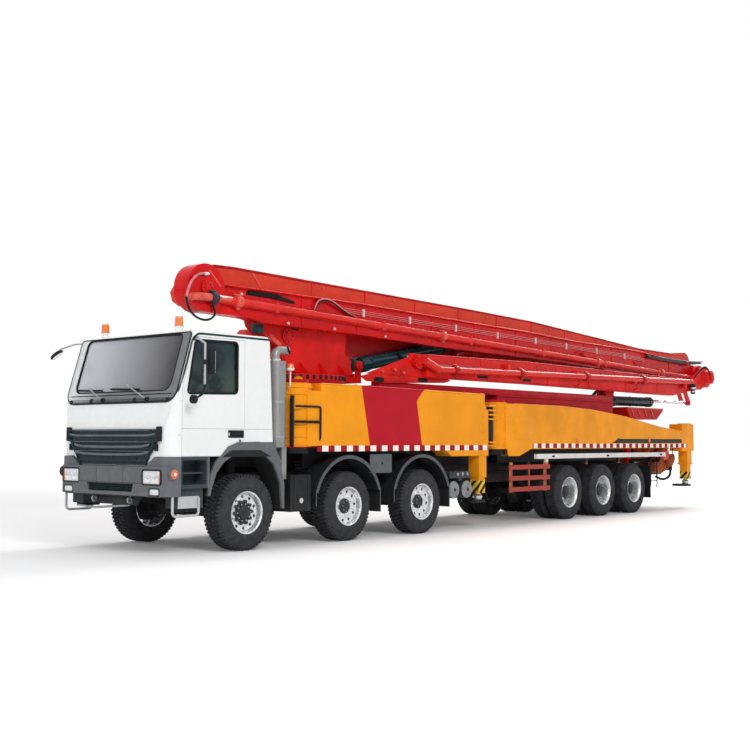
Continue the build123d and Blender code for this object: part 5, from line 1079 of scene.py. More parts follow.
def make_bumper_details():
    made = []
    back = plate("intake_back", face(1.395, (-0.52, 0.853), (0.52, 0.853), (0.5, 0.957), (-0.5, 0.957)),
        (0.006, 0, 0))
    slat = block("intake_slat", at(1.4, -0.5, 0.868), at(1.428, 0.5, 0.88), 0.004, 1)
    made += [paint(back, "rubber"), paint(copies(slat, [shift(z=0.024 * step) for step in range(4)]), "grille")]
    seam = block("bumper_seam", at(1.4485, 0.298, 0.975), at(1.4512, 0.304, 1.19), 0.001, 1)
    crease = block("bumper_crease", at(1.4475, -0.7, 0.968), at(1.4525, 0.7, 0.974), 0.002, 1)
    sole = block("bumper_sole", at(1.24, -1.04, 0.788), at(1.444, 1.04, 0.802), 0.005, 1)
    made += paired("rubber", seam) + coated("rubber", crease) + coated("black_plastic", sole)
    # Dark plate below the bumper: painted shade under it.
    under_bumper_shade = plate("under_bumper_shade", face(1.36, (-0.62, 0.8), (0.62, 0.8), (0.5, 0.665), (-0.5, 0.665)), (-0.02, 0, 0),
        0.004)
    eye = turned("tow_eye", hoop(-0.012, 0.012, 0.024, 0.048), at(1.4, 0.4, 0.735), ACROSS, 20)
    shank = block("tow_shank", at(1.33, 0.388, 0.755), at(1.4, 0.412, 0.8), 0.004, 1)
    lines = bar("air_lines", [at(1.3, -0.95, 0.62), at(1.33, -0.5, 0.6), at(1.33, 0.3, 0.66), at(1.3, 0.42, 0.76)],
        0.016, 0.05)
    made += coated("iron", under_bumper_shade) + paired("steel_grey", join("tow_eye", [eye, shank])) + coated("steel_grey",
        lines)
    fit(join("bumper_details", made), "truck")


# ---- cab sides ---------------------------------------------------------------------------

WINDOW = [(0.232, 2.215), (0.232, 2.91), (0.985, 2.9), (1.12, 2.19)]


def grown(points, by):
    """Outline of (ahead, height) pairs moved out from its middle by about that much on each side."""
    middle = Vector((sum(p[0] for p in points), sum(p[1] for p in points))) / len(points)
    return [(x + math.copysign(by, x - middle[0]), z + math.copysign(by, z - middle[1])) for x, z in points]


def make_door_trim():
    glass = plate("door_glass_left", side(1.222, *grown(WINDOW, 0.004)), (0, -0.006, 0), corners=0.06)
    paint(glass, "window")
    fit_sides(glass, "door_left_body")
    seal = frame_of("window_seal", side(1.243, *grown(WINDOW, 0.026)), 0.034, (0, 0.012, 0), 0.075, 0.004)
    sill = frame_of("window_sill", side(1.205, *grown(WINDOW, 0.01)), 0.016, (0, 0.042, 0), 0.065, 0.003)
    bezel = frame_of("handle_bezel", side(1.247, *oblong(0.105, 0.395, 1.587, 1.692)), 0.02, (0, 0.012, 0), 0.014,
        0.004)
    back = plate("handle_back", side(1.246, *oblong(0.12, 0.38, 1.6, 1.68)), (0, 0.0205, 0), 0.004)
    grip = block("handle_grip", at(0.14, 1.262, 1.628), at(0.36, 1.274, 1.652), 0.005, 3)
    lock = turned("door_lock", [(0, 0.016), (0.006, 0.016), (0.008, 0)], at(0.17, 1.25, 1.545), ACROSS, 16)
    waist = ribbon("waist_line", side(1.249, (0.1, 1.706), (1.205, 1.706)), (0, 0, 0.005), (0, 0.0016, 0))
    dark = coated("rubber", seal, sill, back)
    dark += coated("black_plastic", bezel, grip, lock) + [paint(waist, "seam")]
    fit_sides(join("door_trim_left", dark), "door_left_body")
    mirror = plate("mirror_glass_left", face(0.849, *oblong(1.425, 1.485, 2.46, 2.75)), (-0.004, 0, 0), corners=0.015)
    round_glass = turned("kerb_glass", [(0, 0.052), (-0.004, 0.05), (-0.008, 0)], at(1.15, 1.432, 2.095), ALONG, 24)
    clip = turned("mirror_clip", hoop(-0.03, 0.03, 0.026, 0.03), at(1.0, 1.45, 2.6), UP, 14)
    foot = block("mirror_foot", at(0.955, 1.247, 2.9), at(1.045, 1.262, 2.95), 0.006)
    glasses = coated("mirror_glass", mirror, round_glass)
    fit(join("mirror_glass_left", glasses + coated("black_plastic", clip, foot)), "door_left_body")
    arm = bar("far_mirror_arm", [at(0.98, -1.21, 2.985), at(1.15, -1.3, 2.97), at(1.33, -1.4, 2.89),
        at(1.38, -1.42, 2.84)], 0.013, 0.05)
    head = turned("far_mirror", [(-0.03, 0), (-0.03, 0.094), (-0.012, 0.108), (0.01, 0.098), (0.026, 0.055),
        (0.03, 0)], at(1.385, -1.42, 2.81), (0.4, -0.47, 0.787), 32)
    disc = turned("far_mirror_face", [(-0.034, 0), (-0.034, 0.086), (-0.028, 0.09)], at(1.385, -1.42, 2.81),
        (0.4, -0.47, 0.787), 32)
    far = join("mirror_right_dressed", [paint(arm, "mirror"), paint(head, "black_plastic"),
        paint(disc, "mirror_glass")])
    fit(far, "truck")
    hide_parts("mirror_right")


def make_cab_sides():
    seam = ribbon("cab_waist", side(1.249, (-0.478, 1.706), (0.085, 1.706)), (0, 0, 0.005), (0, 0.0016, 0))
    front = ribbon("front_waist", side(1.2475, (1.215, 1.62), (1.215, 1.625)), (0.06, 0, 0), (0, 0.003, 0))
    # Black plate in the recess behind the fender's curve: painted shade.
    recess_shade = plate("band_recess_shade", side(1.2495, (0.5, 1.322), (0.32, 1.415), (-0.22, 1.415), (-0.44, 1.322)),
        (0, 0.0025, 0))
    corner = plate("band_corner", side(1.226, (-0.16, 1.529), (-0.545, 1.532), (-0.545, 1.41), (-0.655, 1.24),
        (-0.6, 1.2), (-0.32, 1.44)), (0, 0.0252, 0), 0.004)
    # Black block in the gap under the step: painted shade.
    under = block("under_step", at(0.8, 1.1, 0.59), at(1.19, 1.13, 0.83), 0.006)
    shelf = block("band_shelf", at(-0.545, 0.86, 1.512), at(-0.488, 1.23, 1.53), 0.004)
    made = paired("seam", seam, front) + paired("black_plastic", recess_shade) + paired("trim_grey", corner,
        shelf) + paired("black_plastic", under)
    panel = frame_of("rear_window", face(-0.484, *oblong(-0.55, 0.55, 2.25, 2.75)), 0.03, (-0.01, 0, 0), 0.07, 0.004)
    pane = plate("rear_pane", face(-0.482, *oblong(-0.53, 0.53, 2.27, 2.73)), (-0.004, 0, 0), corners=0.06)
    made += [paint(panel, "rubber"), paint(pane, "window")]
    hatch = plate("roof_hatch", level(3.046, *oblong(-0.05, 0.5, -0.33, 0.33)), (0, 0, 0.034), 0.012, 3, corners=0.06)
    rib = block("roof_rib", at(-0.36, 0.52, 3.044), at(0.84, 0.6, 3.058), 0.01, 3)
    made += coated("cab_white", hatch) + paired("cab_white", rib)
    fit(join("cab_side_details", made), "truck")
    mouth = turned("exhaust_mouth", [(-0.03, 0.055), (0.012, 0.064), (0.016, 0.06), (0.004, 0.05), (0.004, 0)],
        at(-0.95, 1.086, 2.895), (-0.62, 0.72, 0.3), 32)
    rim = turned("exhaust_lip", [(0.03, 0.0625), (0.03, 0.067), (-0.008, 0.067), (-0.008, 0.061)],
        at(-0.937, 1.05, 2.885), ALONG, 32)
    collar = turned("exhaust_collar", hoop(0, 0.03, 0.06, 0.074), at(-0.71, 1.05, 2.722), UP, 32)
    strap = frame_of("shield_strap", level(0, *oblong(-0.888, -0.612, 0.937, 1.163)), 0.006, (0, 0, 0.035), 0.105,
        0.002)
    straps = copies(strap, [shift(z=height) for height in (1.58, 2.1, 2.6)])
    fit(join("exhaust_details", [paint(mouth, "rubber"), paint(rim, "steel"), paint(collar, "steel"),
        paint(straps, "steel_grey")]), "truck")


# ---- outriggers --------------------------------------------------------------------------

# The legs' outer faces, and the tape just off them.
LEG_SKIN, LEG_TAPE = 1.249, 1.2494
DRUM_COVER = [(0, 0.262), (0.012, 0.262), (0.018, 0.25), (0.018, 0.1), (0, 0.1)]


def make_arm_trim():
    tape = ribbon("tape", side(LEG_TAPE, (-1.4, 1.385), (-4.6, 1.385), (-5.87, 1.385)), (0, 0, 0.09), (0, 0.0025, 0))
    top = ribbon("arm_lip", side(1.244, (-1.5, 2.402), (-2.43, 2.402), (-5.77, 2.372)), (0, 0, 0.022), (0, 0.016, 0),
        0.004)
    door = frame_of("arm_panel", side(LEG_SKIN, *oblong(-4.15, -5.6, 1.6, 2.22)), 0.008, (0, 0.003, 0), 0.03)
    hatch = frame_of("arm_hatch", side(LEG_SKIN, (-1.62, 1.6), (-2.32, 1.6), (-2.28, 2.28), (-1.62, 2.28)), 0.008,
        (0, 0.003, 0), 0.03)
    heads = copies(bolt("arm_bolt", at(-5.7, 1.25, 1.56), ACROSS, 0.014), [shift(z=0.14 * step) for step in range(5)])
    lug = turned("drum_lug", hoop(-0.03, 0.03, 0.035, 0.075), at(-1.22, 1.02, 2.445), ACROSS, 24)
    foot = block("lug_foot", at(-1.32, 0.99, 2.398), at(-1.12, 1.05, 2.42), 0.006)
    cover = turned("drum_cover", DRUM_COVER, at(-1.19, 0.955, 2.398), UP, 48)
    rail = bar("grab_rail", [at(-0.96, 1.225, 2.06), at(-1.02, 1.262, 2.06), at(-1.455, 1.268, 2.06),
        at(-1.455, 1.268, 1.58), at(-1.455, 1.247, 1.56)], 0.016, 0.035)
    mid = bar("grab_bar", level(1.83, (-0.96, 1.2), (-1.02, 1.262), (-1.455, 1.268)), 0.02, 0.03)
    stop = bar("grab_stop", face(-1.455, (1.268, 2.05), (1.247, 2.05)), 0.014)
    post = bar("lamp_post", [at(-0.925, 1.1, 2.33), at(-0.9, 1.17, 2.36), at(-0.9, 1.17, 2.6)], 0.012, 0.02)
    shade = turned("post_lamp", [(0, 0.022), (0, 0.05), (0.022, 0.06), (0.038, 0.06)], at(-0.9, 1.17, 2.585), UP, 24)
    dome = turned("post_lens", [(0.038, 0.054), (0.07, 0.05), (0.1, 0.036), (0.112, 0)], at(-0.9, 1.17, 2.585), UP,
        24)
    made = coated("tape", tape)
    made += coated("front_arm", top, door, hatch)
    made += coated("orange", lug, foot, cover, heads)
    made += coated("rubber", rail, mid, stop)
    made += coated("cream", post, shade) + coated("orange_marker", dome)
    fit_sides(join("front_arm_left_trim", made), "front_arm_left_body")

    slope = [(-7.36, 1.418), (-14.02, 1.405)]
    tape = ribbon("tape", side(LEG_TAPE, *slope), (0, 0, 0.085), (0, 0.0025, 0))
    back = [(-6.72, 2.228), (-8.4, 2.222), (-9.7, 2.172), (-11.0, 2.062), (-12.6, 1.862), (-13.72, 1.772)]
    top = ribbon("arm_lip", side(1.243, *back), (0, 0, 0.02), (0, 0.014, 0), 0.004)
    stripe = plate("dark_stripe", side(LEG_TAPE, (-10.44, 1.508), (-10.72, 1.62), (-10.8, 1.6), (-13.72, 1.6),
        (-13.72, 1.508)), (0, 0.002, 0))
    collar = frame_of("jack_collar", level(1.005, *oblong(-14.285, -14.015, 0.99, 1.26)), 0.02, (0, 0, 0.035), 0.01,
        0.004)
    cap = block("jack_cap", at(-14.275, 0.998, 1.945), at(-14.025, 1.252, 1.972), 0.008)
    ring_edge = turned("drum_cover", DRUM_COVER, at(-6.45, 0.955, 2.248), UP, 48)
    hook = bar("arm_hook", face(-13.35, (1.2, 1.41), (1.2, 1.22), (1.16, 1.2)), 0.01, 0.01)
    step = block("arm_step", at(-7.34, 1.246, 1.575), at(-6.74, 1.258, 2.015), 0.006)
    lamps = turned("arm_lamp", [(-0.004, 0.04), (0.012, 0.04), (0.022, 0.03), (0.024, 0)], at(-9.0, 1.25, 1.56),
        ACROSS, 20)
    lamps = copies(lamps, [shift(), shift(x=-3.1)])
    made = [paint(tape, "tape"), paint(stripe, "dark_stripe"), paint(lamps, "orange_marker"), paint(hook, "iron")]
    made += coated("orange", top, collar, cap, ring_edge, step)
    fit_sides(join("rear_arm_left_trim", made), "rear_arm_left_body")


def make_hinge_blocks():
    core = block("rib_core", at(-6.155, 0.845, 1.45), at(-5.965, 1.18, 2.205), 0.012)
    rib = block("rib", at(-6.165, 0.845, 0), at(-5.955, 1.238, 0.03), 0.006, 1)
    ribs = copies(rib, [shift(z=height) for height in (1.45, 1.51, 1.93, 2.01, 2.09, 2.17)])
    # Dark strip between the ribbed block and the drum: painted shade.
    gap = block("painted_shade_gap", at(-6.168, 0.84, 1.5), at(-6.16, 1.1, 2.2), 0.002, 1)
    post = block("front_post", at(-0.948, 1.155, 1.46), at(-0.905, 1.214, 2.22), 0.006, 1)
    made = paired("orange", ribs)
    made += paired("black_plastic", core, gap, post)
    fit(join("hinge_blocks", made), "truck")


def make_jack_feet():
    for place, ahead, pad in (("front", -5.725, 0.45), ("rear", -14.15, 0.5)):
        centre = at(ahead, 1.125, pad)
        ball = turned(f"{place}_ball", [(0.045, 0), (0.045, 0.075), (0.062, 0.078), (0.075, 0.068), (0.085, 0.085),
            (0.115, 0.088), (0.14, 0.07), (0.15, 0.052), (0.172, 0.05), (0.172, 0)], centre, UP, 28)
        dish = turned(f"{place}_dish", [(0.04, 0), (0.04, 0.205), (0.048, 0.208), (0.052, 0.198), (0.052, 0.11),
            (0.046, 0.08), (0.046, 0)], at(ahead, 1.03, pad), UP, 40)
        collar = frame_of("leg_collar", [centre + Vector((sx * 0.108, sy * 0.108, 0.172)) for sx,
            sy in ((-1, -1), (1, -1), (1, 1), (-1, 1))], 0.02, (0, 0, 0.022), 0.01, 0.003)
        foot = join(f"{place}_jack_left_foot", [paint(ball, "steel"), paint(dish, "iron"), paint(collar, "hazard")])
        fit_sides(foot, f"{place}_jack_left_body")


# ---- turret and cylinders ----------------------------------------------------------------


def make_turret_details():
    stud = block("ring_stud", at(-2.172, 0.838, 2.518), at(-2.128, 0.862, 2.582), 0.007, 1)
    studs = paint(copies(stud, around(48, at(-2.15, 0, 0), UP)), "bolt_teal")
    valve = block("valve_block", at(-0.96, 0.42, 3.175), at(-0.8, 0.535, 3.325), 0.01)
    spool = turned("valve_spool", [(0, 0.022), (0.09, 0.022), (0.1, 0.014), (0.12, 0.014), (0.12, 0)],
        at(-0.83, 0.45, 3.325), UP, 14)
    spools = copies(spool, [shift(), shift(y=0.055), shift(x=-0.08), shift(x=-0.08, y=0.055)])
    tab = plate("front_tab", side(TURRET_WEB, (-1.1, 3.2), (-1.36, 3.06), (-1.36, 2.98), (-1.14, 3.1)), (0, 0.012, 0),
        0.004)
    caps = [pin_cap("root_cap", at(-1.5, 0.505, 3.18), ACROSS, 0.125, 0.04, 8),
        pin_cap("root_cap", at(-1.5, -0.505, 3.18), (0, -1, 0), 0.125, 0.04, 8)]
    caps += [pin_cap("lift_cap", at(-3.2, 0.505, 2.8), ACROSS, 0.085, 0.03, 6),
        pin_cap("lift_cap", at(-3.2, -0.505, 2.8), (0, -1, 0), 0.085, 0.03, 6)]
    rib = plate("yoke_rib", side(TURRET_WEB, (-1.52, 2.66), (-1.47, 2.66), (-1.37, 2.98), (-1.42, 2.98)), (0, 0.018, 0),
        0.005)
    rim = ribbon("yoke_rim", side(0.5, (-1.36, 3.235), (-1.44, 3.315), (-1.7, 3.33), (-1.9, 3.425), (-2.86, 3.288)),
        (0, 0, -0.028), (0, 0.014, 0), 0.004)
    foot = ribbon("yoke_foot", side(TURRET_WEB, (-1.47, 2.625), (-3.07, 2.625)), (0, 0, 0.035), (0, 0.03, 0), 0.006)
    gusset = plate("foot_gusset", face(-1.8, (TURRET_WEB, 2.602), (0.72, 2.602), (TURRET_WEB, 2.8)), (0.022, 0, 0), 0.004)
    gussets = copies(gusset, [shift(), shift(x=-0.45), shift(x=-0.9)])
    hoses = [hose("turret_hose", [at(-1.62 - 0.05 * step, 0.515, 3.29),
        at(-1.3 - 0.04 * step, 0.57, 3.4 + 0.03 * step), at(-1.02, 0.54, 3.44), at(-0.9 - 0.03 * step, 0.5, 3.3)],
        0.014) for step in range(3)]
    fittings = [turned("hose_fitting", [(0, 0.024), (0.03, 0.024), (0.035, 0.018), (0.06, 0.018), (0.06, 0)],
        at(-1.05 - 0.14 * step, TURRET_WEB, 3.345), ACROSS, 12) for step in range(3)]
    made = [studs, paint(valve, "teal"), paint(spools, "steel_grey"), paint(tab, "salmon")]
    made += caps + paired("boom_red", rib, rim, foot, gussets)
    made += coated("rubber", *hoses) + coated("salmon", *fittings)
    fit(join("turret_details", made), "turret_body")


def on_line(start, end, y, run):
    """Point a run along the line from start to end, both (ahead, height), at that Y; and the line's direction."""
    way = Vector((end[0] - start[0], 0, end[1] - start[1])).normalized()
    return at(start[0], y, start[1]) + way * run, way


def barrel_ends(name, start, end, y, low, high, radius):
    """Faceted block at a cylinder's foot, the gland at its mouth with bolts, and the weld rings between."""
    foot, way = on_line(start, end, y, low)
    head = turned(name, [(-0.02, 0), (-0.02, radius * 1.02), (0.02, radius * 1.16), (0.2, radius * 1.16),
        (0.24, radius * 1.0)], foot, way, 8)
    mouth, way = on_line(start, end, y, high)
    gland = turned("gland", [(-0.16, radius), (-0.155, radius * 1.09), (-0.02, radius * 1.09), (0, radius * 1.02),
        (0.006, radius * 0.72)], mouth, way, 32)
    rim = mouth + way.orthogonal().normalized() * radius * 0.88
    heads = copies(bolt("gland_bolt", rim, way, radius * 0.1, 0.012), around(10, mouth, way))
    band, way = on_line(start, end, y, (low + high) / 2)
    weld = turned("weld_band", [(-0.02, radius), (-0.012, radius * 1.05), (0.012, radius * 1.05), (0.02, radius)],
        band, way, 32)
    return [paint(head, "teal"), paint(gland, "teal"), paint(heads, "hub_dark"), paint(weld, "teal")]


def make_cylinder_details():
    base, eye = (-3.2, 2.8), (-5.9, 3.33)
    made = barrel_ends("lift_foot", base, eye, 0.385, 0.16, 2.56, 0.122)
    line = [on_line(base, eye, 0.385, run)[0] + Vector((0, 0.125, -0.055)) for run in (0.36, 0.42, 2.3, 2.38)]
    for end in (line[0], line[-1]):
        end.y -= 0.03
    made.append(paint(bar("oil_pipe", line, 0.013, 0.02), "teal"))
    made.append(paint(block("pipe_clip", line[1] + Vector((-0.9, -0.02, 0.14)),
        line[1] + Vector((-0.84, 0.018, 0.22)), 0.006), "steel"))
    lift = join("lift_details", made)
    loops = [hose("lift_hose", [at(-4.2 - 0.05 * step, 0.5, 3.06), at(-4.34 - 0.05 * step, 0.53, 2.94),
        at(-4.62, 0.56, 2.86 + 0.035 * step), at(-4.95, 0.56, 2.9 + 0.04 * step), at(-5.14, 0.52, 3.06),
        at(-5.2, 0.48, 3.19)], 0.02) for step in range(2)]
    loops = coated("rubber", *loops)
    fit(join("lift_barrel_details", [both_sides(lift), *loops]), "lift_barrels_body")
    caps = [pin_cap("eye_cap", at(-5.9, 0.506, 3.33), ACROSS, 0.08, 0.024, 6, "teal")]
    rod_end, way = on_line(base, eye, 0.385, 2.6)
    collar = turned("rod_collar", [(0, 0.075), (0.01, 0.092), (0.06, 0.092), (0.07, 0.075)], rod_end, way, 28)
    fit(both_sides(join("lift_rod_details", caps + [paint(collar, "steel")])), "lift_rods_body")
    base, eye = (-11.7, 2.46), (-15.78, 2.5)
    made = barrel_ends("fold_foot", base, eye, 0.38, 0.2, 2.15, 0.11)
    line = [on_line(base, eye, 0.38, run)[0] + Vector((0, 0.08, 0.09)) for run in (0.35, 0.42, 1.92, 2.0)]
    made.append(paint(bar("oil_pipe", line, 0.012, 0.02), "teal"))
    nest = [hose("fold_hose", [at(-11.3 + 0.04 * step, 0.42 + 0.03 * step, 2.7), at(-11.02 + 0.05 * step, 0.5, 2.55),
        at(-10.85, 0.52, 2.42 + 0.03 * step), at(-11.25, 0.5, 2.36), at(-11.62, 0.46, 2.43)], 0.022)
        for step in range(3)]
    made += coated("rubber", *nest)
    made += [pin_cap("fold_pin", at(-11.7, 0.498, 2.46), ACROSS, 0.06, 0.02, 5)]
    fit(join("fold_barrel_details", made), "boom_1_body")
    made = [pin_cap("rod_cap", at(-15.78, 0.484, 2.5), ACROSS, 0.055, 0.02, 5),
        pin_cap("rocker_cap", at(-15.45, 0.484, 2.96), ACROSS, 0.065, 0.02, 5)]
    fit(join("rocker_details", made), "fold_rocker_body")


# ---- boom --------------------------------------------------------------------------------

# Near faces of the turret's cheek, section 2 and the two tip sections.
TURRET_WEB, KNEE_WEB, TIP_WEB = 0.503, 0.497, 1.006
PIPE_3 = ((0.25, 3.59), (-15.7, 3.095))
PIPE_5 = ((-4.62, 2.785), (-14.58, 2.975))
TOP_2 = [(0.04, 4.12), (-0.37, 4.13), (-3.35, 4.08), (-6.38, 4.03), (-8.45, 3.98), (-11.18, 3.83), (-13.05, 3.72),
    (-14.9, 3.7)]
TOP_3 = [(0.12, 3.8), (-2.97, 3.8), (-5.53, 3.745), (-7.94, 3.705), (-9.63, 3.645), (-12.41, 3.61), (-15.25, 3.445)]
LOW_3 = [(0.12, 3.375), (-0.45, 3.36), (-0.74, 3.31), (-2.58, 3.3), (-4.96, 3.23), (-10.1, 3.17), (-12.68, 3.04),
    (-15.3, 2.855)]


def height_on(line, x):
    """Height of a line of (ahead, height) pairs at that station."""
    for (x0, z0), (x1, z1) in zip(line, line[1:]):
        if x1 <= x <= x0:
            return z0 + (z1 - z0) * (x - x0) / (x1 - x0)
    return line[-1][1]


def make_boom_1():
    made = []
    for hand in (1, -1):
        for line, thick in (([(-2.9, 3.425), (-14.9, 3.425)], -0.026),
                ([(-2.6, 2.962), (-9.0, 2.952), (-14.7, 2.937)], 0.024)):
            lip = ribbon("chord_lip", [at(x, hand * 0.248, z) for x, z in line], (0, 0, thick), (0, hand * 0.022, 0),
                0.004)
            made.append(paint(lip, "boom_red"))
        rib = block("web_rib", at(-6.6, hand * 0.246, 2.985), at(-6.585, hand * 0.258, 3.4), 0.003, 1)
        made.append(paint(copies(rib, [shift(x=-1.15 * step) for step in range(7)]), "boom_red"))
        made.append(pin_cap("knee_cap", at(-15.5, hand * (0.512 if hand > 0 else 0.25), 3.46), (0, hand, 0), 0.13,
            0.045, 8))
    for run in (0.32, 2.45, 4.9, 7.3):
        spot, way = on_line((-6.35, 3.22), (-14.3, 3.23), 0.33, run)
        made.append(paint(coupling("side_coupling", spot, way, 0.068), "salmon"))
    inlet = bar("boom_inlet", side(0.33, (-6.38, 3.22), (-6.12, 3.2), (-6.05, 3.02)), 0.066, 0.08, 20)
    made.append(paint(inlet, "pipe_red"))
    fit(join("boom_1_details", made), "boom_1_body")


def make_boom_2():
    near = ribbon("top_lip", [at(x, KNEE_WEB, z + 0.002) for x, z in TOP_2], (0, 0, -0.034), (0, 0.02, 0), 0.005)
    far = ribbon("top_lip", [at(x, 0.163, z + 0.002) for x, z in TOP_2], (0, 0, -0.034), (0, -0.02, 0), 0.005)
    made = coated("boom_dark", near, far)
    for x in (-2.05, -3.35, -4.7, -6.0, -7.25, -8.5, -9.8, -11.1, -12.4, -13.6):
        top = height_on(TOP_2, x)
        made.append(paint(block("web_rib", at(x, 0.496, top - 0.26), at(x + 0.018, 0.512, top - 0.03), 0.004, 1),
            "boom_red"))
    for low, high in (((-0.12, 3.8), (0.13, 4.05)), ((-0.94, 3.86), (-0.75, 4.09))):
        strip = plate("slant_lip", side(KNEE_WEB, (low[0], low[1]), (low[0] + 0.035, low[1]), (high[0] + 0.035, high[1]),
            (high[0], high[1])), (0, 0.018, 0), 0.004)
        made.append(paint(strip, "salmon"))
    for x, z in ((-2.3, 4.02), (-4.1, 3.98), (-6.9, 3.93), (-9.2, 3.86), (-11.7, 3.72)):
        made.append(paint(bolt("web_stud", at(x, 0.498, z), ACROSS, 0.026, 0.022), "salmon"))
    nose = turned("nose_pin", [(0, 0.062), (0.1, 0.062), (0.11, 0.05), (0.15, 0.05), (0.155, 0)], at(0.48, 0.42, 3.6),
        (1, 0, 0.05), 20)
    lug = plate("nose_lug", side(0.34, (0.5, 3.5), (0.6, 3.52), (0.6, 3.6), (0.52, 3.62)), (0, 0.12, 0), 0.01)
    rim = ribbon("nose_rim", side(KNEE_WEB, (0.565, 3.69), (0.485, 3.812), (0.255, 3.942), (0.045, 4.122)),
        (-0.03, 0, -0.022), (0, 0.02, 0), 0.004)
    made += [paint(nose, "salmon"), paint(lug, "boom_red"), paint(rim, "boom_dark")]
    made.append(pin_cap("front_knee_cap", at(0.45, 0.842, 3.71), ACROSS, 0.105, 0.03, 8))
    fit(join("boom_2_details", made), "boom_2_body")


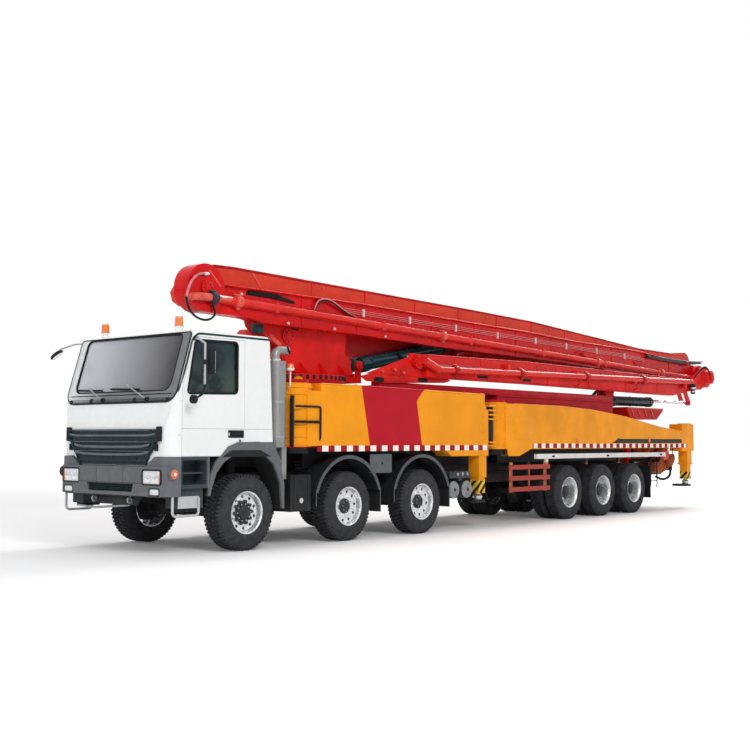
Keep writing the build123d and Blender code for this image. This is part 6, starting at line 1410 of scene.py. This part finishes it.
def make_boom_3():
    made = []
    top = ribbon("top_flange", [at(x, 0.712, z + 0.004) for x, z in TOP_3], (0, 0, -0.018), (0, 0.078, 0), 0.004)
    low = ribbon("low_flange", [at(x, 0.712, z - 0.004) for x, z in LOW_3], (0, 0, 0.018), (0, 0.068, 0), 0.004)
    made += coated("boom_red", top, low)
    for x in (-1.6, -2.9, -4.9, -6.2, -7.6, -8.9, -10.2, -11.4, -12.8, -14.2):
        high, foot = height_on(TOP_3, x), height_on(LOW_3, x)
        made.append(paint(block("web_rib", at(x, 0.715, foot + 0.01), at(x + 0.014, 0.732, high - 0.01), 0.003, 1),
            "boom_red"))
    for x, z in ((-3.03, 3.655), (-4.25, 3.635), (-5.59, 3.6), (-6.93, 3.565), (-8.27, 3.55), (-9.45, 3.52),
            (-10.7, 3.5), (-11.95, 3.46)):
        clip = block("line_clip", at(x - 0.022, 0.718, z - 0.065), at(x + 0.022, 0.762, z + 0.065), 0.008, 2)
        made.append(paint(clip, "clip_cream"))
    for step in range(3):
        drop = 0.03 * step
        line = [at(x, 0.738, z - drop) for x, z in ((-2.55, 3.7), (-3.03, 3.685), (-5.59, 3.632), (-8.27, 3.582),
            (-11.95, 3.492), (-12.9, 3.45))]
        made.append(paint(bar("oil_line", line, 0.009, 0, 8), "pipe_red"))
    for run in (0.46, 5.42, 10.95, 13.95):
        spot, way = on_line(*PIPE_3, 0.758, run)
        made.append(paint(coupling("pipe_coupling", spot, way, 0.068), "salmon"))
    bend = bar("knee_bend", [at(0.72, 0.8, 3.56), at(0.72, 0.885, 3.562), at(0.3, 0.885, 3.574), at(0.08, 0.8, 3.586),
        at(-0.08, 0.76, 3.592)], 0.058, 0.06, 20)
    grip, way = on_line((0.72, 3.562), (0.3, 3.574), 0.885, 0.36)
    made += [paint(bend, "salmon"), paint(coupling("bend_clamp", grip, way, 0.058), "hub_dark")]
    upper = hose("knee_hose", [at(0.48, 0.85, 3.9), at(0.6, 0.87, 3.91), at(0.8, 0.88, 3.76), at(0.86, 0.88, 3.54)],
        0.018, 10)
    lower = hose("knee_hose", [at(0.86, 0.88, 3.56), at(0.84, 0.88, 3.38), at(0.66, 0.88, 3.25),
        at(0.44, 0.88, 3.235), at(0.28, 0.87, 3.36), at(0.36, 0.86, 3.47)], 0.016, 10)
    union = turned("hose_union", [(-0.05, 0), (-0.05, 0.024), (0, 0.03), (0.05, 0.024), (0.05, 0)],
        at(0.48, 0.85, 3.9), (0.8, 0.1, -0.1), 14)
    slant = plate("nose_lip", side(0.828, (0.175, 3.755), (0.205, 3.745), (0.425, 3.965), (0.395, 3.975)),
        (0, 0.014, 0), 0.003)
    made += [paint(upper, "hose_pink"), paint(lower, "rubber"), paint(union, "steel"), paint(slant, "salmon")]
    slot = plate("hose_slot", side(0.719, (-0.4, 3.7), (-1.04, 3.69), (-1.32, 3.7), (-1.06, 3.772), (-0.44, 3.774)),
        (0, 0.004, 0), corners=(0.02, 0.02, 0.005, 0.02, 0.02))
    made.append(paint(slot, "rubber"))
    for step in range(3):
        line = [at(-0.46, 0.726, 3.762 - 0.02 * step), at(-0.8, 0.744, 3.765 - 0.022 * step),
            at(-1.1, 0.742, 3.735 - 0.02 * step), at(-1.42, 0.722, 3.69 - 0.012 * step)]
        made.append(paint(hose("slot_hose", line, 0.012), "rubber"))
    for step in range(2):
        arch = hose("arch_hose", [at(-1.86, 0.735, 3.57), at(-1.88 + 0.03 * step, 0.78, 3.72 + 0.03 * step),
            at(-2.1, 0.8, 3.79 + 0.02 * step), at(-2.34, 0.79, 3.71 + 0.02 * step),
            at(-2.62, 0.75, 3.6 + 0.02 * step), at(-2.86, 0.735, 3.57)], 0.014)
        made.append(paint(arch, "hose_pink" if step else "rubber"))
    for x, z in ((-0.3, 3.7), (-1.28, 3.345), (-2.33, 3.335), (-3.6, 3.3)):
        made.append(paint(bolt("web_stud", at(x, 0.72, z), ACROSS, 0.028, 0.035), "clip_cream"))
    stay = bar("pipe_stay", [at(-9.66, 0.73, 3.3), at(-9.98, 0.77, 3.44), at(-10.32, 0.73, 3.31)], 0.016, 0.03)
    knot = bar("tail_knot", [at(-12.4, 0.73, 3.36), at(-12.62, 0.79, 3.3), at(-12.9, 0.73, 3.2)], 0.016, 0.03)
    made += coated("boom_red", stay, knot)
    for step in range(3):
        line = [at(-13.1, 0.76, 3.5 + 0.006 * step), at(-13.6, 0.79, 3.475 + 0.022 * step),
            at(-14.6, 0.8, 3.44 + 0.026 * step), at(-15.3, 0.8, 3.45 + 0.026 * step),
            at(-15.8, 0.78, 3.5 + 0.014 * step)]
        made.append(paint(hose("tail_hose", line, 0.02), "hose_teal"))
    knob = turned("bundle_end", [(-0.06, 0), (-0.06, 0.04), (0, 0.048), (0.06, 0.04), (0.06, 0)],
        at(-13.06, 0.76, 3.506), (1, 0, -0.05), 18)
    eye = turned("bundle_eye", hoop(-0.012, 0.012, 0.03, 0.055), at(-15.86, 0.78, 3.525), ACROSS, 20)
    tie = block("bundle_tie", at(-15.02, 0.74, 3.385), at(-14.98, 0.835, 3.51), 0.008)
    made += [paint(knob, "hub_dark"), paint(eye, "steel"), paint(tie, "boom_red")]
    elbow = bar("tail_elbow", [at(-15.6, 0.758, 3.098), at(-15.93, 0.758, 3.09), at(-15.97, 0.9, 3.086)], 0.062, 0.07,
        20)
    lip, way = on_line(*PIPE_3, 0.758, 15.86)
    made += coated("salmon", elbow, coupling("elbow_clamp", lip, way, 0.064))
    made.append(pin_cap("elbow_cap", at(-15.65, 1.152, 3.13), ACROSS, 0.1, 0.03, 8))
    fit(join("boom_3_details", made), "boom_3_body")


def make_section_4():
    """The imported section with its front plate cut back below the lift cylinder, and its rear disc turned down."""
    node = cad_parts["boom_section_4"]
    piece = clone(node, "boom_section_4_dressed")
    outwards(piece)
    wedge = plate("wedge", side(0.84, (-2.4, 2.485), (-4.06, 2.985), (-4.06, 3.25), (-2.4, 3.25)), (0, 0.08, 0))
    less(piece, wedge)
    less(piece, turned("ring", hoop(0, 0.16, 0.165, 0.33), at(-15.65, 1.014, 3.13), ACROSS, 40))
    round_edges(piece, 0.004, 1)
    return paint(piece, "boom_red")


def make_boom_4():
    whole = fit(make_section_4(), "boom_4_body")
    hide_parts("boom_section_4")
    made = []
    apron = plate("tip_apron", side(0.862, (-2.8, 2.6), (-2.96, 2.525), (-3.45, 2.51), (-4.1, 2.535), (-5.05, 2.575),
        (-5.25, 2.62), (-5.1, 2.655), (-3.1, 2.665)), (0, 0.034, 0), 0.004)
    made.append(paint(apron, "boom_red"))
    for x, z, wide, tall in ((-3.12, 2.56, 0.26, 0.04), (-4.28, 2.6, 0.28, 0.036)):
        oval = plate("apron_hole", side(0.894, *oblong(x, x - wide, z + tall, z - tall)), (0, 0.005, 0), corners=0.03)
        made.append(paint(oval, "rubber"))
    for x, z in ((-3.3, 2.7), (-3.62, 2.74), (-3.86, 2.7), (-4.55, 2.74), (-4.66, 2.83)):
        made.append(paint(bolt("tip_stud", at(x, 0.9, z), ACROSS, 0.03, 0.05), "salmon"))
    top = [(-4.75, 2.862), (-10.0, 2.866), (-14.6, 2.918)]
    low = [(-4.45, 2.64), (-7.45, 2.65), (-13.7, 2.622)]
    for line, thick in ((top, -0.016), (low, 0.018)):
        made.append(paint(ribbon("chord_lip", side(TIP_WEB, *line), (0, 0, thick), (0, 0.022, 0), 0.004), "boom_red"))
    for x, wide in ((-5.9, 0.34), (-7.4, 0.3)):
        dark = plate("web_slot", side(1.008, (x, 2.69), (x - wide, 2.695), (x - wide + 0.05, 2.745),
            (x + 0.02, 2.745)), (0, 0.006, 0), corners=0.015)
        made.append(paint(dark, "rubber"))
    for x in (-6.6, -8.3, -9.9, -11.5, -13.0):
        made.append(paint(block("web_rib", at(x, TIP_WEB, 2.665), at(x + 0.016, 1.02, 2.85), 0.003, 1), "boom_red"))
    made.append(pin_cap("tip_cap", at(-4.2, 1.01, 2.9), ACROSS, 0.075, 0.022, 6))
    arch = [hose("elbow_hose", [at(-14.92, 1.012, 3.06), at(-14.98 - 0.02 * step, 1.13, 3.24 + 0.03 * step),
        at(-15.2, 1.18, 3.36 + 0.03 * step), at(-15.42, 1.19, 3.28), at(-15.5, 1.165, 3.17)], 0.015)
        for step in range(2)]
    made += coated("rubber", *arch)
    fit(join("boom_4_details", made), "boom_4_body")


def make_boom_5():
    made = []
    for run in (0.5, 2.6, 5.05, 7.55):
        spot, way = on_line(*PIPE_5, 1.08, run)
        made.append(paint(coupling("pipe_coupling", spot, way, 0.06), "boom_dark"))
    lip = ribbon("top_lip", side(TIP_WEB, (-4.4, 3.036), (-7.45, 3.083), (-14.5, 3.04)), (0, 0, -0.018), (0, 0.02, 0),
        0.004)
    made.append(paint(lip, "boom_red"))
    for x in (-5.2, -6.0, -7.9, -8.6, -10.4, -11.0, -12.7, -13.5):
        made.append(paint(block("web_rib", at(x, TIP_WEB, 2.905), at(x + 0.014, 1.018, 3.025), 0.003, 1), "boom_red"))
    clamp = turned("outlet_band", hoop(0, 0.03, 0.05, 0.062), at(-14.72, 1.08, 2.73), UP, 24)
    band = turned("outlet_band", hoop(0, 0.045, 0.06, 0.076), at(-14.72, 1.08, 2.8), UP, 24)
    made += coated("steel", clamp, band)
    ties = [bar("tie_hook", face(x, (1.09, 2.8), (1.13, 2.72), (1.02, 2.68)), 0.01, 0.02) for x in (-9.32, -11.82)]
    made += coated("boom_dark", *ties)
    fit(join("boom_5_details", made), "boom_5_body")


# ---- chassis, deck and tail --------------------------------------------------------------


def make_deck_details():
    made = []
    coaming = block("deck_coaming", at(-11.17, 0.66, 2.415), at(-3.32, 0.848, 2.535), 0.008)
    made += paired("crimson", coaming)
    rim = ribbon("deck_rim", side(0.845, (-6.76, 2.392), (-11.19, 2.392)), (0, 0, 0.028), (0, 0.03, 0), 0.004)
    made += paired("crimson", rim)
    plates = plate("tread_plate", level(2.474, *oblong(-3.5, -4.9, -0.6, 0.6)), (0, 0, 0.006), 0.003, corners=0.03)
    made.append(paint(copies(plates, [shift(x=-1.5 * step) for step in range(5)]), "tread_steel"))
    handle = bar("plate_handle", face(-3.62, (-0.1, 2.478), (-0.1, 2.51), (0.1, 2.51), (0.1, 2.478)), 0.008, 0.01)
    made.append(paint(copies(handle, [shift(x=-1.5 * step) for step in range(5)]), "steel_grey"))
    box = block("front_box", at(-1.34, -0.8, 2.42), at(-1.04, -0.1, 2.6), 0.014)
    made.append(paint(box, "crimson"))
    fit(join("deck_details", made), "truck")


def make_chassis_details():
    made = []
    for ahead in (-4.92, -5.3):
        cap = turned("tank_end", [(0, 0.148), (0.004, 0.152), (0.014, 0.146), (0.026, 0.11), (0.03, 0)],
            at(ahead, 1.188, 0.7), ACROSS, 36)
        drain = turned("tank_drain", [(0.026, 0.03), (0.044, 0.028), (0.048, 0)], at(ahead, 1.188, 0.7), ACROSS, 16)
        strap = turned("tank_strap", hoop(0, 0.04, 0.149, 0.156), at(ahead, 1.02, 0.7), ACROSS, 36)
        made += paired("tank_grey", drain) + paired("tank_end", cap) + paired("black_plastic", strap)
    lid = block("box_lid", at(-3.2, 1.206, 1.035), at(-2.66, 1.218, 1.335), 0.008)
    latch = block("box_latch", at(-2.975, 1.214, 1.17), at(-2.945, 1.226, 1.21), 0.004)
    made += paired("box_grey", lid) + paired("black_plastic", latch)
    valves = block("valve_box", at(-5.4, 1.02, 0.9), at(-4.8, 1.196, 1.02), 0.012)
    knob = turned("valve_knob", [(0, 0.032), (0.02, 0.03), (0.024, 0)], at(-5.3, 1.194, 0.97), ACROSS, 18)
    lever = bar("valve_lever", face(-4.88, (1.19, 0.98), (1.225, 1.04)), 0.008)
    made += paired("tank_grey", valves) + paired("steel_grey",
        copies(knob, [shift(), shift(x=0.14), shift(x=0.28)])) + paired("black_plastic", lever)
    for ahead, low in ((-8.05, 1.235), (-10.2, 1.235), (-12.62, 1.235)):
        slot = plate("rail_slot", side(1.2446, *oblong(ahead, ahead - 0.11, low, low + 0.035)), (0, 0.002, 0),
            corners=0.012)
        made += paired("rubber", slot)
    filter_can = turned("filter_can", [(0, 0), (0, 0.055), (0.02, 0.062), (0.16, 0.062), (0.18, 0.05), (0.18, 0)],
        at(-1.18, 1.09, 0.56), UP, 20)
    cup = turned("fuel_cap", [(0, 0.04), (0.016, 0.04), (0.02, 0)], at(-1.12, 1.186, 0.66), ACROSS, 20)
    made += paired("hub_dark", filter_can) + paired("steel", cup)
    for ahead in (-0.98, -1.26):
        made.append(paint(both_sides(block("box_rib", at(ahead, 1.184, 0.52), at(ahead - 0.03, 1.196, 1.02), 0.004,
            1)), "black_plastic"))
    line = [at(-1.36, 0.8, 1.22), at(-2.0, 0.84, 1.26), at(-3.0, 0.84, 1.2), at(-4.4, 0.84, 1.24),
        at(-5.6, 0.82, 1.22)]
    for step in range(3):
        route = [p + Vector((0, 0.01 * step, -0.05 * step)) for p in line]
        made.append(paint(both_sides(hose("frame_hose", route, 0.016)), "rubber"))
    fit(join("chassis_details", made), "truck")


def make_tail():
    made = []
    board = block("lamp_board", at(-14.275, 0.26, 0.86), at(-14.245, 0.74, 1.0), 0.008)
    post = block("board_post", at(-14.27, 0.3, 0.95), at(-14.22, 0.36, 1.3), 0.006)
    made += paired("iron", board, post)
    for out, coat in ((0.34, "red_lens"), (0.5, "amber_lens"), (0.65, "white_lens")):
        lens = turned("tail_lens", [(-0.004, 0.056), (-0.018, 0.054), (-0.03, 0.03), (-0.032, 0)],
            at(-14.275, out, 0.93), ALONG, 28)
        made.append(paint(both_sides(lens), coat))
    belly = plate("hopper_belly", side(0.6, (-13.28, 1.09), (-13.6, 1.25), (-14.3, 1.25), (-14.33, 1.12),
        (-14.2, 0.97), (-13.62, 0.8), (-13.31, 0.84)), (0, 0.2, 0), 0.025, 3)
    boss = turned("belly_boss", [(0, 0.11), (0.05, 0.11), (0.06, 0.085), (0.09, 0.08), (0.09, 0.045), (0.12, 0.04),
        (0.12, 0)], at(-13.86, 0.795, 1.05), ACROSS, 24)
    heads = copies(bolt("belly_bolt", at(-13.86, 0.85, 1.145), ACROSS, 0.014, 0.014),
        around(8, at(-13.86, 0.85, 1.05), ACROSS))
    made += paired("rust", belly, boss) + paired("hub_dark", heads)
    flange = frame_of("hopper_flange", level(1.478, (-13.14, -0.79), (-13.14, 0.79), (-14.26, 0.79), (-14.26, -0.79)),
        0.036, (0, 0, 0.02), 0.03, 0.004)
    rib = plate("hopper_rib", [at(-13.3, 0.755, 1.47), at(-13.3, 0.8, 1.47), at(-13.4, 0.52, 1.08),
        at(-13.4, 0.5, 1.08)], (-0.03, 0, 0), 0.003)
    ribs = both_sides(copies(rib, [shift(), shift(x=-0.24), shift(x=-0.48)]))
    guard = plate("hopper_guard", [at(-13.6, 0.78, 1.5), at(-14.22, 0.78, 1.5), at(-14.3, 0.8, 1.62),
        at(-13.9, 0.8, 1.66)], (0, 0.012, 0), 0.004)
    made += coated("rust", flange, ribs) + paired("rust", guard)
    grease = block("grease_box", at(-13.34, 0.8, 1.12), at(-13.62, 0.98, 1.34), 0.01)
    motor = turned("mixer_motor", [(0, 0), (0, 0.1), (0.05, 0.1), (0.06, 0.075), (0.2, 0.075), (0.21, 0.05),
        (0.21, 0)], at(-13.72, 0.7, 1.22), ACROSS, 24)
    made += coated("salmon", grease) + paired("rust", motor)
    chute = hose("wash_hose", [at(-13.22, 0.84, 0.74), at(-13.4, 0.87, 0.66), at(-13.72, 0.88, 0.68),
        at(-13.96, 0.86, 0.8), at(-14.02, 0.8, 0.96)], 0.028)
    made.append(paint(chute, "rubber"))
    upright = bar("ladder_side", face(-12.42, (1.12, 1.2), (1.12, 0.58), (1.1, 0.52)), 0.014)
    uprights = copies(upright, [shift(), shift(x=-0.3)])
    rung = bar("ladder_rung", side(1.12, (-12.42, 0.66), (-12.72, 0.66)), 0.011)
    rungs = copies(rung, [shift(z=0.17 * step) for step in range(4)])
    hook = bar("ladder_hook", face(-12.57, (1.12, 1.17), (0.5, 1.1)), 0.02)
    made.append(paint(join("ladder", [uprights, rungs, hook]), "iron"))
    flap = block("rear_flap", at(-12.22, 0.62, 0.3), at(-12.2, 1.22, 0.98), 0.004)
    hanger = block("flap_hanger", at(-12.23, 0.44, 0.96), at(-12.19, 1.22, 1.0), 0.004)
    made += paired("rubber", flap, hanger)
    strip = ribbon("rest_lip", side(0.556, (-12.42, 2.3), (-14.16, 2.3)), (0, 0, 0.028), (0, 0.024, 0), 0.005)
    web = plate("rest_web", side(0.556, (-12.7, 2.1), (-12.74, 2.1), (-12.6, 2.3), (-12.56, 2.3)), (0, 0.016, 0),
        0.003)
    webs = copies(web, [shift(), shift(x=-0.32), shift(x=-0.64), shift(x=-0.96)])
    made += paired("salmon", strip, webs)
    fit(join("tail_details", made), "truck")


# ---- stage -------------------------------------------------------------------------------


CAMERA_PLACE = at(11.0765, 13.0554, 1.5645)
CAMERA_LENS = 54.63
CAMERA_YAW, CAMERA_PITCH, CAMERA_ROLL = map(math.radians, (40.52, 3.26, 0.16))


def lamp(name, place, spot, size, watts, tall=None):
    """Softbox that faces the spot."""
    light = bpy.data.lights.new(name, "AREA")
    light.shape = "RECTANGLE"
    light.size = size
    light.size_y = tall or size
    light.energy = watts
    holder = bpy.data.objects.new(name, light)
    holder.location = place
    holder.rotation_euler = (spot - place).to_track_quat("-Z", "Y").to_euler()
    bpy.context.scene.collection.objects.link(holder)


def make_stage():
    scene = bpy.context.scene
    scene.view_settings.view_transform = "Standard"
    # Floor: pale, lit, lifted towards white where the camera sees it.
    clear()
    bpy.ops.mesh.primitive_plane_add(size=400, location=(0, 0, 0))
    floor = bpy.context.object
    floor.name = "studio_floor"
    coat, tree, surface, place = shader("studio_floor")
    cloud = noise(tree, place, 0.4, 2.0)
    tree.links.new(blend(tree, cloud, (0.86, 0.86, 0.87), (0.88, 0.88, 0.89)), surface.inputs["Base Color"])
    give(surface, {"Roughness": 0.9, "Emission Color": (1, 1, 1, 1)})
    rays = tree.nodes.new("ShaderNodeLightPath")
    spot = split(tree, place)
    along = figure(tree, "POWER", figure(tree, "SUBTRACT", spot["X"], AXLE_1 - 5.0), 2.0)
    away = figure(tree, "POWER", figure(tree, "ADD", along, figure(tree, "POWER", spot["Y"], 2.0)), 0.5)
    lift = times(tree, rays.outputs["Is Camera Ray"], spread(tree, away, 11.0, 36.0, 0.06, 0.78))
    tree.links.new(lift, surface.inputs["Emission Strength"])
    floor.data.materials.append(coat)
    world = bpy.data.worlds.new("studio_world")
    scene.world = world
    world.use_nodes = True
    tree = world.node_tree
    backdrop = tree.nodes["Background"]
    rays = tree.nodes.new("ShaderNodeLightPath")
    seen = figure(tree, "MAXIMUM", rays.outputs["Is Camera Ray"], rays.outputs["Is Glossy Ray"])
    seen = figure(tree, "MAXIMUM", seen, rays.outputs["Is Transmission Ray"])
    tree.links.new(spread(tree, seen, 0.0, 1.0, 0.45, 1.0), backdrop.inputs["Strength"])
    backdrop.inputs["Color"].default_value = (1, 1, 1, 1)
    lamp("key_light", at(6.0, 17.0, 13.0), at(-5.0, 0.0, 1.5), 9.0, 2000.0, 6.0)
    lamp("front_light", at(16.0, 0.0, 9.0), at(0.0, 0.0, 1.5), 8.0, 700.0, 5.0)
    lamp("rear_light", at(-27.0, -2.0, 17.0), at(-5.0, 0.0, 2.0), 8.0, 4300.0, 16.0)
    lamp("top_light", at(-6.0, -4.0, 16.0), at(-6.0, 0.0, 1.0), 16.0, 500.0, 8.0)
    view = bpy.data.cameras.new("photo_camera")
    view.sensor_width = 36.0
    view.lens = CAMERA_LENS
    view.clip_end = 500
    holder = bpy.data.objects.new("photo_camera", view)
    scene.collection.objects.link(holder)
    level_run = math.cos(CAMERA_PITCH)
    look = Vector((-math.cos(CAMERA_YAW) * level_run, -math.sin(CAMERA_YAW) * level_run, math.sin(CAMERA_PITCH)))
    turn = look.to_track_quat("-Z", "Y").to_matrix().to_4x4() @ Matrix.Rotation(CAMERA_ROLL, 4, "Z")
    holder.matrix_world = Matrix.Translation(CAMERA_PLACE) @ turn
    scene.camera = holder


# ---- add-on ------------------------------------------------------------------------------


def tone(name, description, default):
    """Colour that the user can change."""
    return FloatVectorProperty(name=name, description=description, default=default, subtype="COLOR", min=0.0, max=1.0)


class TruckColours(bpy.types.PropertyGroup):
    """Colours that a user would change."""

    boom_red: tone("Boom red", "Paint of the boom and turret", (0.7, 0.012, 0.01))
    body_orange: tone("Body orange", "Paint of the support legs", (0.92, 0.335, 0.01))
    deck_crimson: tone("Deck crimson", "Paint of the deck and the leg's panel", (0.5, 0.006, 0.018))
    cab_white: tone("Cab white", "Paint of the cab", (0.83, 0.84, 0.84))
    trim_grey: tone("Trim grey", "Moulded bumper and fenders", (0.135, 0.145, 0.155))
    tyre_grey: tone("Tyre grey", "Rubber of the tyres", (0.045, 0.046, 0.05))
    cylinder_teal: tone("Cylinder teal", "Paint of the hydraulic cylinders", (0.008, 0.05, 0.062))


class TruckSizes(bpy.types.PropertyGroup):
    """Sizes that a user would change."""

    edge_rounding: FloatProperty(name="Edge rounding", description="Rounding of the CAD nodes' edges", default=0.005,
        unit="LENGTH")
    tread_lugs: IntProperty(name="Tread lugs", description="Lugs round each tyre", default=56, min=12, max=80)


class TruckCoats(bpy.types.Operator):
    """Mix the coats and put them on the CAD nodes"""

    bl_idname = "truck.coats"
    bl_label = "Coats"

    def execute(self, context):
        make_coats()
        dress_nodes()
        return {"FINISHED"}


class TruckWheels(bpy.types.Operator):
    """Build the twelve wheels"""

    bl_idname = "truck.wheels"
    bl_label = "Wheels"

    def execute(self, context):
        make_wheels()
        return {"FINISHED"}


class TruckCabFront(bpy.types.Operator):
    """Build the screen's surround, wipers, grille bars, lamps and bumper trim"""

    bl_idname = "truck.cab_front"
    bl_label = "Cab front"

    def execute(self, context):
        for make in (make_screen_frame, make_wipers, make_pillar_trim, make_grille_bars, make_lamps,
                make_bumper_details):
            make()
        return {"FINISHED"}


class TruckCabSides(bpy.types.Operator):
    """Build the door glass, seals, handles, mirrors' glass, roof and exhaust trim"""

    bl_idname = "truck.cab_sides"
    bl_label = "Cab sides"

    def execute(self, context):
        make_door_trim()
        make_cab_sides()
        return {"FINISHED"}


class TruckOutriggers(bpy.types.Operator):
    """Build the legs' trim, the ribbed hinge blocks and the jacks' feet"""

    bl_idname = "truck.outriggers"
    bl_label = "Outriggers"

    def execute(self, context):
        make_arm_trim()
        make_hinge_blocks()
        make_jack_feet()
        return {"FINISHED"}


class TruckTurret(bpy.types.Operator):
    """Build the turret's bolts, caps and valves, and the cylinders' ends and hoses"""

    bl_idname = "truck.turret"
    bl_label = "Turret and cylinders"

    def execute(self, context):
        make_turret_details()
        make_cylinder_details()
        return {"FINISHED"}


class TruckBoom(bpy.types.Operator):
    """Build the lips, ribs, pipe clamps, hoses and pins of the five boom sections"""

    bl_idname = "truck.boom"
    bl_label = "Boom"

    def execute(self, context):
        for make in (make_boom_1, make_boom_2, make_boom_3, make_boom_4, make_boom_5):
            make()
        return {"FINISHED"}


class TruckChassis(bpy.types.Operator):
    """Build the deck's coaming and plates, the tanks' ends, and the hopper's trim, ladder and tail lamps"""

    bl_idname = "truck.chassis"
    bl_label = "Chassis, deck and tail"

    def execute(self, context):
        make_deck_details()
        make_chassis_details()
        make_tail()
        return {"FINISHED"}


class TruckStage(bpy.types.Operator):
    """Lay the floor, set the lamps and place the camera"""

    bl_idname = "truck.stage"
    bl_label = "Stage"

    def execute(self, context):
        make_stage()
        return {"FINISHED"}


OPERATORS = (TruckCoats, TruckWheels, TruckCabFront, TruckCabSides, TruckOutriggers, TruckTurret, TruckBoom,
    TruckChassis, TruckStage)


class TruckPanel(bpy.types.Panel):
    """Lists the truck's colours, sizes and steps"""

    bl_idname = "VIEW3D_PT_pump_truck"
    bl_label = "Pump truck"
    bl_space_type = "VIEW_3D"
    bl_region_type = "UI"
    bl_category = "Pump truck"

    def draw(self, context):
        for group in (context.scene.truck_colours, context.scene.truck_sizes):
            for prop in group.bl_rna.properties:
                if prop.identifier not in ("rna_type", "name"):
                    self.layout.prop(group, prop.identifier)
        for operator in OPERATORS:
            self.layout.operator(operator.bl_idname)


CLASSES = (TruckColours, TruckSizes, *OPERATORS, TruckPanel)


def register():
    for kind in CLASSES:
        bpy.utils.register_class(kind)
    bpy.types.Scene.truck_colours = PointerProperty(type=TruckColours)
    bpy.types.Scene.truck_sizes = PointerProperty(type=TruckSizes)


def unregister():
    del bpy.types.Scene.truck_colours
    del bpy.types.Scene.truck_sizes
    for kind in reversed(CLASSES):
        bpy.utils.unregister_class(kind)


def plain(box):
    return [[float(value) for value in corner] for corner in box]


def main():
    register()
    for operator in OPERATORS:
        area, name = operator.bl_idname.split(".")
        getattr(getattr(bpy.ops, area), name)()


if __name__ == "__main__":
    main()
